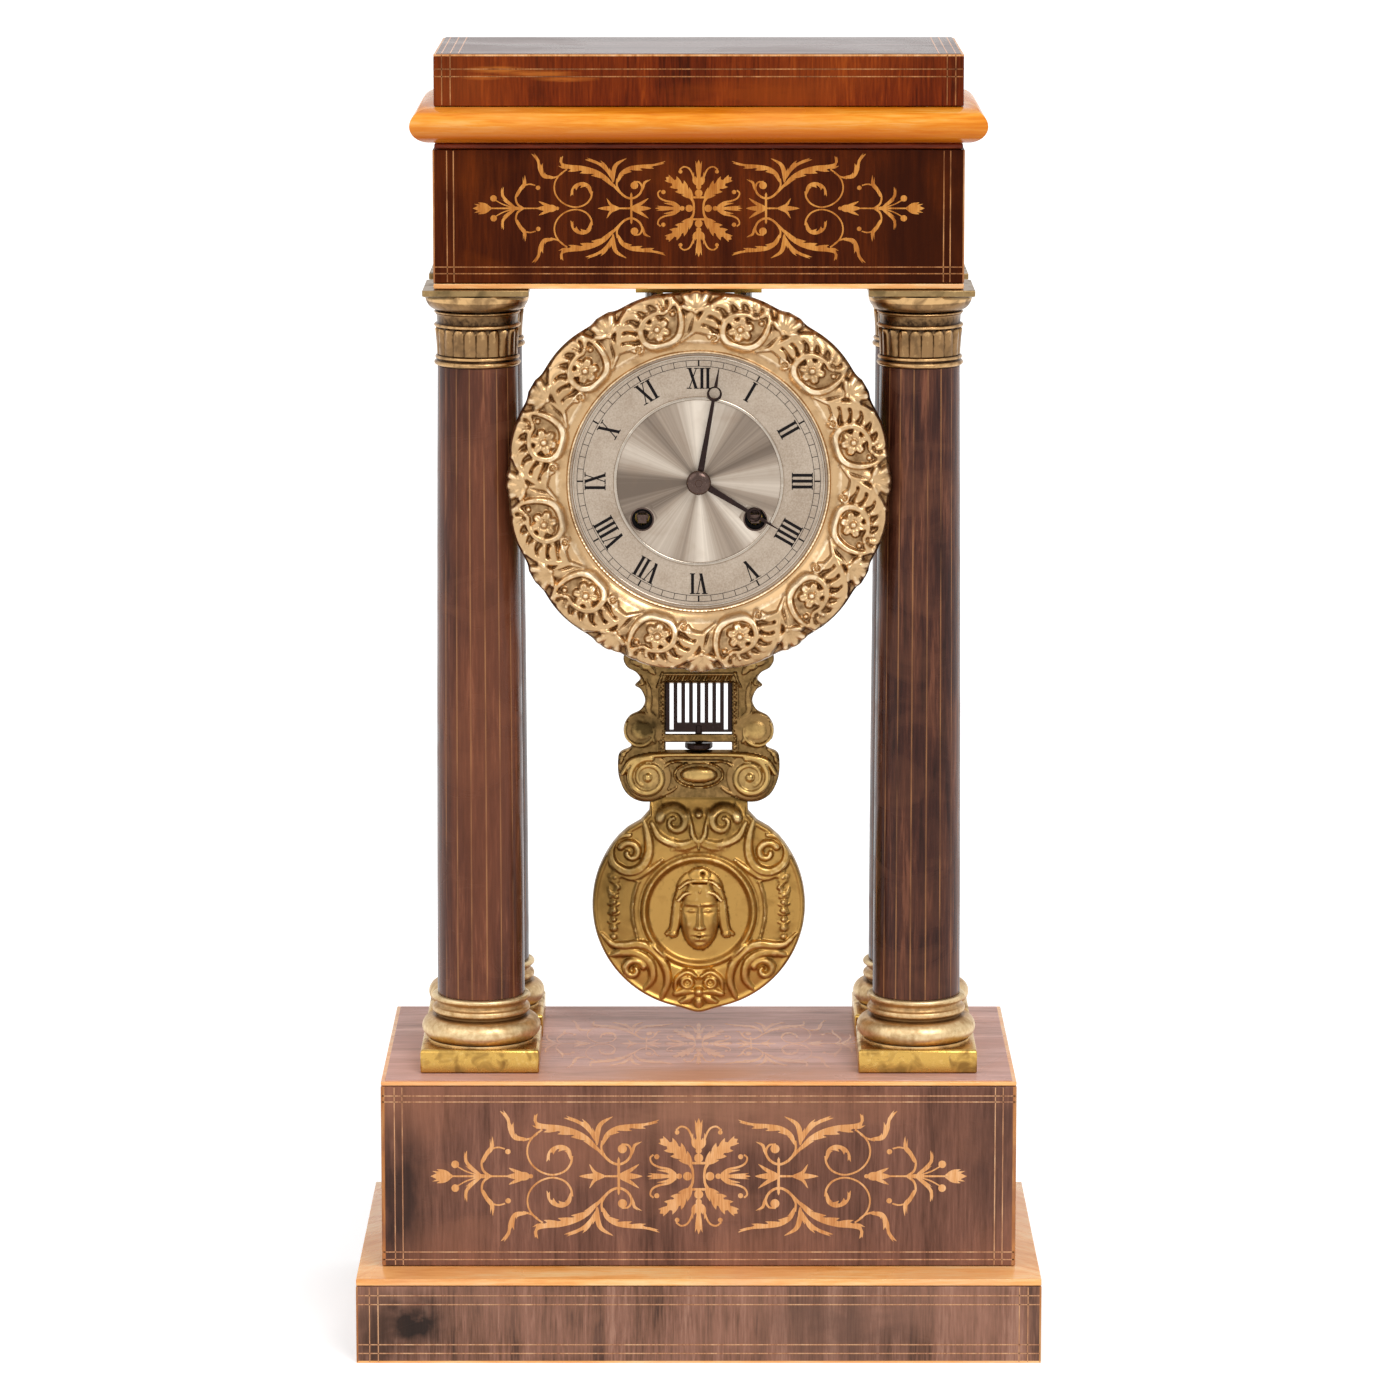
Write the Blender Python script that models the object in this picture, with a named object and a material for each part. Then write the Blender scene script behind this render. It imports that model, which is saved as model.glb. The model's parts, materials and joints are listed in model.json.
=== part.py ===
"""Portico mantel clock, modelled at its real size: four columns between a stepped base and an
entablature, a round striking movement hung under the frieze, and a regulated gilt pendulum.

Sizes are in millimetres and become metres when a mesh is made. +X is to the right as one faces
the dial, -Y is the front, +Z is up, and the origin is under the middle of the plinth.
"""

import math

import bmesh
import bpy
from mathutils import Vector

MM = 0.001

# Gap left between two pieces that touch
SEAT_GAP = 0.3
# Play between a pivot or arbor and the hole it turns in
PIVOT_PLAY = 0.2

# Plinth and the light wood ledge on it
PLINTH_WIDTH = 263.0
PLINTH_DEPTH = 152.4
PLINTH_HEIGHT = 30.3
PLINTH_WALL = 18.0
LEDGE_EDGE = 2.5
LEDGE_RISE = 2.55
LEDGE_SETBACK = 9.7
LEDGE_TONGUE = 8.0

# Base box that stands on the ledge
BOX_WALL = 12.0
BOX_WALL_HEIGHT = 70.75
BASE_BOARD_EDGE = 1.8
SOFFIT_BOARD_EDGE = 1.9
BOARD_TONGUE = 8.0

# Columns, from the floor of each up
COLUMN_X = 84.3
COLUMN_Y = 31.0
COLUMN_SEGMENTS = 20
FOOT_SIDE = 45.6
FOOT_HEIGHT = 9.0
TORUS_RADIUS = 22.95
TORUS_HEIGHT = 10.1
SCOTIA_RADIUS = 17.8
SCOTIA_HEIGHT = 3.2
RING_RADIUS = 18.8
RING_HEIGHT = 4.6
SHAFT_LENGTH = 244.2
SHAFT_BOTTOM_RADIUS = 16.85
SHAFT_TOP_RADIUS = 15.25
SHAFT_BORE_RADIUS = 4.0
NECK_RADIUS = 16.1
NECK_HEIGHT = 4.0
CAPITAL_RADIUS = 15.4
LEAF_HEIGHT = 10.4
BAND_HEIGHT = 4.9
ECHINUS_RADIUS = 19.7
ECHINUS_HEIGHT = 7.9
ABACUS_SIDE = 40.2
ABACUS_HEIGHT = 3.0

# Iron rods that pull the entablature down on the columns
ROD_RADIUS = 3.0
ROD_HEAD_RADIUS = 5.5
ROD_HEAD_HEIGHT = 4.5
ROD_END = 4.0

# Entablature
FRIEZE_WIDTH = 200.4
FRIEZE_DEPTH = 95.0
FRIEZE_WALL = 10.0
FRIEZE_WALL_HEIGHT = 50.4
BEAD_HEIGHT = 2.0
BEAD_SETBACK = 0.6
CORNICE_HEIGHT = 13.4
CORNICE_OVERHANG = 8.4
TOP_HEIGHT = 19.7
TOP_SETBACK = 0.5

# Bezel, drum and dial. Heights in the movement are counted from the middle of the dial.
BEZEL_RADIUS = 73.2
BEZEL_CLEARANCE = 0.5
BEZEL_LOBES = 12
BEZEL_LOBE_DEPTH = 2.7
BEZEL_OPENING = 49.0
BEZEL_BACK = -42.9
BEZEL_DEPTH = 11.0
ROSETTE_CIRCLE = 59.6
ROSETTE_RADIUS = 5.4
DRUM_RADIUS = 52.0
DRUM_WALL = 1.6
DRUM_BACK = -2.0
RING_OUTER = 53.5
RING_INNER = 47.5
RING_THICKNESS = 1.7
DIAL_RADIUS = 50.1
DIAL_FRONT = -44.6
DIAL_THICKNESS = 1.1
DIAL_FOOT_RADIUS = 1.3
WINDING_X = 21.5
WINDING_DROP = 14.6
WINDING_HOLE = 4.2

# Hanger between the frieze board and the drum
HANGER_WIDTH = 48.0
HANGER_FLANGE = 3.0
HANGER_WEB = 20.0
HANGER_FRONT = -30.0
HANGER_BACK = -12.0
HANGER_SCREW_X = 17.0
SCREW_RADIUS = 1.6
SCREW_HEAD_RADIUS = 3.4
SCREW_HEAD_HEIGHT = 2.4
SCREW_REACH = 8.0

# Movement plates
FRONT_PLATE_FRONT = -36.0
BACK_PLATE_BACK = -2.0
PLATE_THICKNESS = 2.0
FRONT_PLATE_RADIUS = 47.0
PILLAR_CIRCLE = 44.0
PILLAR_RADIUS = 2.4
PILLAR_ANGLES = (57.0, 120.0, 158.7, 270.0)
PIVOT_SHARE = 0.65
ARBOR_RADIUS = 1.15
THIRD_ARBOR_RADIUS = 0.8
ESCAPE_ARBOR_RADIUS = 0.55
PALLET_ARBOR_RADIUS = 0.75
WINDING_ARBOR_RADIUS = 2.3
WINDING_PIVOT_RADIUS = 1.25
WINDING_SQUARE = 3.2

# Going train: teeth of each wheel and leaves of each pinion
GREAT_WHEEL_TEETH = 48
SECOND_PINION_LEAVES = 8
SECOND_WHEEL_TEETH = 45
CENTRE_PINION_LEAVES = 10
CENTRE_WHEEL_TEETH = 72
THIRD_PINION_LEAVES = 6
THIRD_WHEEL_TEETH = 66
ESCAPE_PINION_LEAVES = 6
ESCAPE_WHEEL_TEETH = 30
GREAT_WHEEL_RADIUS = 20.0
BARREL_RADIUS = 18.5
SECOND_WHEEL_RADIUS = 20.7
CENTRE_WHEEL_RADIUS = 18.45
THIRD_WHEEL_RADIUS = 11.0
ESCAPE_WHEEL_RADIUS = 9.0
ESCAPE_RISE = 20.8
TOOTH_TIP = 0.7
TOOTH_ROOT = 1.3
PALLET_CLEARANCE = 1.2
PALLET_SPREAD = 54.0
CRUTCH_REACH = 27.0

# Motion work behind the dial, 12 turns of the minute hand to one of the hour hand
CANNON_LEAVES = 12
MINUTE_WHEEL_TEETH = 36
MINUTE_PINION_LEAVES = 10
HOUR_WHEEL_TEETH = 40
CANNON_PITCH_RADIUS = 3.0
MINUTE_ARBOR_ANGLE = 270.0
STUD_RADIUS = 1.0
HOUR_PIPE_RADIUS = 2.6
HOUR_PIPE_BORE = 1.95
CANNON_PIPE_RADIUS = 1.7
CANNON_PIPE_BORE = 0.95
CENTRE_ARBOR_FRONT_RADIUS = 0.8

# Hands, at rest at about two minutes past four
MINUTE_HAND_LENGTH = 44.2
MINUTE_HAND_RING = 34.2
HOUR_HAND_LENGTH = 35.6
HOUR_HAND_RING = 24.4
MINUTE_HAND_WIDTH = 2.4
HOUR_HAND_WIDTH = 2.6
MINUTE_ANGLE = 80.0
HOUR_ANGLE = -31.0
HAND_RING_RADIUS = 2.7
HAND_THICKNESS = 0.7
HAND_STAND_OFF = 1.4
COLLET_RADIUS = 4.8
COLLET_HEIGHT = 2.4

# Pendulum. Its pivot stands above the middle of the dial, the bob hangs clear of the base, and
# the pieces between are placed by their rise above the middle of the bob.
PIVOT_RISE = 34.4
PENDULUM_Y = 9.2
SUSPENSION_WIDTH = 4.6
PENDULUM_ROD_RADIUS = 1.3
GRID_TOP_RISE = 92.2
GRID_BOTTOM_RISE = 68.5
GRID_WIDTH = 28.4
GRID_THICKNESS = 1.6
GRID_BARS = 9
GRID_PITCH = 3.03
GRID_SLOT_WIDTH = 1.5
THREAD_END_RISE = 58.2
THREAD_RADIUS = 1.4
FRAME_FRONT = 6.3
FRAME_THICKNESS = 1.2
WINDOW_WIDTH = 25.8
WINDOW_TOP_RISE = 88.0
WINDOW_HEIGHT = 20.0
BAR_HEIGHT = 3.3
SLOT_HEIGHT = 3.0
VOLUTE_X = 20.0
VOLUTE_RISE = 50.9
VOLUTE_RADIUS = 9.4
CAP_HALF_WIDTH = 26.0
OVAL_BOSS = (8.6, 3.4)
NUT_RADIUS = 5.5
NUT_HEIGHT = 2.4
BOB_RADIUS = 41.8
BOB_FLOOR_GAP = 12.2
BOB_THICKNESS = 9.0
MEDALLION_RADIUS = 22.6
MASK = (8.2, 11.4)

# Strike side at the back
COUNT_WHEEL_RADIUS = 13.0
STRIKE_WHEEL_RADIUS = 12.0
BELL_X = -14.0
BELL_DROP = 16.0
BELL_RADIUS = 27.0
BELL_FRONT = 14.5
BELL_DEPTH = 17.0
BELL_WALL = 1.2
POST_RADIUS = 1.6
HAMMER_PIVOT = (25.0, -35.0)
HAMMER_HEAD_RADIUS = 3.6
HAMMER_LIFT_GAP = 1.9

FINISHES = {
    "rosewood": ("#4A2A1E", 0.35, 0.0),
    "cornice_wood": ("#B5652B", 0.35, 0.0),
    "gilt_brass": ("#B08A4A", 0.35, 1.0),
    "movement_brass": ("#B99A5B", 0.3, 1.0),
    "steel": ("#6E6E70", 0.3, 1.0),
    "dark_steel": ("#3A3331", 0.35, 1.0),
    "silvered": ("#B9B0A4", 0.4, 1.0),
    "bell_metal": ("#C0A878", 0.25, 1.0),
}

# Heights that follow from the sizes above, in the order in which the case is stacked
LEDGE_BOTTOM = PLINTH_HEIGHT + SEAT_GAP
LEDGE_TOP = LEDGE_BOTTOM + LEDGE_EDGE + LEDGE_RISE
BOX_BOTTOM = LEDGE_TOP + SEAT_GAP
BASE_BOARD_Z = BOX_BOTTOM + BOX_WALL_HEIGHT + SEAT_GAP
BASE_TOP = BASE_BOARD_Z + BASE_BOARD_EDGE
FOOT_BOTTOM = BASE_TOP + SEAT_GAP
FOOT_TOP = FOOT_BOTTOM + FOOT_HEIGHT + TORUS_HEIGHT + SCOTIA_HEIGHT + RING_HEIGHT
SHAFT_BOTTOM = FOOT_TOP + SEAT_GAP
CAPITAL_BOTTOM = SHAFT_BOTTOM + SHAFT_LENGTH + SEAT_GAP
CAPITAL_HEIGHT = NECK_HEIGHT + LEAF_HEIGHT + BAND_HEIGHT + ECHINUS_HEIGHT + ABACUS_HEIGHT
SOFFIT = CAPITAL_BOTTOM + CAPITAL_HEIGHT + SEAT_GAP
FRIEZE_BOTTOM = SOFFIT + SOFFIT_BOARD_EDGE + SEAT_GAP
BEAD_BOTTOM = FRIEZE_BOTTOM + FRIEZE_WALL_HEIGHT + SEAT_GAP
CORNICE_BOTTOM = BEAD_BOTTOM + BEAD_HEIGHT + SEAT_GAP
TOP_BOTTOM = CORNICE_BOTTOM + CORNICE_HEIGHT + SEAT_GAP
DIAL_Z = SOFFIT - BEZEL_CLEARANCE - BEZEL_RADIUS
PIVOT_Z = DIAL_Z + PIVOT_RISE
BOB_Z = BASE_TOP + BOB_FLOOR_GAP + BOB_RADIUS
DRUM_FRONT = BEZEL_BACK + SEAT_GAP
DIAL_BACK = DIAL_FRONT + DIAL_THICKNESS
HOUR_HAND_Y = DIAL_FRONT - HAND_STAND_OFF
MINUTE_HAND_Y = HOUR_HAND_Y - HAND_THICKNESS - 1.0

# Inner faces of the two movement plates
FRONT_INSIDE = FRONT_PLATE_FRONT + PLATE_THICKNESS
BACK_INSIDE = BACK_PLATE_BACK - PLATE_THICKNESS
BEHIND_BACK = BACK_PLATE_BACK + SEAT_GAP


def pitch_radius(partner_radius, partner_teeth, teeth):
    """Pitch radius of a wheel or pinion that meshes with one of a known radius and count."""
    return partner_radius * teeth / partner_teeth


def polar(centre, radius, degrees):
    """Point at a distance and an angle, counted from +X towards +Z, from a centre."""
    angle = math.radians(degrees)
    return (centre[0] + radius * math.cos(angle), centre[1] + radius * math.sin(angle))


def meeting_point(first, first_distance, second, second_distance):
    """Point at given distances from two centres, on the right of the way from first to second."""
    between = Vector(second) - Vector(first)
    span = between.length
    along = (first_distance**2 - second_distance**2 + span**2) / (2 * span)
    aside = math.sqrt(first_distance**2 - along**2)
    way = between.normalized()
    return tuple(Vector(first) + way * along + Vector((way.y, -way.x)) * aside)


SECOND_PINION_RADIUS = pitch_radius(GREAT_WHEEL_RADIUS, GREAT_WHEEL_TEETH, SECOND_PINION_LEAVES)
SECOND_DISTANCE = GREAT_WHEEL_RADIUS + SECOND_PINION_RADIUS
CENTRE_PINION_RADIUS = pitch_radius(SECOND_WHEEL_RADIUS, SECOND_WHEEL_TEETH, CENTRE_PINION_LEAVES)
CENTRE_DISTANCE = SECOND_WHEEL_RADIUS + CENTRE_PINION_RADIUS
THIRD_PINION_RADIUS = pitch_radius(CENTRE_WHEEL_RADIUS, CENTRE_WHEEL_TEETH, THIRD_PINION_LEAVES)
CENTRE = (0.0, DIAL_Z)
GOING_BARREL = (WINDING_X, DIAL_Z - WINDING_DROP)
STRIKE_BARREL = (-WINDING_X, DIAL_Z - WINDING_DROP)
SECOND = meeting_point(GOING_BARREL, SECOND_DISTANCE, CENTRE, CENTRE_DISTANCE)
STRIKE = (-SECOND[0], SECOND[1])
ESCAPE = (0.0, DIAL_Z + ESCAPE_RISE)
ESCAPE_PINION_RADIUS = pitch_radius(THIRD_WHEEL_RADIUS, THIRD_WHEEL_TEETH, ESCAPE_PINION_LEAVES)
THIRD_DISTANCE = THIRD_WHEEL_RADIUS + ESCAPE_PINION_RADIUS
THIRD = meeting_point(ESCAPE, THIRD_DISTANCE, CENTRE, CENTRE_WHEEL_RADIUS + THIRD_PINION_RADIUS)
PALLET = (0.0, PIVOT_Z)
MINUTE_WHEEL_RADIUS = pitch_radius(CANNON_PITCH_RADIUS, CANNON_LEAVES, MINUTE_WHEEL_TEETH)
MINUTE_DISTANCE = CANNON_PITCH_RADIUS + MINUTE_WHEEL_RADIUS
HOUR_WHEEL_RADIUS = MINUTE_DISTANCE * HOUR_WHEEL_TEETH / (HOUR_WHEEL_TEETH + MINUTE_PINION_LEAVES)
MINUTE_PINION_RADIUS = MINUTE_DISTANCE - HOUR_WHEEL_RADIUS
MINUTE_ARBOR = polar(CENTRE, MINUTE_DISTANCE, MINUTE_ARBOR_ANGLE)

# Layers along Y inside the movement, each from its front to its back
GREAT_LAYER = (BACK_INSIDE - 6.0, BACK_INSIDE - 4.0)
BARREL_FRONT = FRONT_INSIDE + 6.0
SECOND_LAYER = (BACK_INSIDE - 2.8, BACK_INSIDE - 1.8)
CENTRE_LAYER = (FRONT_INSIDE + 2.5, FRONT_INSIDE + 3.7)
THIRD_LAYER = (FRONT_INSIDE + 8.0, FRONT_INSIDE + 9.0)
ESCAPE_LAYER = (BACK_INSIDE - 8.0, BACK_INSIDE - 7.0)
CANNON_LAYER = (FRONT_PLATE_FRONT - 3.3, FRONT_PLATE_FRONT - 0.5)
MINUTE_LAYER = (FRONT_PLATE_FRONT - 2.2, FRONT_PLATE_FRONT - 1.2)
HOUR_LAYER = (FRONT_PLATE_FRONT - 4.8, FRONT_PLATE_FRONT - 3.8)
PINION_MARGIN = 0.6


# Shapes are pairs of a point list and a face list, in millimetres


def ring_faces(first, second):
    """Faces between two rings of point numbers; a ring of one number is a pole."""
    count = max(len(first), len(second))
    faces = []
    for i in range(count):
        j = (i + 1) % count
        corners = [first[i % len(first)], first[j % len(first)]]
        corners += [second[j % len(second)], second[i % len(second)]]
        kept = [c for k, c in enumerate(corners) if c != corners[k - 1]]
        if len(kept) > 2:
            faces.append(kept)
    return faces


def turned(profile, centre=(0.0, 0.0), axis="Z", segments=24, bored=False):
    """Body turned round an axis from (radius, height) points. A bored one closes its profile."""
    points = []
    rings = []
    for radius, height in profile:
        count = segments if radius > 0 else 1
        rings.append(list(range(len(points), len(points) + count)))
        for i in range(count):
            u, v = polar(centre, radius, 360 * i / segments)
            points.append((u, v, height) if axis == "Z" else (u, height, v))
    faces = []
    pairs = list(zip(rings, rings[1:]))
    if bored:
        pairs.append((rings[-1], rings[0]))
    for first, second in pairs:
        faces += ring_faces(first, second)
    if not bored:
        faces += [ring for ring in (rings[0], rings[-1]) if len(ring) > 1]
    return points, faces


def filled(loops):
    """Triangles, as point numbers, that fill an outline and leave its holes open."""
    sheet = bmesh.new()
    for loop in loops:
        corners = [sheet.verts.new((u, v, 0.0)) for u, v in loop]
        for first, second in zip(corners, corners[1:] + corners[:1]):
            sheet.edges.new((first, second))
    sheet.verts.index_update()
    bmesh.ops.triangle_fill(sheet, edges=sheet.edges[:], use_beauty=True)
    triangles = [[corner.index for corner in face.verts] for face in sheet.faces]
    sheet.free()
    return triangles


def plate(outline, holes, low, high, axis="Y"):
    """Flat plate with holes, from low to high along the axis."""
    loops = [outline, *holes]
    flat = [point for loop in loops for point in loop]
    count = len(flat)

    def placed(point, height):
        return (point[0], height, point[1]) if axis == "Y" else (point[0], point[1], height)

    points = [placed(p, low) for p in flat] + [placed(p, high) for p in flat]
    triangles = filled(loops)
    faces = triangles + [[t[2] + count, t[1] + count, t[0] + count] for t in triangles]
    start = 0
    for loop in loops:
        for i in range(len(loop)):
            a = start + i
            b = start + (i + 1) % len(loop)
            faces.append([a, b, b + count, a + count])
        start += len(loop)
    return points, faces


def board(sections):
    """Rectangular body from (half width, half depth, height) sections, bottom to top."""
    points = []
    rings = []
    for half_width, half_depth, height in sections:
        rings.append(list(range(len(points), len(points) + 4)))
        for sx, sy in ((-1, -1), (1, -1), (1, 1), (-1, 1)):
            points.append((sx * half_width, sy * half_depth, height))
    faces = [rings[0], rings[-1]]
    for first, second in zip(rings, rings[1:]):
        faces += ring_faces(first, second)
    return points, faces


def mitred_ring(profile, half_width, half_depth):
    """Rectangular frame with mitred corners from a closed profile of (offset, height) points."""
    points = []
    rings = []
    for offset, height in profile:
        rings.append(list(range(len(points), len(points) + 4)))
        for sx, sy in ((-1, -1), (1, -1), (1, 1), (-1, 1)):
            points.append((sx * (half_width + offset), sy * (half_depth + offset), height))
    faces = []
    for first, second in zip(rings, rings[1:] + rings[:1]):
        faces += ring_faces(first, second)
    return points, faces


def block(x_range, y_range, z_range):
    """Rectangular block between two coordinates on each axis."""
    left, right = x_range
    low, high = z_range
    corners = [(left, low), (right, low), (right, high), (left, high)]
    return plate(corners, [], *y_range)


def circle(centre, radius, count=12):
    return [polar(centre, radius, 360 * i / count) for i in range(count)]


def bar(start, end, start_width, end_width):
    """Outline of a straight tapering bar between two points."""
    way = (Vector(end) - Vector(start)).normalized()
    side = Vector((-way.y, way.x))
    corners = []
    for point, width in ((start, start_width), (end, end_width)):
        corners.append((Vector(point) - side * width / 2, Vector(point) + side * width / 2))
    return [tuple(corners[0][0]), tuple(corners[1][0]), tuple(corners[1][1]), tuple(corners[0][1])]


def gear(teeth, radius, centre, towards, meshes_as, layer):
    """Toothed disc with a tooth, or a gap for a driven one, on the line to its partner."""
    module = 2 * radius / teeth
    step = 360 / teeth
    facing = math.degrees(math.atan2(towards[1] - centre[1], towards[0] - centre[0]))
    first = facing if meshes_as == "tooth" else facing + step / 2
    outline = []
    for i in range(teeth):
        middle = first + i * step
        outline.append(polar(centre, radius - TOOTH_ROOT * module, middle - step / 2))
        outline.append(polar(centre, radius + TOOTH_TIP * module, middle))
    return plate(outline, [], *layer)


def widened(layer):
    """A layer made a little thicker both ways, for the leaves that a wheel runs in."""
    return (layer[0] - PINION_MARGIN, layer[1] + PINION_MARGIN)


def arbor(centre, body=ARBOR_RADIUS, back=BACK_PLATE_BACK):
    """Spindle between the plates with a thinner pivot at each end."""
    pivot = body * PIVOT_SHARE
    profile = [
        (0, FRONT_PLATE_FRONT),
        (pivot, FRONT_PLATE_FRONT),
        (pivot, FRONT_INSIDE + SEAT_GAP),
        (body, FRONT_INSIDE + SEAT_GAP),
        (body, BACK_INSIDE - SEAT_GAP),
        (pivot, BACK_INSIDE - SEAT_GAP),
        (pivot, back),
        (0, back),
    ]
    return turned(profile, centre, "Y", 8)


def make_material(name, colour, roughness, metallic):
    """Plain material with its colour given as an sRGB hex value."""
    material = bpy.data.materials.new(name)
    material.use_nodes = True
    shader = material.node_tree.nodes["Principled BSDF"]
    channels = [int(colour[i : i + 2], 16) / 255 for i in (1, 3, 5)]
    linear = [c / 12.92 if c <= 0.04045 else ((c + 0.055) / 1.055) ** 2.4 for c in channels]
    shader.inputs["Base Color"].default_value = (*linear, 1.0)
    shader.inputs["Roughness"].default_value = roughness
    shader.inputs["Metallic"].default_value = metallic
    return material


def make_object(name, shape, origin=(0.0, 0.0, 0.0)):
    """Object in metres whose origin is at the given place, with its faces turned outwards."""
    points, faces = shape
    mesh = bpy.data.meshes.new(name)
    mesh.from_pydata([tuple((Vector(p) - Vector(origin)) * MM) for p in points], [], faces)
    mesh.update()
    obj = bpy.data.objects.new(name, mesh)
    bpy.context.scene.collection.objects.link(obj)
    turn_outwards(mesh)
    return obj


def turn_outwards(mesh):
    """Makes every face of a closed mesh point away from its inside."""
    shape = bmesh.new()
    shape.from_mesh(mesh)
    bmesh.ops.recalc_face_normals(shape, faces=shape.faces)
    if shape.calc_volume(signed=True) < 0:
        bmesh.ops.reverse_faces(shape, faces=shape.faces)
    shape.to_mesh(mesh)
    shape.free()


def add_piece(name, finish, shape, joined=(), cut=(), group=None):
    """One sub-part: a shape, the shapes joined to it and the shapes cut from it."""
    origin = Vector(group.location) / MM if group else Vector((0.0, 0.0, 0.0))
    obj = make_object(name, shape, origin)
    obj.parent = group
    for operation, shapes in (("UNION", joined), ("DIFFERENCE", cut)):
        for number, other in enumerate(shapes):
            helper = make_object(f"{name}_{operation.lower()}_{number}", other, origin)
            helper.parent = group
            helper.hide_render = True
            helper.display_type = "WIRE"
            modifier = obj.modifiers.new(operation.title(), "BOOLEAN")
            modifier.operation = operation
            modifier.object = helper
    obj.data.materials.append(MATERIALS[finish])
    obj.data.shade_smooth()
    obj.data.set_sharp_from_angle(angle=math.radians(35))
    return obj


def add_copies(name, finish, shape, joined, cut, places):
    """The same sub-part at several places, all sharing one finished mesh."""
    pattern = add_piece(f"{name}_pattern", finish, shape, joined, cut)
    view = bpy.context.evaluated_depsgraph_get()
    mesh = bpy.data.meshes.new_from_object(pattern.evaluated_get(view))
    pattern.hide_render = True
    pattern.display_type = "WIRE"
    for place_name, (x, y) in places.items():
        copy = bpy.data.objects.new(f"{name}_{place_name}", mesh)
        copy.location = (x * MM, y * MM, 0.0)
        bpy.context.scene.collection.objects.link(copy)


def make_group(name, x, y, z):
    """Empty on a joint axis that carries the pieces which turn or slide there."""
    empty = bpy.data.objects.new(name, None)
    empty.location = (x * MM, y * MM, z * MM)
    empty.empty_display_size = 0.02
    bpy.context.scene.collection.objects.link(empty)
    return empty


def clear_scene():
    for obj in list(bpy.data.objects):
        bpy.data.objects.remove(obj, do_unlink=True)


COLUMN_PLACES = {
    "front_left": (-COLUMN_X, -COLUMN_Y),
    "front_right": (COLUMN_X, -COLUMN_Y),
    "back_left": (-COLUMN_X, COLUMN_Y),
    "back_right": (COLUMN_X, COLUMN_Y),
}


def rod_holes(low, high):
    """Clearance holes for the four tie rods through a board."""
    radius = ROD_RADIUS + SEAT_GAP
    return [pin(radius, low, high, place, "Z", 10) for place in COLUMN_PLACES.values()]


def add_base():
    """Plinth, ledge and base box."""
    half_width = PLINTH_WIDTH / 2
    half_depth = PLINTH_DEPTH / 2
    frame = [(0, 0), (0, PLINTH_HEIGHT), (-PLINTH_WALL, PLINTH_HEIGHT), (-PLINTH_WALL, 0)]
    add_piece("plinth_frame", "rosewood", mitred_ring(frame, half_width, half_depth))
    tongue = PLINTH_WALL + SEAT_GAP
    sections = [
        (half_width - tongue, half_depth - tongue, LEDGE_BOTTOM - LEDGE_TONGUE),
        (half_width - tongue, half_depth - tongue, LEDGE_BOTTOM),
        (half_width, half_depth, LEDGE_BOTTOM),
        (half_width, half_depth, LEDGE_BOTTOM + LEDGE_EDGE),
        (half_width - LEDGE_SETBACK, half_depth - LEDGE_SETBACK, LEDGE_TOP),
    ]
    add_piece("plinth_ledge", "cornice_wood", board(sections))
    box_width = half_width - LEDGE_SETBACK
    box_depth = half_depth - LEDGE_SETBACK
    top = BOX_BOTTOM + BOX_WALL_HEIGHT
    walls = [(0, BOX_BOTTOM), (0, top), (-BOX_WALL, top), (-BOX_WALL, BOX_BOTTOM)]
    add_piece("base_walls", "rosewood", mitred_ring(walls, box_width, box_depth))
    tongue = BOX_WALL + SEAT_GAP
    sections = [
        (box_width - tongue, box_depth - tongue, BASE_BOARD_Z - BOARD_TONGUE),
        (box_width - tongue, box_depth - tongue, BASE_BOARD_Z),
        (box_width, box_depth, BASE_BOARD_Z),
        (box_width, box_depth, BASE_TOP),
    ]
    holes = rod_holes(BASE_BOARD_Z - BOARD_TONGUE - 1, BASE_TOP + 1)
    add_piece("base_top_board", "rosewood", board(sections), cut=holes)


def square_block(side, low, high):
    """Square block centred on the axis."""
    return block((-side / 2, side / 2), (-side / 2, side / 2), (low, high))


def pin(radius, start, end, centre=(0.0, 0.0), axis="Y", segments=12):
    """Plain round pin between two heights, also the shape of a hole."""
    return turned([(0, start), (radius, start), (radius, end), (0, end)], centre, axis, segments)


def bulge(radius, depth, low, high, steps):
    """Half-round moulding as (radius, height) points, swelling by depth to the full radius."""
    middle = (low + high) / 2
    half = (high - low) / 2
    points = []
    for i in range(steps + 1):
        angle = math.pi * i / steps - math.pi / 2
        points.append((radius - depth + depth * math.cos(angle), middle + half * math.sin(angle)))
    return points


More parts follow.
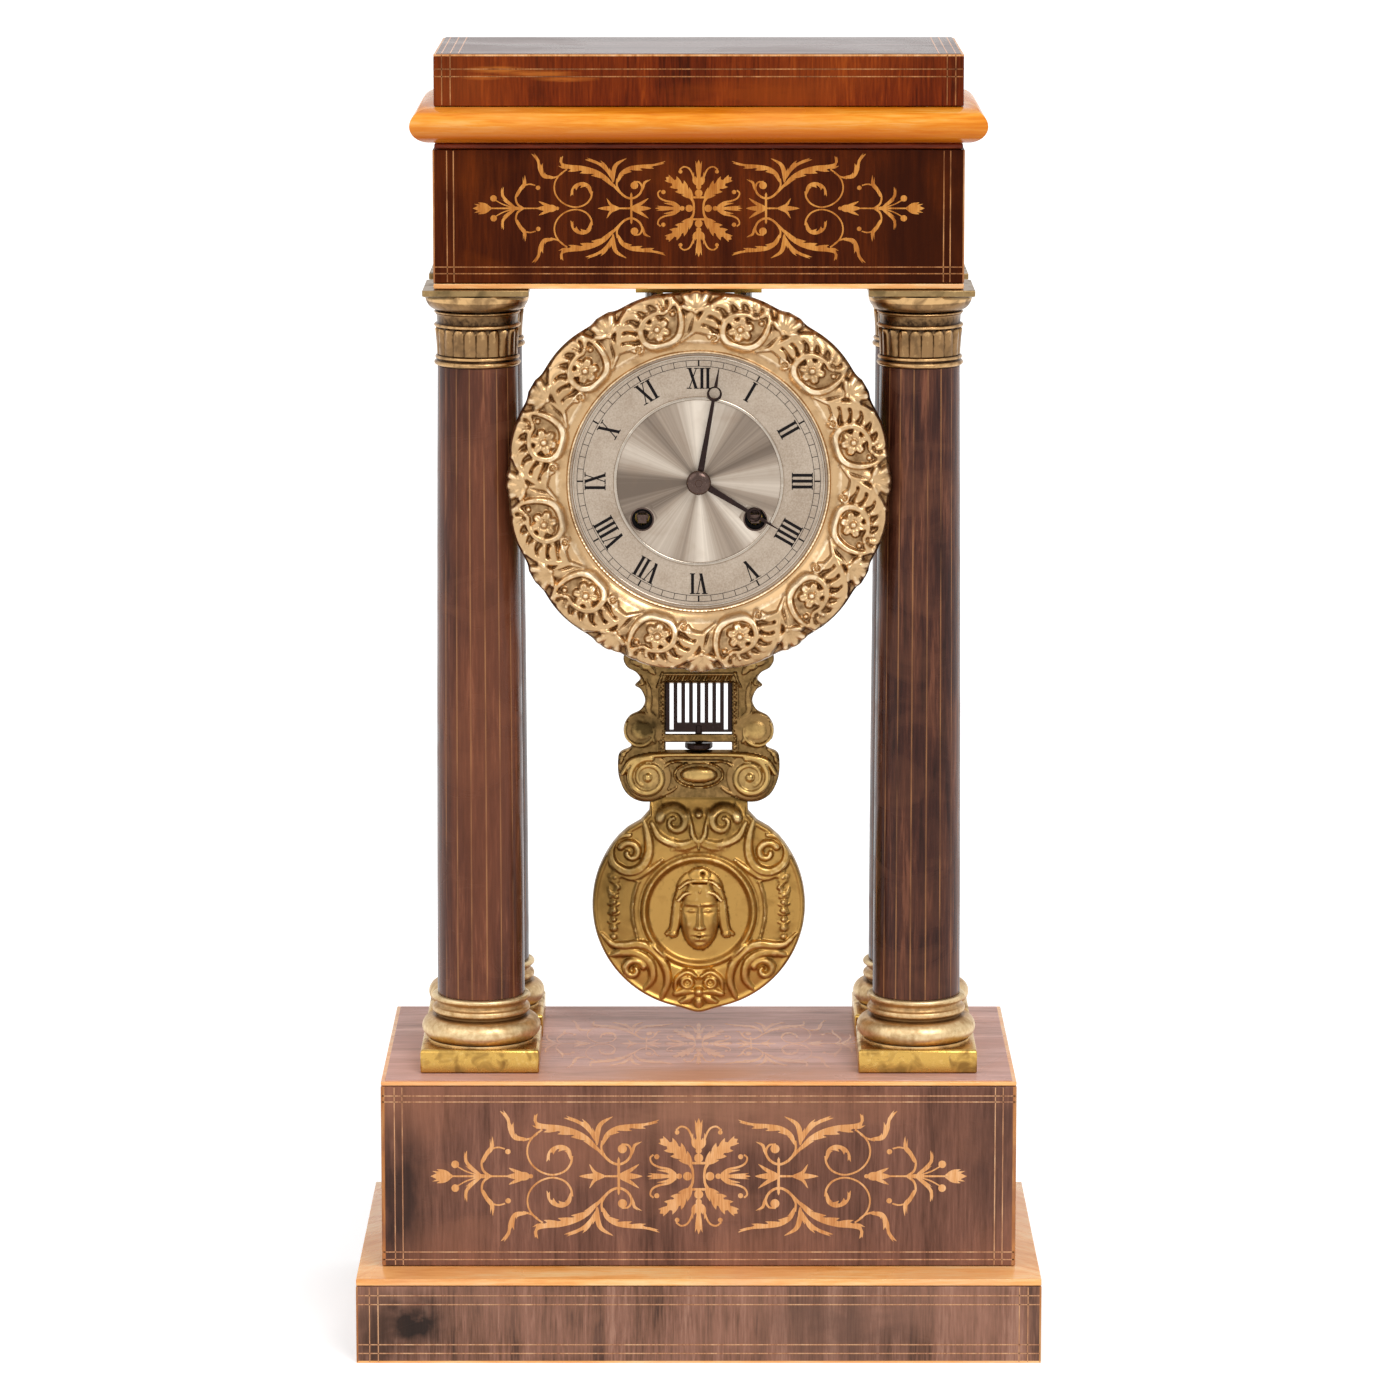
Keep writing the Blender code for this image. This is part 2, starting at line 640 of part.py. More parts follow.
def add_columns():
    """Four columns, each a brass base, a wooden shaft and a brass capital on an iron rod."""
    bore = ROD_RADIUS + SEAT_GAP
    foot_top = FOOT_BOTTOM + FOOT_HEIGHT
    torus_top = foot_top + TORUS_HEIGHT
    scotia_top = torus_top + SCOTIA_HEIGHT
    profile = [(0, foot_top - 1), (TORUS_RADIUS - TORUS_HEIGHT / 2, foot_top - 1)]
    profile += bulge(TORUS_RADIUS, TORUS_HEIGHT / 2, foot_top, torus_top, 5)
    profile += [(SCOTIA_RADIUS, torus_top + 0.6), (SCOTIA_RADIUS - 0.5, (torus_top + scotia_top) / 2)]
    profile += bulge(RING_RADIUS, RING_HEIGHT / 2, scotia_top, FOOT_TOP, 3)
    profile.append((0, FOOT_TOP))
    hole = pin(bore, FOOT_BOTTOM - 1, FOOT_TOP + 1, axis="Z", segments=10)
    mouldings = turned(profile, segments=COLUMN_SEGMENTS)
    foot = square_block(FOOT_SIDE, FOOT_BOTTOM, foot_top)
    add_copies("column_base", "gilt_brass", foot, [mouldings], [hole], COLUMN_PLACES)

    shaft_top = SHAFT_BOTTOM + SHAFT_LENGTH
    taper = SHAFT_BOTTOM_RADIUS - SHAFT_TOP_RADIUS
    profile = [(SHAFT_BORE_RADIUS, SHAFT_BOTTOM)]
    for share in (0.0, 0.3, 0.55, 0.8, 1.0):
        radius = SHAFT_BOTTOM_RADIUS - taper * share**1.5
        profile.append((radius, SHAFT_BOTTOM + SHAFT_LENGTH * share))
    profile.append((SHAFT_BORE_RADIUS, shaft_top))
    shaft = turned(profile, segments=COLUMN_SEGMENTS, bored=True)
    add_copies("column_shaft", "rosewood", shaft, [], [], COLUMN_PLACES)

    neck_top = CAPITAL_BOTTOM + NECK_HEIGHT
    leaf_top = neck_top + LEAF_HEIGHT
    band_top = leaf_top + BAND_HEIGHT
    echinus_top = band_top + ECHINUS_HEIGHT
    profile = [(0, CAPITAL_BOTTOM)]
    profile += bulge(NECK_RADIUS, NECK_HEIGHT / 4, CAPITAL_BOTTOM, neck_top, 2)
    profile += [(CAPITAL_RADIUS - 0.3, neck_top + 0.4), (CAPITAL_RADIUS + 0.3, leaf_top)]
    profile += [(CAPITAL_RADIUS + 0.7, leaf_top + 0.3), (CAPITAL_RADIUS + 0.7, band_top)]
    for i in range(4):
        angle = math.pi / 2 * i / 3
        radius = CAPITAL_RADIUS + 0.4 + (ECHINUS_RADIUS - CAPITAL_RADIUS - 0.4) * (1 - math.cos(angle))
        profile.append((radius, band_top + 0.6 + (ECHINUS_HEIGHT - 0.6) * math.sin(angle)))
    profile.append((0, echinus_top))
    top = echinus_top + ABACUS_HEIGHT
    hole = pin(bore, CAPITAL_BOTTOM - 1, top + 1, axis="Z", segments=10)
    abacus = square_block(ABACUS_SIDE, echinus_top - 0.2, top)
    body = turned(profile, segments=COLUMN_SEGMENTS)
    add_copies("column_capital", "gilt_brass", abacus, [body], [hole], COLUMN_PLACES)

    under_board = BASE_BOARD_Z - BOARD_TONGUE - SEAT_GAP
    end = SOFFIT + SOFFIT_BOARD_EDGE + BOARD_TONGUE + ROD_END
    profile = [
        (0, under_board - ROD_HEAD_HEIGHT),
        (ROD_HEAD_RADIUS, under_board - ROD_HEAD_HEIGHT),
        (ROD_HEAD_RADIUS, under_board),
        (ROD_RADIUS, under_board),
        (ROD_RADIUS, end),
        (0, end),
    ]
    add_copies("tie_rod", "steel", turned(profile, segments=8), [], [], COLUMN_PLACES)


def add_entablature():
    """Frieze box, bead, half-round cornice and top block."""
    half_width = FRIEZE_WIDTH / 2
    half_depth = FRIEZE_DEPTH / 2
    tongue = FRIEZE_WALL + SEAT_GAP
    edge_top = SOFFIT + SOFFIT_BOARD_EDGE
    sections = [
        (half_width, half_depth, SOFFIT),
        (half_width, half_depth, edge_top),
        (half_width - tongue, half_depth - tongue, edge_top),
        (half_width - tongue, half_depth - tongue, edge_top + BOARD_TONGUE),
    ]
    holes = rod_holes(SOFFIT - 1, edge_top + BOARD_TONGUE + 1)
    holes += [screw_hole(side, SOFFIT - 1, SOFFIT + SCREW_REACH) for side in (-1, 1)]
    add_piece("frieze_soffit_board", "rosewood", board(sections), cut=holes)
    top = FRIEZE_BOTTOM + FRIEZE_WALL_HEIGHT
    walls = [(0, FRIEZE_BOTTOM), (0, top), (-FRIEZE_WALL, top), (-FRIEZE_WALL, FRIEZE_BOTTOM)]
    add_piece("frieze_walls", "rosewood", mitred_ring(walls, half_width, half_depth))
    bead_width = half_width - BEAD_SETBACK
    bead_depth = half_depth - BEAD_SETBACK
    sections = [(bead_width, bead_depth, BEAD_BOTTOM), (bead_width, bead_depth, BEAD_BOTTOM + BEAD_HEIGHT)]
    add_piece("cornice_bead", "rosewood", board(sections))
    nose = bulge(CORNICE_OVERHANG, CORNICE_HEIGHT / 2, CORNICE_BOTTOM, CORNICE_BOTTOM + CORNICE_HEIGHT, 10)
    sections = [(half_width + out, half_depth + out, height) for out, height in nose]
    add_piece("cornice_moulding", "cornice_wood", board(sections))
    top_width = half_width - TOP_SETBACK
    top_depth = half_depth - TOP_SETBACK
    sections = [(top_width, top_depth, TOP_BOTTOM), (top_width, top_depth, TOP_BOTTOM + TOP_HEIGHT)]
    add_piece("top_block", "rosewood", board(sections))


def screw_hole(side, low, high):
    """Clearance hole for one of the two hanger screws."""
    middle = (HANGER_FRONT + HANGER_BACK) / 2
    return pin(SCREW_RADIUS + PIVOT_PLAY, low, high, (side * HANGER_SCREW_X, middle), "Z", 10)


def add_hanger():
    """Brass saddle that carries the drum under the frieze, with its two screws."""
    top = SOFFIT - SEAT_GAP
    flange = top - HANGER_FLANGE
    radius = DRUM_RADIUS + SEAT_GAP
    half_angle = math.degrees(math.asin(HANGER_WEB / 2 / radius))
    outline = [(HANGER_WEB / 2, flange + 0.5), (-HANGER_WEB / 2, flange + 0.5)]
    for i in range(7):
        outline.append(polar(CENTRE, radius, 90 + half_angle - 2 * half_angle * i / 6))
    web = plate(outline, [], HANGER_FRONT, HANGER_BACK)
    middle = (HANGER_FRONT + HANGER_BACK) / 2
    side = HANGER_WIDTH / 2
    corners = [(-side, HANGER_FRONT), (side, HANGER_FRONT), (side, HANGER_BACK), (-side, HANGER_BACK)]
    hole = SCREW_RADIUS + PIVOT_PLAY
    holes = [circle((x, middle), hole) for x in (-HANGER_SCREW_X, HANGER_SCREW_X)]
    add_piece("hanger_bracket", "movement_brass", plate(corners, holes, flange, top, "Z"), joined=[web])
    head_top = flange - SEAT_GAP
    end = SOFFIT + SCREW_REACH - SEAT_GAP
    profile = [
        (0, head_top - SCREW_HEAD_HEIGHT),
        (SCREW_HEAD_RADIUS, head_top - SCREW_HEAD_HEIGHT),
        (SCREW_HEAD_RADIUS, head_top),
        (SCREW_RADIUS, head_top),
        (SCREW_RADIUS, end),
        (0, end),
    ]
    for name, side in (("left", -1), ("right", 1)):
        screw = turned(profile, (side * HANGER_SCREW_X, middle), segments=10)
        add_piece(f"hanger_screw_{name}", "steel", screw)


def bezel_rim(degrees):
    """Radius of the bezel's outline: round lobes with a shell in each hollow between them."""
    lobe = abs(math.sin(math.radians(degrees * BEZEL_LOBES / 2)))
    step = 360 / BEZEL_LOBES
    from_shell = (degrees + step / 2) % step - step / 2
    shell = math.exp(-((from_shell / 3.2) ** 2))
    hollow = BEZEL_RADIUS - BEZEL_LOBE_DEPTH
    return min(hollow + BEZEL_LOBE_DEPTH * lobe**0.7 + BEZEL_LOBE_DEPTH * shell, BEZEL_RADIUS)


def bezel_height(radius, degrees, rim):
    """How far the cast ornament stands in front of the bezel's back."""
    floor = 0.42 * BEZEL_DEPTH
    inner = BEZEL_OPENING + 4.5
    share = min(max((radius - inner) / (rim - inner), 0.0), 1.0)
    swell = 0.34 * BEZEL_DEPTH * math.sin(math.pi * share) ** 0.6
    step = 360 / BEZEL_LOBES
    from_rosette = (degrees % step - step / 2) * math.pi / 180 * ROSETTE_CIRCLE
    reach = math.hypot(radius - ROSETTE_CIRCLE, from_rosette) / ROSETTE_RADIUS
    rosette = 0.24 * BEZEL_DEPTH * max(1 - reach**2, 0.0)
    return floor + swell + rosette


def add_bezel():
    """Cast gilt bezel with a plain inner edge, twelve lobes, rosettes and shells."""
    steps = 6 * BEZEL_LOBES
    seat = DIAL_RADIUS + 0.4
    front_edge = 0.45 * BEZEL_DEPTH
    stations = (0.0, 0.14, 0.3, 0.46, 0.64, 0.8, 0.93)
    points = []
    rings = []
    columns = []
    for i in range(steps):
        degrees = 360 * i / steps
        rim = bezel_rim(degrees)
        inner = BEZEL_OPENING + 4.5
        column = [(seat, 0.0), (seat, -2.0), (BEZEL_OPENING, -2.0), (BEZEL_OPENING, -front_edge)]
        column.append((BEZEL_OPENING + 1.6, -front_edge - 0.6))
        for share in stations:
            radius = inner + (rim - inner) * share
            column.append((radius, -bezel_height(radius, degrees, rim)))
        column += [(rim, -0.3 * BEZEL_DEPTH), (rim - 0.4, 0.0)]
        places = [polar(CENTRE, radius, degrees) for radius, height in column]
        columns.append([(x, BEZEL_BACK + height, z) for (x, z), (radius, height) in zip(places, column)])
    for ring in zip(*columns):
        rings.append(list(range(len(points), len(points) + steps)))
        points += ring
    faces = []
    for first, second in zip(rings, rings[1:] + rings[:1]):
        faces += ring_faces(first, second)
    add_piece("bezel", "gilt_brass", (points, faces))


def pipe(inner, outer, front, back, centre=CENTRE, segments=40):
    """Open pipe along the Y axis."""
    profile = [(inner, front), (outer, front), (outer, back), (inner, back)]
    return turned(profile, centre, "Y", segments, bored=True)


def add_drum():
    """Brass drum, its back ring and the silvered dial."""
    inner = DRUM_RADIUS - DRUM_WALL
    add_piece("drum", "movement_brass", pipe(inner, DRUM_RADIUS, DRUM_FRONT, DRUM_BACK))
    front = DRUM_BACK + SEAT_GAP
    back = front + RING_THICKNESS
    add_piece("back_ring", "movement_brass", pipe(RING_INNER, RING_OUTER, front, back))

    hole = HOUR_PIPE_RADIUS + 2 * SEAT_GAP
    holes = [circle(CENTRE, hole, 16)]
    holes += [circle(barrel, WINDING_HOLE, 20) for barrel in (GOING_BARREL, STRIKE_BARREL)]
    dial = plate(circle(CENTRE, DIAL_RADIUS, 40), holes, DIAL_FRONT, DIAL_BACK)
    feet = []
    for degrees in (90, 210, 330):
        place = polar(CENTRE, FRONT_PLATE_RADIUS - 4, degrees)
        feet.append(pin(DIAL_FOOT_RADIUS, DIAL_BACK - 0.5, FRONT_PLATE_FRONT - SEAT_GAP, place, segments=8))
    add_piece("dial_plate", "silvered", dial, joined=feet)


def add_plates():
    """The two movement plates with their pivot holes; the pillars are riveted to the front one."""
    pivot = ARBOR_RADIUS * PIVOT_SHARE
    front_holes = {
        GOING_BARREL: WINDING_ARBOR_RADIUS,
        STRIKE_BARREL: WINDING_ARBOR_RADIUS,
        CENTRE: ARBOR_RADIUS,
        SECOND: pivot,
        STRIKE: pivot,
        THIRD: THIRD_ARBOR_RADIUS * PIVOT_SHARE,
        ESCAPE: ESCAPE_ARBOR_RADIUS * PIVOT_SHARE,
        PALLET: PALLET_ARBOR_RADIUS,
    }
    back_holes = {**front_holes, CENTRE: pivot}
    back_holes[GOING_BARREL] = WINDING_PIVOT_RADIUS
    back_holes[STRIKE_BARREL] = WINDING_PIVOT_RADIUS
    holes = [circle(place, radius + PIVOT_PLAY, 10) for place, radius in front_holes.items()]
    disc = plate(circle(CENTRE, FRONT_PLATE_RADIUS, 32), holes, FRONT_PLATE_FRONT, FRONT_INSIDE)
    pillars = []
    end = BACK_INSIDE - SEAT_GAP
    for degrees in PILLAR_ANGLES:
        profile = [
            (0, FRONT_INSIDE - 1),
            (PILLAR_RADIUS, FRONT_INSIDE - 1),
            (PILLAR_RADIUS, FRONT_INSIDE + 3),
            (PILLAR_RADIUS - 0.6, FRONT_INSIDE + 4),
            (PILLAR_RADIUS - 0.6, end - 4),
            (PILLAR_RADIUS, end - 3),
            (PILLAR_RADIUS, end),
            (0, end),
        ]
        pillars.append(turned(profile, polar(CENTRE, PILLAR_CIRCLE, degrees), "Y", 8))
    stud = pin(STUD_RADIUS, FRONT_INSIDE - 0.5, HOUR_LAYER[0] - 1.0, MINUTE_ARBOR)
    add_piece("front_plate", "movement_brass", disc, joined=[*pillars, stud])

    radius = DRUM_RADIUS - DRUM_WALL - SEAT_GAP
    holes = [circle(place, hole + PIVOT_PLAY, 10) for place, hole in back_holes.items()]
    disc = plate(circle(CENTRE, radius, 40), holes, BACK_INSIDE, BACK_PLATE_BACK)
    stud_place = (HAMMER_PIVOT[0], DIAL_Z + HAMMER_PIVOT[1])
    stud = pin(STUD_RADIUS, BACK_PLATE_BACK - 1, BELL_FRONT + 2, stud_place)
    add_piece("back_plate", "movement_brass", disc, joined=[stud])


def add_barrels():
    """Going and strike barrels, each on a winding arbor with a square end in the dial's hole."""
    for name, place, partner in (("going", GOING_BARREL, SECOND), ("strike", STRIKE_BARREL, STRIKE)):
        group = make_group(f"{name}_barrel_axis", place[0], 0, place[1])
        wheel = gear(GREAT_WHEEL_TEETH, GREAT_WHEEL_RADIUS, place, partner, "tooth", GREAT_LAYER)
        case = pin(BARREL_RADIUS, BARREL_FRONT, GREAT_LAYER[0] + 0.3, place, segments=24)
        hole = pin(WINDING_ARBOR_RADIUS + SEAT_GAP, BARREL_FRONT - 1, GREAT_LAYER[1] + 1, place)
        add_piece(f"{name}_barrel", "movement_brass", wheel, joined=[case], cut=[hole], group=group)
        shaft_end = GREAT_LAYER[1] + SEAT_GAP
        profile = [
            (0, FRONT_PLATE_FRONT - 1),
            (WINDING_ARBOR_RADIUS, FRONT_PLATE_FRONT - 1),
            (WINDING_ARBOR_RADIUS, shaft_end),
            (WINDING_PIVOT_RADIUS, shaft_end),
            (WINDING_PIVOT_RADIUS, BACK_PLATE_BACK),
            (0, BACK_PLATE_BACK),
        ]
        half = WINDING_SQUARE / 2
        square = block(
            (place[0] - half, place[0] + half),
            (DIAL_FRONT + 0.9, FRONT_PLATE_FRONT),
            (place[1] - half, place[1] + half),
        )
        spindle = turned(profile, place, "Y", 12)
        add_piece(f"{name}_winding_arbor", "steel", spindle, joined=[square], group=group)


def add_train():
    """Second, centre, third and escape wheels, each riveted to its arbor and pinion."""
    group = make_group("second_wheel_axis", SECOND[0], 0, SECOND[1])
    layer = widened(GREAT_LAYER)
    pinion = gear(SECOND_PINION_LEAVES, SECOND_PINION_RADIUS, SECOND, GOING_BARREL, "gap", layer)
    wheel = gear(SECOND_WHEEL_TEETH, SECOND_WHEEL_RADIUS, SECOND, CENTRE, "tooth", SECOND_LAYER)
    add_piece("second_wheel", "movement_brass", wheel, joined=[arbor(SECOND), pinion], group=group)

    group = make_group("third_wheel_axis", THIRD[0], 0, THIRD[1])
    layer = widened(CENTRE_LAYER)
    pinion = gear(THIRD_PINION_LEAVES, THIRD_PINION_RADIUS, THIRD, CENTRE, "gap", layer)
    wheel = gear(THIRD_WHEEL_TEETH, THIRD_WHEEL_RADIUS, THIRD, ESCAPE, "tooth", THIRD_LAYER)
    spindle = arbor(THIRD, THIRD_ARBOR_RADIUS)
    add_piece("third_wheel", "movement_brass", wheel, joined=[spindle, pinion], group=group)

    group = make_group("escape_wheel_axis", ESCAPE[0], 0, ESCAPE[1])
    outline = []
    step = 360 / ESCAPE_WHEEL_TEETH
    for i in range(ESCAPE_WHEEL_TEETH):
        outline.append(polar(ESCAPE, ESCAPE_WHEEL_RADIUS - 1.7, i * step))
        outline.append(polar(ESCAPE, ESCAPE_WHEEL_RADIUS, (i + 0.2) * step))
    layer = widened(THIRD_LAYER)
    pinion = gear(ESCAPE_PINION_LEAVES, ESCAPE_PINION_RADIUS, ESCAPE, THIRD, "gap", layer)
    wheel = plate(outline, [], *ESCAPE_LAYER)
    spindle = arbor(ESCAPE, ESCAPE_ARBOR_RADIUS)
    add_piece("escape_wheel", "movement_brass", wheel, joined=[spindle, pinion], group=group)


def add_hand(name, direction, length, ring, width, layer, bore, group):
    """Steel hand: a boss on its pipe, a tapering arm, a ring and a pointed tip."""

    def along(radius):
        return polar(CENTRE, radius, direction)

    arm_start = along(COLLET_RADIUS - 2)
    arm = bar(arm_start, along(ring - HAND_RING_RADIUS + 0.4), width, width * 0.5)
    tip = bar(along(ring + HAND_RING_RADIUS - 0.4), along(length), width * 0.55, 0.35)
    rim = circle(along(ring), HAND_RING_RADIUS, 16)
    hole = circle(along(ring + 0.35), HAND_RING_RADIUS - 0.9, 16)
    thin = (layer[0] + 0.1, layer[1] - 0.1)
    boss = plate(circle(CENTRE, COLLET_RADIUS, 16), [circle(CENTRE, bore, 12)], *layer)
    joined = [plate(outline, [], *thin) for outline in (arm, tip)]
    joined.append(plate(rim, [hole], thin[0] + 0.05, thin[1] - 0.05))
    add_piece(name, "dark_steel", boss, joined=joined, group=group)


def add_hands_and_motion_work():
    """Centre arbor, cannon pinion, minute wheel, hour wheel, the two hands and their collet."""
    minute_group = make_group("minute_axis", 0, 0, DIAL_Z)
    collet_back = MINUTE_HAND_Y - HAND_THICKNESS - SEAT_GAP
    arbor_end = collet_back - 1.4
    pivot = ARBOR_RADIUS * PIVOT_SHARE
    profile = [
        (0, arbor_end),
        (CENTRE_ARBOR_FRONT_RADIUS, arbor_end),
        (CENTRE_ARBOR_FRONT_RADIUS, FRONT_PLATE_FRONT - 0.2),
        (ARBOR_RADIUS, FRONT_PLATE_FRONT - 0.2),
        (ARBOR_RADIUS, BACK_INSIDE - SEAT_GAP),
        (pivot, BACK_INSIDE - SEAT_GAP),
        (pivot, BACK_PLATE_BACK),
        (0, BACK_PLATE_BACK),
    ]
    wheel = gear(CENTRE_WHEEL_TEETH, CENTRE_WHEEL_RADIUS, CENTRE, THIRD, "tooth", CENTRE_LAYER)
    pinion = gear(CENTRE_PINION_LEAVES, CENTRE_PINION_RADIUS, CENTRE, SECOND, "gap", widened(SECOND_LAYER))
    spindle = turned(profile, CENTRE, "Y", 12)
    add_piece("centre_wheel", "movement_brass", wheel, joined=[spindle, pinion], group=minute_group)

    cannon_back = CANNON_LAYER[1]
    leaves = gear(CANNON_LEAVES, CANNON_PITCH_RADIUS, CENTRE, MINUTE_ARBOR, "tooth", CANNON_LAYER)
    pipe_front = MINUTE_HAND_Y - HAND_THICKNESS
    cannon_pipe = pin(CANNON_PIPE_RADIUS, pipe_front, cannon_back - 0.5, CENTRE, segments=16)
    hole = pin(CANNON_PIPE_BORE, pipe_front - 1, cannon_back + 1, CENTRE, segments=16)
    add_piece("cannon_pinion", "steel", leaves, joined=[cannon_pipe], cut=[hole], group=minute_group)

    group = make_group("minute_wheel_axis", MINUTE_ARBOR[0], 0, MINUTE_ARBOR[1])
    wheel = gear(MINUTE_WHEEL_TEETH, MINUTE_WHEEL_RADIUS, MINUTE_ARBOR, CENTRE, "gap", MINUTE_LAYER)
    layer = (HOUR_LAYER[0] - 0.4, MINUTE_LAYER[0] + 0.3)
    pinion = gear(MINUTE_PINION_LEAVES, MINUTE_PINION_RADIUS, MINUTE_ARBOR, CENTRE, "tooth", layer)
    hole = pin(STUD_RADIUS + PIVOT_PLAY, layer[0] - 1, MINUTE_LAYER[1] + 1, MINUTE_ARBOR)
    add_piece("minute_wheel", "movement_brass", wheel, joined=[pinion], cut=[hole], group=group)

    hour_group = make_group("hour_axis", 0, 0, DIAL_Z)
    wheel = gear(HOUR_WHEEL_TEETH, HOUR_WHEEL_RADIUS, CENTRE, MINUTE_ARBOR, "gap", HOUR_LAYER)
    pipe_front = HOUR_HAND_Y - HAND_THICKNESS
    hour_pipe = pin(HOUR_PIPE_RADIUS, pipe_front, HOUR_LAYER[1] - 0.2, CENTRE, segments=16)
    hole = pin(HOUR_PIPE_BORE, pipe_front - 1, HOUR_LAYER[1] + 1, CENTRE, segments=16)
    add_piece("hour_wheel", "movement_brass", wheel, joined=[hour_pipe], cut=[hole], group=hour_group)
    layer = (HOUR_HAND_Y - HAND_THICKNESS, HOUR_HAND_Y)
    bore = HOUR_PIPE_RADIUS + PIVOT_PLAY
    sizes = (HOUR_ANGLE, HOUR_HAND_LENGTH, HOUR_HAND_RING, HOUR_HAND_WIDTH)
    add_hand("hour_hand", *sizes, layer, bore, hour_group)
    layer = (MINUTE_HAND_Y - HAND_THICKNESS, MINUTE_HAND_Y)
    bore = CANNON_PIPE_RADIUS + PIVOT_PLAY
    sizes = (MINUTE_ANGLE, MINUTE_HAND_LENGTH, MINUTE_HAND_RING, MINUTE_HAND_WIDTH)
    add_hand("minute_hand", *sizes, layer, bore, minute_group)

    front = collet_back - COLLET_HEIGHT
    profile = [(0, front), (COLLET_RADIUS - 2.2, front + 0.2), (COLLET_RADIUS - 0.6, front + 1.0)]
    profile += [(COLLET_RADIUS, collet_back), (0, collet_back)]
    collet = turned(profile, CENTRE, "Y", 24)
    hole = pin(CENTRE_ARBOR_FRONT_RADIUS + PIVOT_PLAY, arbor_end - SEAT_GAP, collet_back + 1, CENTRE)
    add_piece("hand_collet", "dark_steel", collet, cut=[hole], group=minute_group)


def add_anchor():
    """Anchor, its arbor and the crutch that embraces the pendulum rod."""
    group = make_group("anchor_axis", 0, 0, PIVOT_Z)
    facing = math.degrees(math.atan2(PALLET[1] - ESCAPE[1], PALLET[0] - ESCAPE[0]))
    tip_circle = ESCAPE_WHEEL_RADIUS + PALLET_CLEARANCE
    layer = (ESCAPE_LAYER[0] - 0.8, ESCAPE_LAYER[1] + 0.8)
    joined = []
    for side in (-1, 1):
        tip = polar(ESCAPE, tip_circle, facing + side * PALLET_SPREAD)
        knee = polar(ESCAPE, tip_circle + 3.6, facing + side * (PALLET_SPREAD + 3))
        joined.append(plate(bar(PALLET, knee, 3.4, 2.2), [], layer[0] + 0.1, layer[1] - 0.1))
        joined.append(plate(bar(knee, tip, 2.4, 0.9), [], *layer))
    arm_back = BEHIND_BACK + 4.9
    spindle = pin(PALLET_ARBOR_RADIUS, FRONT_PLATE_FRONT, arm_back + 0.4, PALLET)
    arm = block((-1.1, 1.1), (arm_back - 1.2, arm_back), (PIVOT_Z - CRUTCH_REACH, PIVOT_Z + 1.8))
    gap = PENDULUM_ROD_RADIUS + SEAT_GAP
    fork = [
        (-gap - 1.4, arm_back - 1.0),
        (gap + 1.4, arm_back - 1.0),
        (gap + 1.4, PENDULUM_Y + PENDULUM_ROD_RADIUS),
        (gap, PENDULUM_Y + PENDULUM_ROD_RADIUS),
        (gap, PENDULUM_Y - PENDULUM_ROD_RADIUS - 1.5),
        (-gap, PENDULUM_Y - PENDULUM_ROD_RADIUS - 1.5),
        (-gap, PENDULUM_Y + PENDULUM_ROD_RADIUS),
        (-gap - 1.4, PENDULUM_Y + PENDULUM_ROD_RADIUS),
    ]
    low = PIVOT_Z - CRUTCH_REACH - 0.4
    joined += [arm, plate(fork, [], low, low + 2.2, "Z")]
    hub = plate(circle(PALLET, 2.6, 16), [], layer[0] - 0.1, layer[1] + 0.1)
    add_piece("anchor_crutch", "steel", hub, joined=[spindle, *joined], group=group)


def add_suspension():
    """Cock on the back plate with the suspension spring between its two brass ends."""
    half_slot = 0.6
    half = SUSPENSION_WIDTH / 2
    slot_front = PENDULUM_Y - half - 0.5
    back = PENDULUM_Y + half + 1.0
    outline = [
        (-6, BEHIND_BACK),
        (6, BEHIND_BACK),
        (6, back),
        (half_slot, back),
        (half_slot, slot_front),
        (-half_slot, slot_front),
        (-half_slot, back),
        (-6, back),
    ]
    bottom = PIVOT_Z + 5.1
    top = bottom + 5.5
    add_piece("suspension_cock", "movement_brass", plate(outline, [], bottom, top, "Z"))
    seat = top + SEAT_GAP
    strip = block((-0.2, 0.2), (PENDULUM_Y - half, PENDULUM_Y + half), (PIVOT_Z - 5, seat + 1))
    depth = (PENDULUM_Y - half - 0.3, PENDULUM_Y + half + 0.3)
    top_end = block((-2, 2), depth, (seat, seat + 3))
    low_end = block((-1.4, 1.4), depth, (PIVOT_Z - 7.2, PIVOT_Z - 3.8))
    add_piece("suspension_spring", "steel", strip, joined=[top_end, low_end])


def frame_outline():
    """Half outline of the pendulum's gilt frame as (half width, rise above the bob's middle)."""
    return [
        (12.0, 103.2),
        (23.0, 103.0),
        (28.2, 100.8),
        (29.4, 97.6),
        (27.8, 94.4),
        (24.4, 92.4),
        (23.0, 89.8),
        (24.8, 87.5),
        (22.6, 85.6),
        (21.0, 81.6),
        (22.6, 77.8),
        (27.0, 75.3),
        (29.3, 71.2),
        (28.9, 66.6),
        (26.4, 63.4),
        (30.4, 61.2),
        (31.6, 58.2),
        (31.3, 51.2),
        (28.6, 44.8),
        (24.2, 41.6),
        (19.0, 41.0),
        (13.0, 42.8),
    ]


def dome(centre, radii, base, height, back):
    """Low oval boss: an outline at the back, the same at its base and a smaller one in front."""
    points = []
    rings = []
    count = 16
    for share, y in ((1.0, back), (1.0, base), (0.8, base - 0.6 * height), (0.4, base - 0.95 * height)):
        rings.append(list(range(len(points), len(points) + count)))
        for i in range(count):
            angle = 2 * math.pi * i / count
            x = centre[0] + radii[0] * share * math.cos(angle)
            z = centre[1] + radii[1] * share * math.sin(angle)
            points.append((x, y, z))
    faces = [rings[0], rings[-1]]
    for first, second in zip(rings, rings[1:]):
        faces += ring_faces(first, second)
    return points, faces


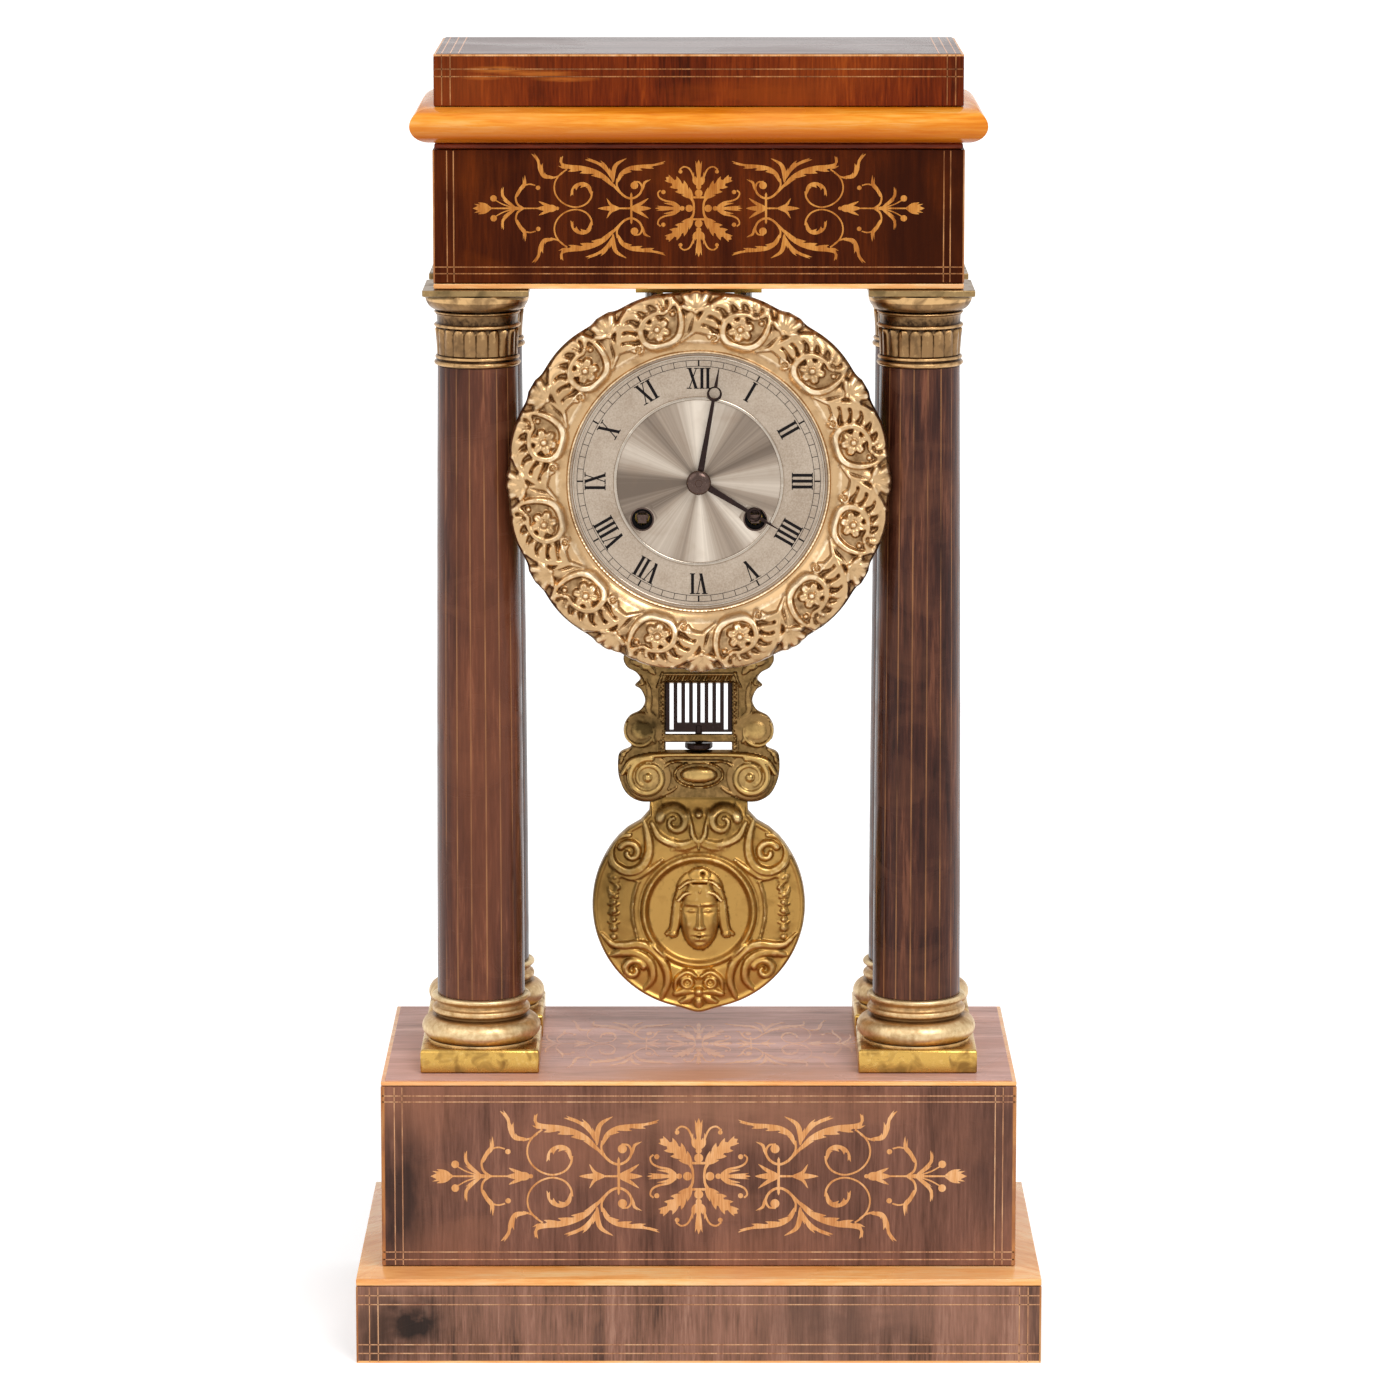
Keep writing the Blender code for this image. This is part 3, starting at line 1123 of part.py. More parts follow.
def add_pendulum():
    """Rod with its grid of bars, and the frame, rating nut and bob that it carries."""
    swing = make_group("pendulum_axis", 0, PENDULUM_Y, PIVOT_Z)
    add_pendulum_rod(swing)
    slide = make_group("bob_axis", 0, PENDULUM_Y, BOB_Z)
    add_pendulum_frame(slide)
    add_bob(slide)
    bar_bottom = BOB_Z + WINDOW_TOP_RISE - WINDOW_HEIGHT - BAR_HEIGHT
    nut = make_group("rating_nut_axis", 0, PENDULUM_Y, bar_bottom)
    bore = THREAD_RADIUS + PIVOT_PLAY
    top = bar_bottom - SEAT_GAP
    profile = [
        (bore, top),
        (NUT_RADIUS - 0.5, top),
        (NUT_RADIUS, top - 0.5),
        (NUT_RADIUS, top - NUT_HEIGHT + 0.5),
        (NUT_RADIUS - 0.5, top - NUT_HEIGHT),
        (bore, top - NUT_HEIGHT),
    ]
    shape = turned(profile, (0, PENDULUM_Y), segments=20, bored=True)
    add_piece("rating_nut", "dark_steel", shape, group=nut)


def add_pendulum_rod(group):
    """Hook on the suspension, round rod, grid of flat bars and threaded tail."""
    half = SUSPENSION_WIDTH / 2
    hook = [(-4.6, -11), (4.6, -11), (4.6, -4.6), (2.2, -4.6), (2.2, -7.7)]
    hook += [(-2.2, -7.7), (-2.2, -4.6), (-4.6, -4.6)]
    hook = plate([(x, PIVOT_Z + z) for x, z in hook], [], PENDULUM_Y - half, PENDULUM_Y + half)
    top = BOB_Z + GRID_TOP_RISE
    bottom = BOB_Z + GRID_BOTTOM_RISE
    window_top = BOB_Z + WINDOW_TOP_RISE
    inner_bottom = bottom + 3.6
    slots = []
    for number in range(GRID_BARS - 1):
        middle = (number - (GRID_BARS - 2) / 2) * GRID_PITCH
        outer = number in (0, GRID_BARS - 2)
        low = bottom + 0.8 if outer else inner_bottom
        x0 = middle - GRID_SLOT_WIDTH / 2
        x1 = middle + GRID_SLOT_WIDTH / 2
        slots.append([(x0, low), (x1, low), (x1, window_top + 1), (x0, window_top + 1)])
    side = GRID_WIDTH / 2
    outline = [(-side, bottom), (side, bottom), (side, top), (-side, top)]
    grid = plate(outline, slots, PENDULUM_Y - GRID_THICKNESS / 2, PENDULUM_Y + GRID_THICKNESS / 2)
    place = (0, PENDULUM_Y)
    rod = pin(PENDULUM_ROD_RADIUS, top - 1.5, PIVOT_Z - 10, place, "Z")
    tail = pin(THREAD_RADIUS, BOB_Z + THREAD_END_RISE, bottom + 2.5, place, "Z")
    add_piece("pendulum_rod", "dark_steel", grid, joined=[hook, rod, tail], group=group)


def add_pendulum_frame(group):
    """Gilt frame with its window, bar and slot, and the scrolled cap above the bob."""
    right = [(x, BOB_Z + rise) for x, rise in frame_outline()]
    outline = right + [(-x, z) for x, z in reversed(right)]
    half = WINDOW_WIDTH / 2
    window_top = BOB_Z + WINDOW_TOP_RISE
    window_bottom = window_top - WINDOW_HEIGHT
    bar_bottom = window_bottom - BAR_HEIGHT
    slot_bottom = bar_bottom - SLOT_HEIGHT
    window = [(-half, window_bottom), (half, window_bottom), (half, window_top), (-half, window_top)]
    slot = [(-half, slot_bottom), (half, slot_bottom), (half, bar_bottom), (-half, bar_bottom)]
    back = FRAME_FRONT + FRAME_THICKNESS
    body = plate(outline, [window, slot], FRAME_FRONT, back)
    lug_top = bar_bottom + 1.4
    lug = block((-4.0, 4.0), (back - 0.5, PENDULUM_Y + 3.0), (bar_bottom, lug_top))
    joined = [lug]
    volute_z = BOB_Z + VOLUTE_RISE
    for side in (-1, 1):
        profile = [
            (0, back - 0.3),
            (VOLUTE_RADIUS, back - 0.3),
            (VOLUTE_RADIUS, FRAME_FRONT - 1.6),
            (VOLUTE_RADIUS - 1.4, FRAME_FRONT - 2.2),
            (VOLUTE_RADIUS - 2.8, FRAME_FRONT - 1.2),
            (VOLUTE_RADIUS * 0.4, FRAME_FRONT - 1.4),
            (VOLUTE_RADIUS * 0.25, FRAME_FRONT - 2.8),
            (0, FRAME_FRONT - 3.0),
        ]
        joined.append(turned(profile, (side * VOLUTE_X, volute_z), "Y", 16))
    cap_top = slot_bottom - 0.6
    right = [(CAP_HALF_WIDTH - 14, cap_top - 4.6), (CAP_HALF_WIDTH - 2, cap_top - 3.2)]
    right.append((CAP_HALF_WIDTH, cap_top))
    cap = right + [(-x, z) for x, z in reversed(right)]
    joined.append(plate(cap, [], FRAME_FRONT - 1.8, back - 0.2))
    joined.append(dome((0, volute_z), OVAL_BOSS, FRAME_FRONT - 0.4, 1.6, back - 0.4))
    hole = pin(THREAD_RADIUS + PIVOT_PLAY, bar_bottom - 1, lug_top + 1, (0, PENDULUM_Y), "Z")
    add_piece("pendulum_frame", "gilt_brass", body, joined=joined, cut=[hole], group=group)


def bob_height(radius, degrees):
    """Relief of the bob's front in front of its rim, with the medallion and four scrolls."""
    swell = 1.6 * (1 - (radius / BOB_RADIUS) ** 2)
    rim = 0.7 * math.exp(-(((radius - MEDALLION_RADIUS) / 1.6) ** 2))
    scroll_angle = abs(degrees % 90 - 45) / 16
    scroll = 1.1 * max(1 - scroll_angle**2 - ((radius - 32.5) / 7) ** 2, 0.0)
    return swell + rim + scroll


def add_bob(group):
    """Pressed gilt bob: an embossed disc with a medallion, a mask and a neck behind the frame."""
    centre = (0.0, BOB_Z)
    front = PENDULUM_Y - BOB_THICKNESS / 2
    back = PENDULUM_Y + BOB_THICKNESS / 2
    segments = 40
    radii = (BOB_RADIUS, 36.5, 30.0, MEDALLION_RADIUS + 1.8, MEDALLION_RADIUS, MEDALLION_RADIUS - 2.0)
    points = [(centre[0], back, centre[1])]
    rings = [[0]]
    for radius in (BOB_RADIUS - 3.0, BOB_RADIUS):
        y = back if radius < BOB_RADIUS else back - 2.0
        rings.append(list(range(len(points), len(points) + segments)))
        points += [(x, y, z) for x, z in circle(centre, radius, segments)]
    for radius in radii:
        rings.append(list(range(len(points), len(points) + segments)))
        for i in range(segments):
            degrees = 360 * i / segments
            x, z = polar(centre, radius, degrees)
            points.append((x, front + 1.2 - bob_height(radius, degrees), z))
    rings.append([len(points)])
    points.append((centre[0], front + 1.2 - bob_height(0, 0), centre[1]))
    faces = []
    for first, second in zip(rings, rings[1:]):
        faces += ring_faces(first, second)
    frame_back = FRAME_FRONT + FRAME_THICKNESS + SEAT_GAP
    neck_top = BOB_Z + VOLUTE_RISE + 2
    neck_low = centre[1] + BOB_RADIUS - 8
    neck = block((-19.0, 19.0), (frame_back, frame_back + 2.4), (neck_low, neck_top))
    mask = dome((centre[0], centre[1] + 0.5), MASK, front - 0.2, 3.6, front + 3)
    add_piece("pendulum_bob", "gilt_brass", (points, faces), joined=[neck, mask], group=group)


def add_strike_work():
    """Strike wheel with the count wheel on its end, the bell on its post and the hammer."""
    group = make_group("strike_wheel_axis", STRIKE[0], 0, STRIKE[1])
    layer = widened(GREAT_LAYER)
    pinion = gear(SECOND_PINION_LEAVES, SECOND_PINION_RADIUS, STRIKE, STRIKE_BARREL, "gap", layer)
    wheel = plate(circle(STRIKE, STRIKE_WHEEL_RADIUS, 40), [], *SECOND_LAYER)
    spindle = arbor(STRIKE, back=BEHIND_BACK + 1.8)
    add_piece("strike_wheel", "movement_brass", wheel, joined=[spindle, pinion], group=group)
    outline = []
    notches = 0
    for hour in range(1, 13):
        notches += hour
        start = 360 * (notches - hour) / 78
        end = 360 * notches / 78
        floor = COUNT_WHEEL_RADIUS - 1.6
        outline += [polar(STRIKE, floor, start), polar(STRIKE, floor, start + 2.2)]
        span = end - start - 2.4
        steps = max(int(span / 9), 1)
        for k in range(steps + 1):
            outline.append(polar(STRIKE, COUNT_WHEEL_RADIUS, start + 2.3 + span * k / steps))
    bore = circle(STRIKE, ARBOR_RADIUS * PIVOT_SHARE + PIVOT_PLAY)
    count_wheel = plate(outline, [bore], BEHIND_BACK + 0.2, BEHIND_BACK + 1.4)
    add_piece("count_wheel", "movement_brass", count_wheel, group=group)

    bell = (BELL_X, DIAL_Z - BELL_DROP)
    crown = BELL_FRONT + BELL_DEPTH
    outside = []
    inside = []
    for i in range(6):
        angle = math.pi / 2 * i / 5
        depth = BELL_DEPTH * math.sin(angle)
        if i < 5:
            outside.append((BELL_RADIUS * math.cos(angle) ** 0.7, BELL_FRONT + depth))
            inner_depth = (BELL_DEPTH - BELL_WALL) * math.sin(angle)
            inside.append(((BELL_RADIUS - BELL_WALL) * math.cos(angle) ** 0.7, BELL_FRONT + inner_depth))
    hole = POST_RADIUS + SEAT_GAP
    profile = [*outside, (hole, crown), (hole, crown - BELL_WALL), *reversed(inside)]
    add_piece("bell", "bell_metal", turned(profile, bell, "Y", 24, bored=True))
    nut_front = crown + SEAT_GAP
    seat = crown - BELL_WALL - SEAT_GAP
    profile = [
        (0, BEHIND_BACK),
        (3.4, BEHIND_BACK),
        (3.4, BEHIND_BACK + 2.2),
        (POST_RADIUS, BEHIND_BACK + 2.2),
        (POST_RADIUS, seat - 2.0),
        (3.0, seat - 2.0),
        (3.0, seat),
        (POST_RADIUS, seat),
        (POST_RADIUS, nut_front),
        (3.0, nut_front),
        (3.0, nut_front + 2.4),
        (0, nut_front + 2.4),
    ]
    add_piece("bell_stand", "steel", turned(profile, bell, "Y", 12))
    add_hammer(bell)


def add_hammer(bell):
    """Hammer on its stud, with the head just clear of the bell's rim."""
    pivot = (HAMMER_PIVOT[0], DIAL_Z + HAMMER_PIVOT[1])
    group = make_group("hammer_axis", pivot[0], 0, pivot[1])
    head = (bell[0] + BELL_RADIUS + HAMMER_LIFT_GAP + HAMMER_HEAD_RADIUS, bell[1])
    arm_layer = (BELL_FRONT - 3.4, BELL_FRONT - 1.6)
    hub_end = BELL_FRONT
    bore = STUD_RADIUS + PIVOT_PLAY
    hub = pipe(bore, 2.8, BEHIND_BACK, hub_end, pivot, 16)
    arm = plate(bar(pivot, head, 3.0, 2.2), [], *arm_layer)
    striker = pin(HAMMER_HEAD_RADIUS, BELL_FRONT - 4.2, BELL_FRONT + 4.0, head, segments=16)
    through = pin(bore, BEHIND_BACK - 1, hub_end + 1, pivot, segments=16)
    add_piece("hammer", "steel", hub, joined=[arm, striker], cut=[through], group=group)


clear_scene()
MATERIALS = {name: make_material(name, *values) for name, values in FINISHES.items()}
add_base()
add_columns()
add_entablature()
add_hanger()
add_bezel()
add_drum()
add_plates()
add_barrels()
add_train()
add_hands_and_motion_work()
add_anchor()
add_suspension()
add_pendulum()
add_strike_work()
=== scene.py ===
"""Looks of the portico mantel clock: surfaces, ornament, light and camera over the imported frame.

Sizes are in millimetres unless a name says metres. The front faces -Y and +X is to its right.
"""

import json
import logging
import math
from collections.abc import Callable, Sequence
from dataclasses import dataclass, field
from enum import Enum

import bpy
import numpy as np
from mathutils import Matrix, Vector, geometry

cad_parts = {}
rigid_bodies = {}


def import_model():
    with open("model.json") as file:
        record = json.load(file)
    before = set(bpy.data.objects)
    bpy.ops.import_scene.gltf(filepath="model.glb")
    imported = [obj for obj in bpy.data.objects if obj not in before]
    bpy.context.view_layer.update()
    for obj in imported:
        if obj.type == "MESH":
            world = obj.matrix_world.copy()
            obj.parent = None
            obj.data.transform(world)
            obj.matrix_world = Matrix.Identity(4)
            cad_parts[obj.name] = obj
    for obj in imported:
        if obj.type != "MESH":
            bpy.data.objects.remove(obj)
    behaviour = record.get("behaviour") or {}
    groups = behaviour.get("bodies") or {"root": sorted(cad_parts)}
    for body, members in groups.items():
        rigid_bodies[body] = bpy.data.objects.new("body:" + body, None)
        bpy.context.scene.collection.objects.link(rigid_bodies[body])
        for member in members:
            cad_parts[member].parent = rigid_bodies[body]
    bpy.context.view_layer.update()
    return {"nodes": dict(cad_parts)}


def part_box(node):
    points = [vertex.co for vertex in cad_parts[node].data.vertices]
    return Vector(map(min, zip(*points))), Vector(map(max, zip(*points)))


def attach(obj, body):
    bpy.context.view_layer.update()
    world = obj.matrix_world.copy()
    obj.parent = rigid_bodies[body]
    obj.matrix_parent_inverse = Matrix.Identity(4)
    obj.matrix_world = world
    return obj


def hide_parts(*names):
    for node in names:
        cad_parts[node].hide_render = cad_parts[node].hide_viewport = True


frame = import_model()

MM = 0.001
SEAM = 0.0005
CASE = "case"
SIDES = (-1, 1)
ROUND = ((-1, -1), (1, -1), (1, 1), (-1, 1), (-1, -1))
log = logging.getLogger("portico_clock")

Tree, Socket, Node, Piece = bpy.types.NodeTree, bpy.types.NodeSocket, bpy.types.Node, bpy.types.Object
Grid = np.ndarray
Point = tuple[float, float]
Place = tuple[float, float, float]
Path = Sequence[Point]
Heights = Callable[[Grid, Grid], Grid]
Band = tuple[Path | float, ...]


def linear(hex_colour: str) -> tuple[float, float, float, float]:
    """Turn an sRGB colour into linear values.

    Args:
        hex_colour: Colour as # and six hex digits.

    Returns:
        Linear red, green, blue and an alpha of 1.
    """
    values = [int(hex_colour[i : i + 2], 16) / 255 for i in (1, 3, 5)]
    parts = [v / 12.92 if v <= 0.04045 else ((v + 0.055) / 1.055) ** 2.4 for v in values]
    return (*parts, 1.0)


def add_node(tree: Tree, kind: str, inputs: dict | None = None, **settings) -> Node:
    """Add a node with its settings, values and links.

    Args:
        tree: Tree that takes the node.
        kind: Type of the node, without ShaderNode in front.
        inputs: Value or source socket for each input name or number.
        settings: Properties of the node.

    Returns:
        The new node.
    """
    node = tree.nodes.new(f"ShaderNode{kind}")
    for name, value in settings.items():
        setattr(node, name, value)
    for key, value in (inputs or {}).items():
        if isinstance(value, Socket):
            tree.links.new(value, node.inputs[key])
        else:
            node.inputs[key].default_value = value
    return node


def ramp(tree: Tree, source: Socket, stops: Sequence[tuple[float, str]]) -> Socket:
    """Colour a pattern by stops.

    Args:
        tree: Tree that takes the node.
        source: Pattern from 0 to 1.
        stops: Place and colour of each stop, lowest first.

    Returns:
        The colour socket.
    """
    node = add_node(tree, "ValToRGB", {"Fac": source})
    elements = node.color_ramp.elements
    while len(elements) < len(stops):
        elements.new(0.5)
    for element, (place, colour) in zip(elements, stops):
        element.position = place
        element.color = linear(colour)
    return node.outputs["Color"]


def blend(tree: Tree, share, under, over, mode: str = "MIX") -> Socket:
    """Lay one colour over another."""
    values = {0: share, 6: under, 7: over}
    return add_node(tree, "Mix", values, data_type="RGBA", blend_type=mode).outputs[2]


def pattern(
    tree: Tree, size: Sequence[float], detail: float = 3.0, warp: float = 0.0, low: float = 0.0, high: float = 1.0
) -> Socket:
    """Noise on the object's own coordinates.

    Args:
        tree: Tree that takes the nodes.
        size: Length of one grain of the pattern along X, Y and Z.
        detail: Octaves of finer noise.
        warp: How far the pattern is pulled about.
        low: Noise value that becomes 0.
        high: Noise value that becomes 1.

    Returns:
        The pattern from 0 to 1.
    """
    place = add_node(tree, "TexCoord").outputs["Object"]
    scale = tuple(1 / (length * MM) for length in size)
    place = add_node(tree, "Mapping", {"Vector": place, "Scale": scale}).outputs["Vector"]
    values = {"Vector": place, "Scale": 1.0, "Detail": detail, "Distortion": warp}
    noise = add_node(tree, "TexNoise", values).outputs["Fac"]
    spread = {"Value": noise, "From Min": low, "From Max": high}
    return add_node(tree, "MapRange", spread).outputs["Result"]


def turn_marks(tree: Tree) -> tuple[Socket, Socket]:
    """Read how far round its axis each point of a turned piece lies."""
    across, along = (add_node(tree, "Attribute", attribute_name=name) for name in ("turn_cos", "turn_sin"))
    return across.outputs["Fac"], along.outputs["Fac"]


class Grain(Enum):
    """Way that the grain of a wood runs."""

    UPRIGHT = (1.0, 1.0, 14.0)
    ACROSS = (14.0, 1.0, 1.0)


@dataclass(frozen=True)
class Spot:
    """Soft-edged patch of another colour at one place."""

    centre: Place
    reach: Place
    colour: str
    share: float

    def lay(self, tree: Tree, under: Socket) -> Socket:
        """Lay the patch over a colour.

        Args:
            tree: Tree that takes the nodes.
            under: Colour below it.

        Returns:
            The colour socket.
        """
        scale = tuple(1 / (length * MM) for length in self.reach)
        shift = tuple(-place / length for place, length in zip(self.centre, self.reach))
        place = add_node(tree, "TexCoord").outputs["Object"]
        place = add_node(tree, "Mapping", {"Vector": place, "Scale": scale, "Location": shift}).outputs["Vector"]
        near = add_node(tree, "TexGradient", {"Vector": place}, gradient_type="SPHERICAL").outputs["Fac"]
        broken = pattern(tree, [length * 0.45 for length in self.reach], 4.0, 0.2, 0.1, 0.65)
        near = add_node(tree, "Math", {0: near, 1: broken}, operation="MULTIPLY").outputs[0]
        edge = {"Value": near, "From Min": 0.0, "From Max": 0.55, "To Max": self.share}
        near = add_node(tree, "MapRange", edge).outputs["Result"]
        return blend(tree, near, under, linear(self.colour))


@dataclass(frozen=True)
class Finish:
    """Base of the finishes, which makes its material once."""

    name: str
    spots: tuple[Spot, ...] = field(default=(), kw_only=True)

    def material(self) -> bpy.types.Material:
        """Hand out the finish's material, made at the first call.

        Returns:
            The material.
        """
        found = bpy.data.materials.get(self.name)
        if found:
            return found
        made = bpy.data.materials.new(self.name)
        made.use_nodes = True
        self.paint(made.node_tree, made.node_tree.nodes["Principled BSDF"])
        return made

    def paint(self, tree: Tree, shader: Node) -> None:
        """Lay the finish's nodes."""

    def dress(
        self, tree: Tree, shader: Node, colour: Socket, patches: Socket, share: float, over: str, dull: Point
    ) -> None:
        """Stain a colour in patches, lay the spots on it and dull it there.

        Args:
            tree: The material's tree.
            shader: Its shader node.
            colour: The colour so far.
            patches: Where it is stained, from 0 to 1.
            share: Greatest share of the stain.
            over: Colour of the stain.
            dull: Roughness outside the patches and in them.
        """
        stain = add_node(tree, "Math", {0: patches, 1: share}, operation="MULTIPLY").outputs[0]
        colour = blend(tree, stain, colour, linear(over))
        for spot in self.spots:
            colour = spot.lay(tree, colour)
        tree.links.new(colour, shader.inputs["Base Color"])
        rough = {"Value": patches, "To Min": dull[0], "To Max": dull[1]}
        tree.links.new(add_node(tree, "MapRange", rough).outputs["Result"], shader.inputs["Roughness"])

    def apply(self, *pieces: Piece) -> None:
        """Give pieces this finish.

        Args:
            pieces: The pieces.
        """
        for piece in pieces:
            piece.data.materials.clear()
            piece.data.materials.append(self.material())


@dataclass(frozen=True)
class Wood(Finish):
    """Veneer or solid wood under old French polish: fine streaks in broad bands, worn clouds, a low sheen."""

    stops: tuple[tuple[float, str], ...] = ()
    grain: Grain = Grain.UPRIGHT
    streak: float = 1.0
    band: float = 9.0
    worn: str = "#7A5C50"
    worn_share: float = 0.4
    cloud: float = 70.0
    roughness: tuple[float, float] = (0.24, 0.4)
    sheen: float = 0.14
    coat: float = 0.04

    def paint(self, tree: Tree, shader: Node) -> None:
        """Bands, streaks, fine pores and worn clouds.

        Args:
            tree: The material's tree.
            shader: Its shader node.
        """
        run = self.grain.value
        bands = pattern(tree, [self.band * r for r in run], 3.0, 0.5, 0.3, 0.7)
        streaks = pattern(tree, [self.streak * r for r in run], 4.0, 0.3, 0.28, 0.72)
        mixed = {"Value": blend(tree, 0.45, bands, streaks), "From Min": 0.12, "From Max": 0.88}
        figure = add_node(tree, "MapRange", mixed).outputs["Result"]
        colour = ramp(tree, figure, self.stops)
        # Real pores are about 0.1 mm wide; 0.3 mm is the finest that shows in the render.
        pores = pattern(tree, [0.3 * r for r in run], 2.0, 0.0, 0.56, 0.7)
        pores = add_node(tree, "Math", {0: pores, 1: 0.35}, operation="MULTIPLY").outputs[0]
        colour = blend(tree, pores, colour, linear(self.stops[0][1]))
        clouds = pattern(tree, [self.cloud, self.cloud, self.cloud * 0.6], 5.0, 0.8, 0.46, 0.72)
        self.dress(tree, shader, colour, clouds, self.worn_share, self.worn, self.roughness)
        bump = add_node(tree, "Bump", {"Height": pores, "Strength": 0.12, "Distance": 0.0002}, invert=True)
        tree.links.new(bump.outputs["Normal"], shader.inputs["Normal"])
        shader.inputs["Specular IOR Level"].default_value = self.sheen
        shader.inputs["Coat Weight"].default_value = self.coat
        shader.inputs["Coat Roughness"].default_value = 0.12


@dataclass(frozen=True)
class LinedRosewood(Wood):
    """Dark column veneer with thin upright light lines let in all round the shaft."""

    lines: int = 18
    line: str = "#A8744A"

    def paint(self, tree: Tree, shader: Node) -> None:
        """Veneer with the let-in lines over it.

        Args:
            tree: The material's tree.
            shader: Its shader node.
        """
        super().paint(tree, shader)
        across, along = turn_marks(tree)
        turn = add_node(tree, "Math", {0: along, 1: across}, operation="ARCTAN2").outputs[0]
        turn = add_node(tree, "Math", {0: turn, 1: self.lines / (2 * math.pi)}, operation="MULTIPLY").outputs[0]
        share = add_node(tree, "Math", {0: turn, 1: 0.5}, operation="PINGPONG").outputs[0]
        edge = {"Value": share, "From Min": 0.06, "From Max": 0.025, "To Max": 0.75}
        edge = add_node(tree, "MapRange", edge).outputs["Result"]
        fade = pattern(tree, (5.0, 5.0, 30.0), 3.0, 0.0, 0.3, 0.6)
        edge = add_node(tree, "Math", {0: edge, 1: fade}, operation="MULTIPLY").outputs[0]
        under = shader.inputs["Base Color"].links[0].from_socket
        tree.links.new(blend(tree, edge, under, linear(self.line)), shader.inputs["Base Color"])


@dataclass(frozen=True)
class Metal(Finish):
    """Cast, turned or plated metal. Where it is shaded by relief, its recesses take patina and painted shade and its
    high places rubbed metal with a painted highlight.
    """

    body: str = "#A8823F"
    # Colour of the high places: rubbed metal, and a painted highlight where the piece is shaded by relief.
    bright: str = "#E0C080"
    # Colour of the hollows: patina, and painted shade where the piece is shaded by relief.
    recess_patina_and_shade: str = "#4A3418"
    tarnish: str = "#6A5A30"
    tarnish_share: float = 0.35
    patch: float = 9.0
    # Whether the relief value paints shade into the hollows and highlights onto the high places.
    shaded_by_relief: bool = False
    roughness: tuple[float, float] = (0.24, 0.5)
    metallic: float = 1.0
    grit: float = 0.5
    sheen: float = 0.5

    def paint(self, tree: Tree, shader: Node) -> None:
        """Recess colour of patina and painted shade, body colour, bright colour of rubbed metal and painted highlight,
        tarnish patches and a fine skin.

        Args:
            tree: The material's tree.
            shader: Its shader node.
        """
        skin = pattern(tree, (self.patch * 0.25,) * 3, 4.0, 0.3, 0.3, 0.7)
        # Painted shade and highlight: the relief value darkens the hollows and lightens the high places.
        if self.shaded_by_relief:
            relief = add_node(tree, "Attribute", attribute_name="relief").outputs["Fac"]
            jitter = {"Value": skin, "To Min": -0.12, "To Max": 0.12}
            jitter = add_node(tree, "MapRange", jitter).outputs["Result"]
            level = add_node(tree, "Math", {0: relief, 1: jitter}, operation="ADD").outputs[0]
        else:
            level = add_node(tree, "MapRange", {"Value": skin, "To Min": 0.38, "To Max": 0.72}).outputs["Result"]
        stops = ((0.08, self.recess_patina_and_shade), (0.42, self.body), (0.62, self.body), (0.95, self.bright))
        colour = ramp(tree, level, stops)
        patches = pattern(tree, (self.patch,) * 3, 4.0, 0.7, 0.5, 0.68)
        self.dress(tree, shader, colour, patches, self.tarnish_share, self.tarnish, self.roughness)
        # Casting grit of 0.1 mm would not show, so it is drawn at half a millimetre.
        fine = pattern(tree, (self.grit,) * 3, 2.0)
        bump = add_node(tree, "Bump", {"Height": fine, "Strength": 0.18, "Distance": 0.0001})
        tree.links.new(bump.outputs["Normal"], shader.inputs["Normal"])
        shader.inputs["Metallic"].default_value = self.metallic
        shader.inputs["Specular IOR Level"].default_value = self.sheen


@dataclass(frozen=True)
class SilveredBrass(Finish):
    """Silvered dial brass, pale grey-beige with warm stains; its middle is brushed in rays from the centre, with their
    sheen painted in.
    """

    light: str = "#BEAE9C"
    body: str = "#B1A08E"
    dark: str = "#A4927F"
    stain: str = "#8E7660"
    stained: float = 0.22
    rays: bool = False
    metallic: float = 0.3
    roughness: Point = (0.4, 0.58)

    def paint(self, tree: Tree, shader: Node) -> None:
        """Broad sectors of painted sheen and fine brushed rays that read the turn round the dial, lighter at the top
        and bottom as painted sheen, or a satin cloud; soft stains.

        Args:
            tree: The material's tree.
            shader: Its shader node.
        """
        if self.rays:
            across, along = turn_marks(tree)
            circle = add_node(tree, "CombineXYZ", {"X": across, "Y": along}).outputs[0]
            # Painted sheen: broad light and dark sectors round the brushed middle, and fine rays for the brushing.
            values = (
                {"Vector": circle, "Scale": scale, "Detail": detail} for scale, detail in ((1.7, 1.0), (26.0, 3.0))
            )
            broad, fine = (add_node(tree, "TexNoise", value).outputs["Fac"] for value in values)
            # Painted sheen: the brushed middle is lighter towards the top and bottom.
            upright = add_node(tree, "Math", {0: along, 1: along}, operation="MULTIPLY").outputs[0]
            tone = blend(tree, 0.16, blend(tree, 0.16, broad, fine), upright)
        else:
            tone = blend(tree, 0.5, pattern(tree, (16.0, 16.0, 16.0), 4.0, 0.5), pattern(tree, (0.6, 0.6, 0.6), 2.0))
        colour = ramp(tree, tone, ((0.36, self.dark), (0.47, self.body), (0.62, self.light)))
        stains = pattern(tree, (9.0, 9.0, 9.0), 5.0, 0.5, 0.52, 0.76)
        self.dress(tree, shader, colour, stains, self.stained, self.stain, self.roughness)
        shader.inputs["Metallic"].default_value = self.metallic
        shader.inputs["Specular IOR Level"].default_value = 0.3


# Rosewood sawn veneer, French polished: fine dark streaks over a pinkish brown, dark where damp reached it.
ROSEWOOD = Wood(
    "rosewood_veneer_polished", ((0.05, "#553528"), (0.35, "#6C4637"), (0.65, "#7B5141"), (0.95, "#8C5F4C")),
    worn="#A06A50", worn_share=0.5,
    spots=(
        Spot((-116, -66.5, 62), (17, 20, 42), "#231613", 0.8), Spot((114, -66.5, 84), (14, 20, 34), "#3A2520", 0.6),
        Spot((10, -66.5, 96), (70, 20, 16), "#A8755A", 0.5),
    ),
)
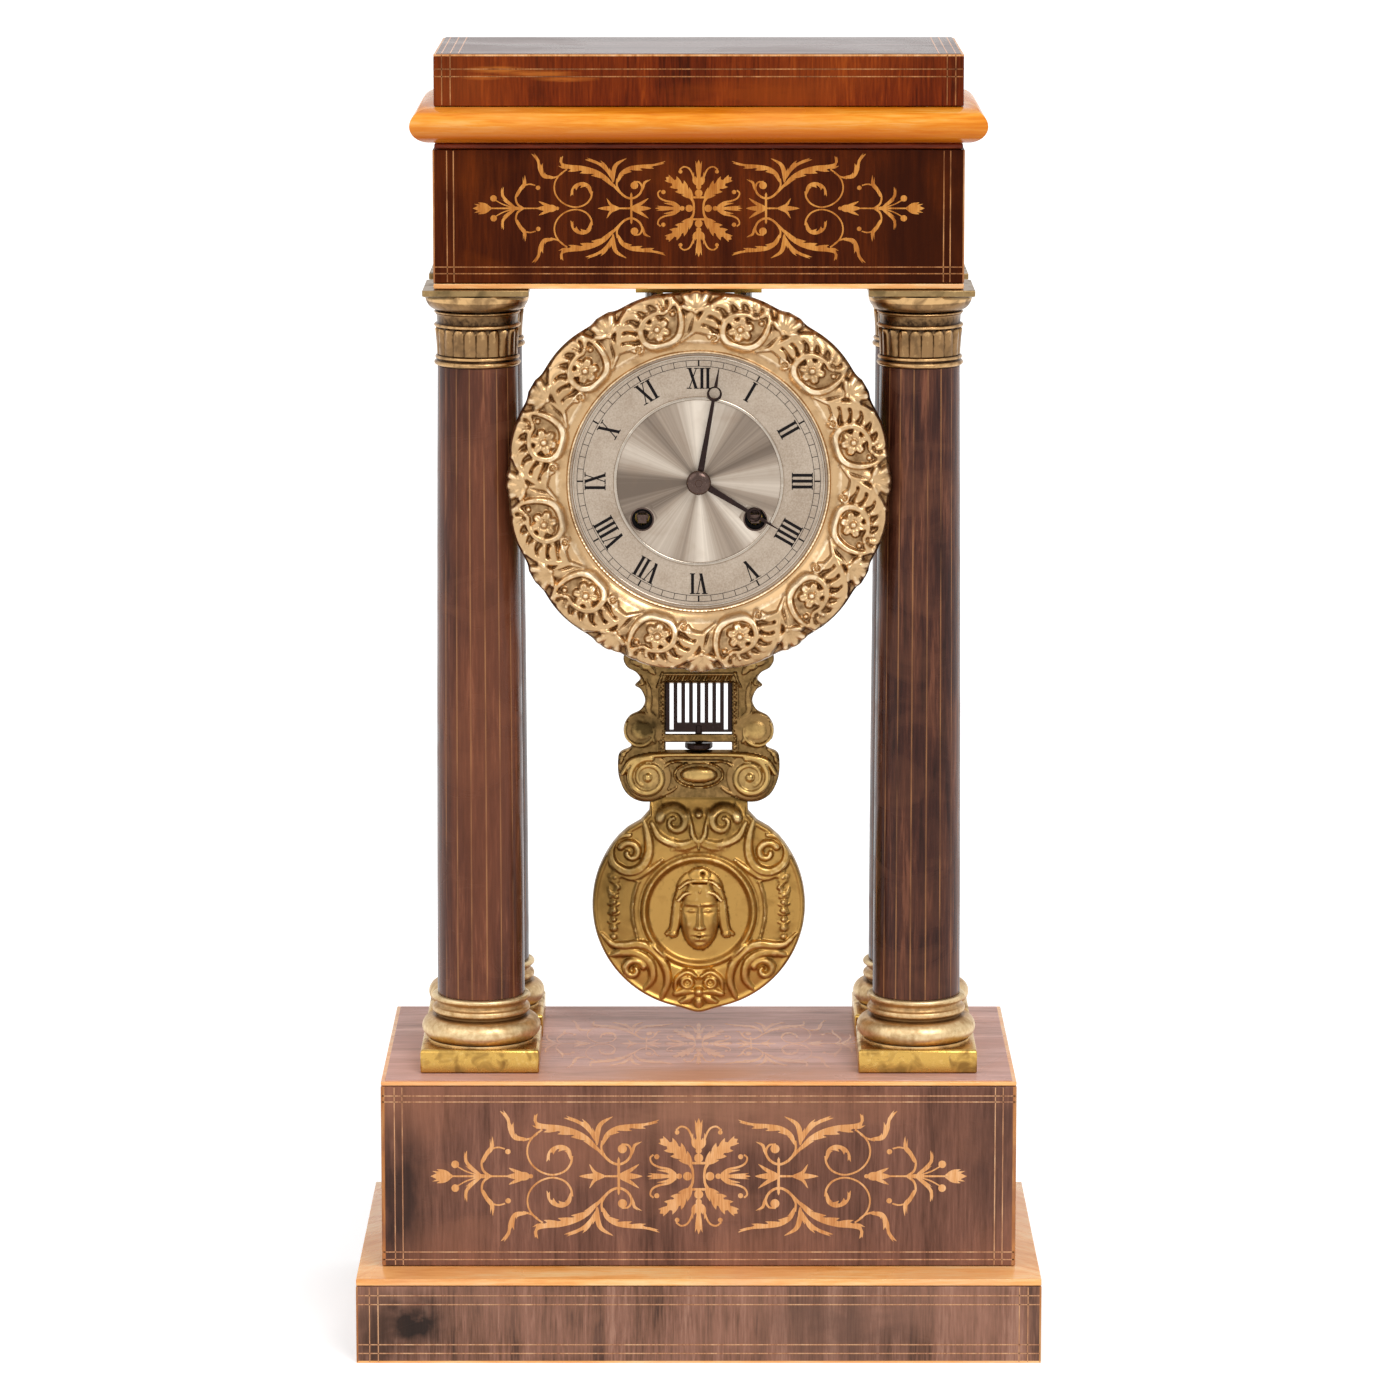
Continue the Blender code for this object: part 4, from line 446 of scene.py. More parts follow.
# The plinth's veneer is paler and more worn, with one black mark at its left.
ROSEWOOD_PLINTH = Wood(
    "rosewood_veneer_plinth", ((0.05, "#51382E"), (0.32, "#73503F"), (0.62, "#8A6150"), (0.95, "#A67C68")),
    band=7.0, streak=0.8, worn="#A87A66", worn_share=0.5,
    spots=(
        Spot((-112, -76.2, 16), (19, 20, 17), "#211814", 0.95), Spot((-124, -76.2, 8), (14, 20, 22), "#3E2A20", 0.7),
        Spot((58, -76.2, 16), (40, 20, 22), "#5A4238", 0.6),
    ),
)
# The same veneer kept from the light: deep red-brown.
ROSEWOOD_WARM = Wood(
    "rosewood_veneer_warm", ((0.05, "#381204"), (0.4, "#481B07"), (0.7, "#562208"), (0.95, "#66290A")),
    worn="#74340C", worn_share=0.5, sheen=0.04, coat=0.0,
    # Painted shade: the frieze is darker towards its right end.
    spots=(Spot((88, -47.5, 438), (40, 30, 60), "#2C0E04", 0.8),),
)
# The block on top is redder still, with one place rubbed through to the light.
ROSEWOOD_TOP = Wood(
    "rosewood_veneer_top", ((0.05, "#401403"), (0.4, "#662408"), (0.7, "#7C300B"), (0.95, "#964212")),
    worn="#94481C", worn_share=0.35, band=16.0, sheen=0.05, coat=0.02,
    spots=(
        Spot((-76, -47, 493.9), (13, 20, 1.6), "#C87630", 0.55),
        Spot((-60, -47, 492.4), (17, 20, 1.5), "#C8722C", 0.55),
        Spot((-50, -47, 490.4), (14, 20, 1.3), "#C06A28", 0.55),
        Spot((-81, -47, 491), (9, 20, 1.2), "#C06A28", 0.5), Spot((20, -47, 484), (40, 20, 8), "#8E3E0E", 0.6),
    ),
)
# Its top faces lie under dust and daylight and went pale and pinkish; the pale colour also holds a painted sheen of the
# light grazing them, in place of a glossy reflection.
ROSEWOOD_FADED_AND_SHEEN = Wood(
    "rosewood_veneer_faded", ((0.05, "#A88276"), (0.4, "#C89C90"), (0.7, "#D8ACA2"), (0.95, "#E8BEB2")),
    Grain.ACROSS, worn="#D2A090", worn_share=0.6, sheen=0.03, coat=0.0,
    # Painted reflection: the orange-brown patch at the front of the top face.
    spots=(Spot((0, -60, 109), (90, 34, 20), "#D08E62", 0.7),),
)
# The very top is grey with dust, with only a dull sheen.
ROSEWOOD_GREY = Wood(
    "rosewood_veneer_dusty", ((0.05, "#54423C"), (0.4, "#745F59"), (0.7, "#85706B"), (0.95, "#988480")),
    Grain.ACROSS, worn="#8A7A78", worn_share=0.6, sheen=0.1,
)
# Column veneer, darker and glossier, with painted light on the left columns and painted shade on the right ones.
ROSEWOOD_LINED = LinedRosewood(
    "rosewood_shaft_lined", ((0.05, "#200D07"), (0.45, "#42221A"), (0.75, "#5C3425"), (0.97, "#804E38")),
    worn="#8A5A42", worn_share=0.3, cloud=30.0, band=5.0, sheen=0.16, coat=0.05,
    # Painted light on the left columns and painted shade on the right ones.
    spots=(Spot((-84, -48, 250), (40, 26, 190), "#80482E", 0.5), Spot((84, -48, 250), (40, 26, 190), "#341408", 0.35)),
)
# Boxwood gone amber under polish, fine and even in grain.
BOXWOOD = Wood(
    "boxwood_inlay", ((0.1, "#C07C46"), (0.5, "#E0A064"), (0.9, "#F0B984")), streak=0.5, band=4.0,
    worn="#C98752", worn_share=0.5, cloud=20.0,
)
# The same wood under the frieze's thicker polish, a shade deeper.
BOXWOOD_AMBER = Wood(
    "boxwood_inlay_amber", ((0.1, "#A05A1A"), (0.5, "#C47E34"), (0.9, "#DA984A")), streak=0.5, band=4.0,
    worn="#B06A2C", worn_share=0.6, cloud=20.0,
)
# Lines of the same wood, thinner and rubbed down into the veneer.
STRINGING = Wood(
    "boxwood_stringing", ((0.1, "#9C6A4C"), (0.5, "#CA946C"), (0.9, "#DEAE84")), streak=0.5, band=6.0,
    worn="#8C5C48", worn_share=0.6, cloud=16.0,
)
# Lines of the upper case, redder and half hidden by the polish.
STRINGING_WARM = Wood(
    "boxwood_stringing_warm", ((0.1, "#7A4420"), (0.5, "#A86C3C"), (0.9, "#C88C58")), streak=0.5, band=6.0,
    worn="#5E3018", worn_share=0.8, cloud=16.0,
)
# Pale fruitwood with the polish gone orange.
FRUITWOOD = Wood(
    "fruitwood_polished", ((0.05, "#DC7814"), (0.4, "#EE9022"), (0.7, "#F8A63C"), (0.95, "#FCBA62")), Grain.ACROSS,
    worn="#F0944C", worn_share=0.3, roughness=(0.2, 0.34), sheen=0.14, coat=0.08,
    # Painted shade: the lower part of the half-round moulding is darker.
    spots=(Spot((0, -57, 465.5), (500, 90, 11), "#C4600C", 0.95),),
)
# Light fruitwood of the ledge and the edges, orange where the polish is thick.
LEDGE_WOOD = Wood(
    "fruitwood_edge", ((0.1, "#EA9C50"), (0.5, "#FEBA70"), (0.9, "#FFD092")), Grain.ACROSS, streak=0.8, band=5.0,
    worn="#E8A070", worn_share=0.5, sheen=0.3, coat=0.15,
)
# Inlay of the faded top faces, close in colour to the veneer round it.
BOXWOOD_FADED = Wood(
    "boxwood_inlay_faded", ((0.1, "#C88A60"), (0.5, "#E4A070"), (0.9, "#F0B488")), Grain.ACROSS, streak=0.8,
    worn="#CC9C8C", worn_share=0.9, cloud=30.0,
)
# Corner strips with upright grain, browned by handling.
LEDGE_UPRIGHT = Wood(
    "fruitwood_corner_strip", ((0.1, "#9A5C34"), (0.5, "#BC7C48"), (0.9, "#CE9A66")), Grain.UPRIGHT, streak=1.2,
    worn="#7E5040", worn_share=0.6, cloud=18.0,
)
# Bead under the cornice, stained a dark red that shows little grain.
BEAD_WOOD = Wood(
    "stained_bead_wood", ((0.1, "#4A1606"), (0.6, "#7A2E12"), (0.95, "#A04A22")), Grain.ACROSS, worn="#8A3E20"
)
# Fire-gilt cast brass, rubbed bright on the high places and brown in the hollows, with painted highlights on the high
# places and painted shade in the hollows.
CAST_GILT = Metal(
    "cast_brass_gilt", body="#C2A076", bright="#F6E0BE", recess_patina_and_shade="#6A4A2C", tarnish="#8A6A44", shaded_by_relief=True,
    tarnish_share=0.45, roughness=(0.28, 0.5),
)
# The bob's gilding is deeper and yellower, with brown patina and painted shade in its hollows and painted highlights on
# its high places.
PENDULUM_GILT = Metal(
    "cast_brass_gilt_warm", body="#B0884A", bright="#EFCF92", recess_patina_and_shade="#4E3618", tarnish="#94703A", shaded_by_relief=True,
    roughness=(0.36, 0.56),
    spots=(
        Spot((0, 6, 212), (40, 30, 30), "#5C4622", 0.85), Spot((-34, 6, 172), (16, 30, 34), "#6A5028", 0.7),
        Spot((0, 6, 130), (48, 30, 22), "#D2A458", 0.6),
    ),
)
# The frame's gilding is worn through to dull brass, with painted shade in its hollows and painted highlights on its
# raised forms.
FRAME_GILT = Metal(
    "cast_brass_gilt_worn", body="#907146", bright="#C09E62", recess_patina_and_shade="#453318", tarnish="#6E5832", tarnish_share=0.5,
    spots=(Spot((-21, 6, 234), (9, 20, 8), "#2E2210", 0.9), Spot((0, 6, 268), (34, 20, 16), "#4E3E22", 0.8)),
    patch=7.0, shaded_by_relief=True, roughness=(0.3, 0.5),
)
# Brass sheet spun on a former for the capitals, browned by age and bright on its leaves, with painted highlights on the
# leaves and painted shade between them.
AGED_BRASS = Metal(
    "aged_spun_brass", body="#8E6E4A", bright="#D0A874", recess_patina_and_shade="#35261A", tarnish="#604A34", tarnish_share=0.6,
    patch=6.0, shaded_by_relief=True, roughness=(0.3, 0.55),
)
# Sheet brass of the columns' square feet, rubbed yellow.
YELLOW_BRASS = Metal(
    "yellow_sheet_brass", body="#CDA456", bright="#EAC880", recess_patina_and_shade="#6E4C24", tarnish="#75562E", tarnish_share=0.7,
    patch=7.0, roughness=(0.26, 0.5),
)
# Turned mouldings of the column bases, a dull brown gold, with painted shade in the hollows of the mouldings and
# painted highlights on their rounds.
BASE_BRASS = Metal(
    "aged_turned_brass", body="#BE9868", bright="#E4CA9C", recess_patina_and_shade="#80623E", tarnish="#8E6C40", tarnish_share=0.5,
    patch=7.0, shaded_by_relief=True, roughness=(0.4, 0.58),
)
# Square plates over the capitals, browned all over.
ABACUS_BRASS = Metal(
    "aged_sheet_brass", body="#957A52", bright="#CDB07A", recess_patina_and_shade="#40301C", tarnish="#5C4C32", tarnish_share=0.7,
    patch=6.0, roughness=(0.3, 0.55),
)
# Rolled brass of plates, wheels and drum, even and a little dulled.
MOVEMENT_BRASS = Metal(
    "rolled_brass_polished", body="#B8964C", bright="#D2B468", recess_patina_and_shade="#8E7038", tarnish="#8E7038", tarnish_share=0.25,
    patch=34.0, roughness=(0.24, 0.36),
)
# Cast bell metal, paler and greyer than brass, turned bright.
BELL_METAL = Metal(
    "bell_metal_turned", body="#B09A62", bright="#CDBB84", recess_patina_and_shade="#8C7A4C", tarnish="#857650", tarnish_share=0.25,
    patch=30.0, roughness=(0.2, 0.34),
)
# Polished steel of pinions, spring and hammer, light grey with a sharp shine.
STEEL = Metal(
    "steel_polished", body="#8C8C8C", bright="#C4C4C2", recess_patina_and_shade="#50504E", tarnish="#6E665E", patch=5.0,
    roughness=(0.2, 0.4),
)
# Blued steel gone brown and dull.
DARK_STEEL = Metal(
    "blued_steel_browned", body="#2E2422", bright="#4E4240", recess_patina_and_shade="#151010", tarnish="#43302A", patch=3.0,
    roughness=(0.3, 0.5),
)
# Domed steel collet, rubbed grey-brown.
COLLET_STEEL = Metal(
    "steel_collet_browned", body="#54443E", bright="#8A766C", recess_patina_and_shade="#2A1E1A", tarnish="#4A3832", patch=2.4,
    roughness=(0.2, 0.38),
)
# Silvering rubbed on brass, a pale satin without clear reflections; the middle is engine-turned, its light and dark
# sectors a painted sheen.
SILVERED = SilveredBrass("silvered_brass_satin")
SILVERED_RAYS = SilveredBrass(
    "silvered_brass_engine_turned", light="#DDD0C0", body="#A09080", dark="#6E6054", rays=True, metallic=0.5
)
# Raised rings, polished through the silvering.
RING_BRIGHT = Metal(
    "silvered_ring_polished", body="#B0A496", bright="#E4DCCE", recess_patina_and_shade="#6E6256", tarnish="#8C7A66",
    roughness=(0.15, 0.3),
)
# Black sealing wax in the engraved numerals and minute track; the same black lines the winding holes as painted shade.
BLACK_WAX_AND_HOLE_SHADE = Metal(
    "black_wax_and_hole_shade", body="#161213", bright="#2A2626", recess_patina_and_shade="#060606", tarnish="#1E1A18", metallic=0.0,
    patch=4.0, roughness=(0.5, 0.7), sheen=0.08,
)


def select_only(piece: Piece) -> None:
    """Make one object the selected and active one.

    Args:
        piece: The object.
    """
    bpy.ops.object.select_all(action="DESELECT")
    piece.select_set(True)
    bpy.context.view_layer.objects.active = piece


def close_up(piece: Piece, degrees: float = 40.0) -> Piece:
    """Merge seams and poles, point the faces outwards and smooth all but the sharp edges.

    Args:
        piece: The object.
        degrees: Sharpest edge that is still smoothed.

    Returns:
        The same object.
    """
    select_only(piece)
    bpy.ops.object.mode_set(mode="EDIT")
    bpy.ops.mesh.select_all(action="SELECT")
    bpy.ops.mesh.remove_doubles(threshold=SEAM * MM)
    bpy.ops.mesh.normals_make_consistent(inside=False)
    bpy.ops.object.mode_set(mode="OBJECT")
    bpy.ops.object.shade_smooth_by_angle(angle=math.radians(degrees))
    return piece


def mark(piece: Piece, marks: dict[str, Grid]) -> None:
    """Keep a value for each point of a mesh.

    Args:
        piece: The object.
        marks: Values by attribute name, in the order of the points.
    """
    for name, values in marks.items():
        attribute = piece.data.attributes.new(name, "FLOAT", "POINT")
        attribute.data.foreach_set("value", np.ascontiguousarray(values, dtype=np.float32).ravel())


def carve(name: str, places: Grid, marks: dict[str, Grid] | None = None, degrees: float = 40.0) -> Piece:
    """Make a closed piece from a grid of points.

    Args:
        name: Name of the piece.
        places: Points by row and column, the last of each on the first or on a pole.
        marks: Values by attribute name, one for each point.
        degrees: Sharpest edge that is smoothed.

    Returns:
        The piece.
    """
    rows, columns = places.shape[:2]
    bpy.ops.object.select_all(action="DESELECT")
    bpy.ops.mesh.primitive_grid_add(x_subdivisions=columns - 1, y_subdivisions=rows - 1, size=1.0)
    piece = bpy.context.object
    piece.name = piece.data.name = name
    piece.data.vertices.foreach_set("co", (places * MM).astype(np.float32).ravel())
    mark(piece, marks or {})
    return close_up(piece, degrees)


def rounded_edges(piece: Piece, width: float) -> Piece:
    """Round the sharp edges of a piece.

    Args:
        piece: The object.
        width: Width of the rounding.

    Returns:
        The same object.
    """
    select_only(piece)
    edge = piece.modifiers.new("rounding", "BEVEL")
    edge.width = width * MM
    edge.segments = 2
    edge.limit_method = "ANGLE"
    edge.angle_limit = math.radians(35)
    bpy.ops.object.modifier_apply(modifier=edge.name)
    return piece


def stacked(
    name: str, loops: Sequence[Place], width: float = 0.3, hollow: bool = False, centre: Point = (0.0, 0.0)
) -> Piece:
    """Rectangular piece built up from level outlines.

    Args:
        name: Name of the piece.
        loops: Half width, half depth and height of each outline in order.
        width: Rounding of its edges.
        hollow: Whether the outlines close on the first one instead of on two lids.
        centre: Its middle in X and Y.

    Returns:
        The piece.
    """
    rows = list(loops)
    rows = [*rows, rows[0]] if hollow else [(0, 0, rows[0][2]), *rows, (0, 0, rows[-1][2])]
    places = [[(centre[0] + x * a, centre[1] + y * b, z) for a, b in ROUND] for x, y, z in rows]
    return rounded_edges(carve(name, np.array(places), degrees=30), width)


def board(name: str, low: Sequence[float], high: Sequence[float], width: float = 0.3) -> Piece:
    """Plain board with softened edges.

    Args:
        name: Name of the piece.
        low: Its lowest corner.
        high: Its highest corner.
        width: Rounding of its edges.

    Returns:
        The piece.
    """
    half_x, half_y = (high[0] - low[0]) / 2, (high[1] - low[1]) / 2
    loops = ((half_x, half_y, low[2]), (half_x, half_y, high[2]))
    return stacked(name, loops, width, centre=((low[0] + high[0]) / 2, (low[1] + high[1]) / 2))


def arc(centre: Point, radius: float | Point, start: float, end: float, steps: int = 10) -> list[Point]:
    """Points of a round piece of a profile.

    Args:
        centre: Its centre.
        radius: Its radius, or one across and one along.
        start: First direction in degrees.
        end: Last direction in degrees.
        steps: Number of steps.

    Returns:
        Its points.
    """
    across, along = radius if isinstance(radius, tuple) else (radius, radius)
    turns = [math.radians(start + (end - start) * k / steps) for k in range(steps + 1)]
    return [(centre[0] + across * math.cos(t), centre[1] + along * math.sin(t)) for t in turns]


def turned(
    name: str, profile: Path, centre: Point, steps: int = 96, axis: str = "Z", swell: Heights | None = None,
    degrees: float = 40.0,
) -> Piece:
    """Piece turned about an upright axis or one from front to back.

    Args:
        name: Name of the piece.
        profile: Radius and height of each point, closed on itself or on the axis at both ends.
        centre: Where the axis stands, in X and Y or in X and Z.
        steps: Points round it.
        axis: Z, or Y with heights counted along Y.
        swell: What is added to the radius for a share round the axis and a height.
        degrees: Sharpest edge that is smoothed.

    Returns:
        The piece, marked with its turn round the axis and with a painted-shade value from its relief.
    """
    radius, height = np.array(profile, dtype=float).T
    share = np.linspace(0, 1, steps + 1)
    around, level = np.meshgrid(share, height)
    reach = np.repeat(radius[:, None], steps + 1, axis=1)
    extra = swell(around, level) if swell else np.zeros_like(reach)
    extra[:, -1] = extra[:, 0]
    reach = reach + np.where(reach > 0, extra, 0)
    across = centre[0] + reach * np.cos(2 * np.pi * around)
    along = centre[1] + reach * np.sin(2 * np.pi * around)
    order = (across, along, level) if axis == "Z" else (across, level, along)
    # Painted shade: hollows of the profile get a low value and a darker colour, rounds a high one and a painted
    # highlight.
    shade_from_convexity = relief_of(reach, 6, 4) + relief_of(reach, 0, 3)
    turn = 2 * np.pi * around
    marks = {"turn_cos": np.cos(turn), "turn_sin": np.sin(turn), "relief": 0.5 + 0.45 * shade_from_convexity}
    return carve(name, np.stack(order, axis=-1), marks, degrees)


def relief_of(height: Grid, columns: int, rows: int) -> Grid:
    """How far each point of a height field stands out from those round it.

    Args:
        height: The height field.
        columns: Reach of the comparison along a row, round a closed ring.
        rows: Reach of the comparison across the rows.

    Returns:
        Height above the mean of the neighbours.
    """
    mean = height.copy()
    if columns:
        ring = mean[:, :-1]
        total = sum(np.roll(ring, k, axis=1) for k in range(-columns, columns + 1))
        mean[:, :-1] = total / (2 * columns + 1)
        mean[:, -1] = mean[:, 0]
    if rows:
        padded = np.pad(mean, ((rows, rows), (0, 0)), mode="edge")
        count = height.shape[0]
        mean = sum(padded[k : k + count] for k in range(2 * rows + 1)) / (2 * rows + 1)
    return height - mean


def span(node: str) -> tuple[Grid, Grid]:
    """Lowest and highest corners of a CAD node."""
    low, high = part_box(node)
    return np.array(low) / MM, np.array(high) / MM


def axis_of(node: str) -> Point:
    """Middle of a CAD node across and up, where the axis of a round one runs."""
    low, high = span(node)
    return (low[0] + high[0]) / 2, (low[2] + high[2]) / 2


def from_faces(name: str, points: Sequence[Place], faces: Sequence[Sequence[int]]) -> Piece:
    """Make a piece from its points in millimetres and its faces.

    Args:
        name: Name of the piece.
        points: Its points.
        faces: Numbers of each face's points.

    Returns:
        The piece.
    """
    data = bpy.data.meshes.new(name)
    data.from_pydata([tuple(np.array(point) * MM) for point in points], [], faces)
    piece = bpy.data.objects.new(name, data)
    bpy.context.collection.objects.link(piece)
    return piece


def settle(piece: Piece, finish: Finish, body: str = CASE, nodes: Sequence[str] = ()) -> Piece:
    """Finish a piece, tie it to its body and hide the CAD nodes that it replaces.

    Args:
        piece: The piece.
        finish: Its finish.
        body: Body that it rides on.
        nodes: CAD nodes that it replaces.

    Returns:
        The same piece.
    """
    finish.apply(piece)
    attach(piece, body)
    if nodes:
        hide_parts(*nodes)
    return piece


@dataclass
class Case:
    """Stepped wooden case: plinth, base box, soffit, frieze box, cornice and top block."""

    plinth_wall: float = 17.0
    ledge_setback: float = 9.7
    ledge_edge: float = 2.5
    box_wall: float = 10.0
    frieze_wall: float = 9.0
    softening: float = 0.35
    joint: float = 0.3
    soffit_top: float = 413.2
    veneer_inset: float = 1.6
    top_edge: float = 1.0

    def hollow(self, node: str, wall: float, finish: Finish) -> None:
        """Four mitred walls with no top or bottom.

        Args:
            node: CAD node that gives the outer size.
            wall: Thickness of the walls.
            finish: Their finish.
        """
        low, high = span(node)
        x, y = high[0], high[1]
        inner = (x - wall, y - wall)
        loops = ((x, y, low[2]), (x, y, high[2]), (*inner, high[2]), (*inner, low[2]))
        piece = stacked(f"{node}_veneered", loops, self.softening, hollow=True)
        settle(piece, finish, nodes=[node])

    def build(self) -> None:
        """Make the wooden pieces from the bottom up."""
        self.hollow("plinth_frame", self.plinth_wall, ROSEWOOD_PLINTH)
        self.ledge()
        self.hollow("base_walls", self.box_wall, ROSEWOOD)
        self.base_top()
        self.soffit()
        self.hollow("frieze_walls", self.frieze_wall, ROSEWOOD_WARM)
        self.cornice()
        self.top_block()

    def ledge(self) -> None:
        """Light board on the plinth that slopes up to the base box."""
        low, high = span("plinth_ledge")
        x, y = high[0], high[1]
        bottom = span("plinth_frame")[1][2] + self.joint
        inner = (x - self.ledge_setback, y - self.ledge_setback)
        loops = [(x, y, bottom), (x, y, bottom + self.ledge_edge), (*inner, high[2])]
        piece = stacked("plinth_ledge_board", loops, self.softening)
        settle(piece, LEDGE_WOOD, nodes=["plinth_ledge"])
        inside = (x - self.plinth_wall - self.joint, y - self.plinth_wall - self.joint)
        tongue = stacked("plinth_ledge_tongue", [(*inside, low[2]), (*inside, bottom + 0.5)], self.softening)
        settle(tongue, LEDGE_WOOD)

    def base_top(self) -> None:
        """Faded top of the base box with a light edge."""
        low, high = span("base_top_board")
        bottom = span("base_walls")[1][2] + self.joint
        piece = board("base_top_edge", (*low[:2], bottom), (*high[:2], high[2] - self.joint), self.softening)
        settle(piece, LEDGE_WOOD, nodes=["base_top_board"])
        inset = self.veneer_inset
        corners = ((low[0] + inset, low[1] + inset, high[2] - 0.5), (high[0] - inset, high[1] - inset, high[2]))
        settle(board("base_top_veneer", *corners, 0.1), ROSEWOOD_FADED_AND_SHEEN)

    def soffit(self) -> None:
        """Light board under the frieze box."""
        low, high = span("frieze_soffit_board")
        piece = board("frieze_soffit", low, (*high[:2], min(high[2], self.soffit_top)), self.softening)
        settle(piece, LEDGE_WOOD, nodes=["frieze_soffit_board"])

    def cornice(self) -> None:
        """Dark bead and the half-round light moulding over it."""
        piece = board("cornice_dark_bead", *span("cornice_bead"), 0.6)
        settle(piece, BEAD_WOOD, nodes=["cornice_bead"])
        low, high = span("cornice_moulding")
        middle, half = (low[2] + high[2]) / 2, (high[2] - low[2]) / 2
        overhang = high[0] - span("frieze_walls")[1][0]
        core = (high[0] - overhang, high[1] - overhang)
        loops = [(*core, low[2])]
        for out, up in arc((0, middle), (overhang, half), -90, 90, 18):
            loops.append((core[0] + out, core[1] + out, up))
        loops.append((*core, high[2]))
        rows = [(0, 0, low[2]), *loops, (0, 0, high[2])]
        places = np.array([[(x * a, y * b, z) for a, b in ROUND] for x, y, z in rows])
        piece = carve("cornice_half_round", places, degrees=50)
        settle(piece, FRUITWOOD, nodes=["cornice_moulding"])

    def top_block(self) -> None:
        """Solid-looking block that ends the case, with a grey top face and light edges."""
        low, high = span("top_block")
        edge = self.top_edge
        piece = board("top_block_veneered", low, (*high[:2], high[2] - edge), self.softening)
        settle(piece, ROSEWOOD_TOP, nodes=["top_block"])
        piece = board("top_block_edge", (*low[:2], high[2] - edge), (*high[:2], high[2] - self.joint), 0.2)
        settle(piece, BOXWOOD)
        corners = ((low[0] + edge, low[1] + edge, high[2] - 0.4), (high[0] - edge, high[1] - edge, high[2]))
        settle(board("top_block_face", *corners, 0.1), ROSEWOOD_GREY)


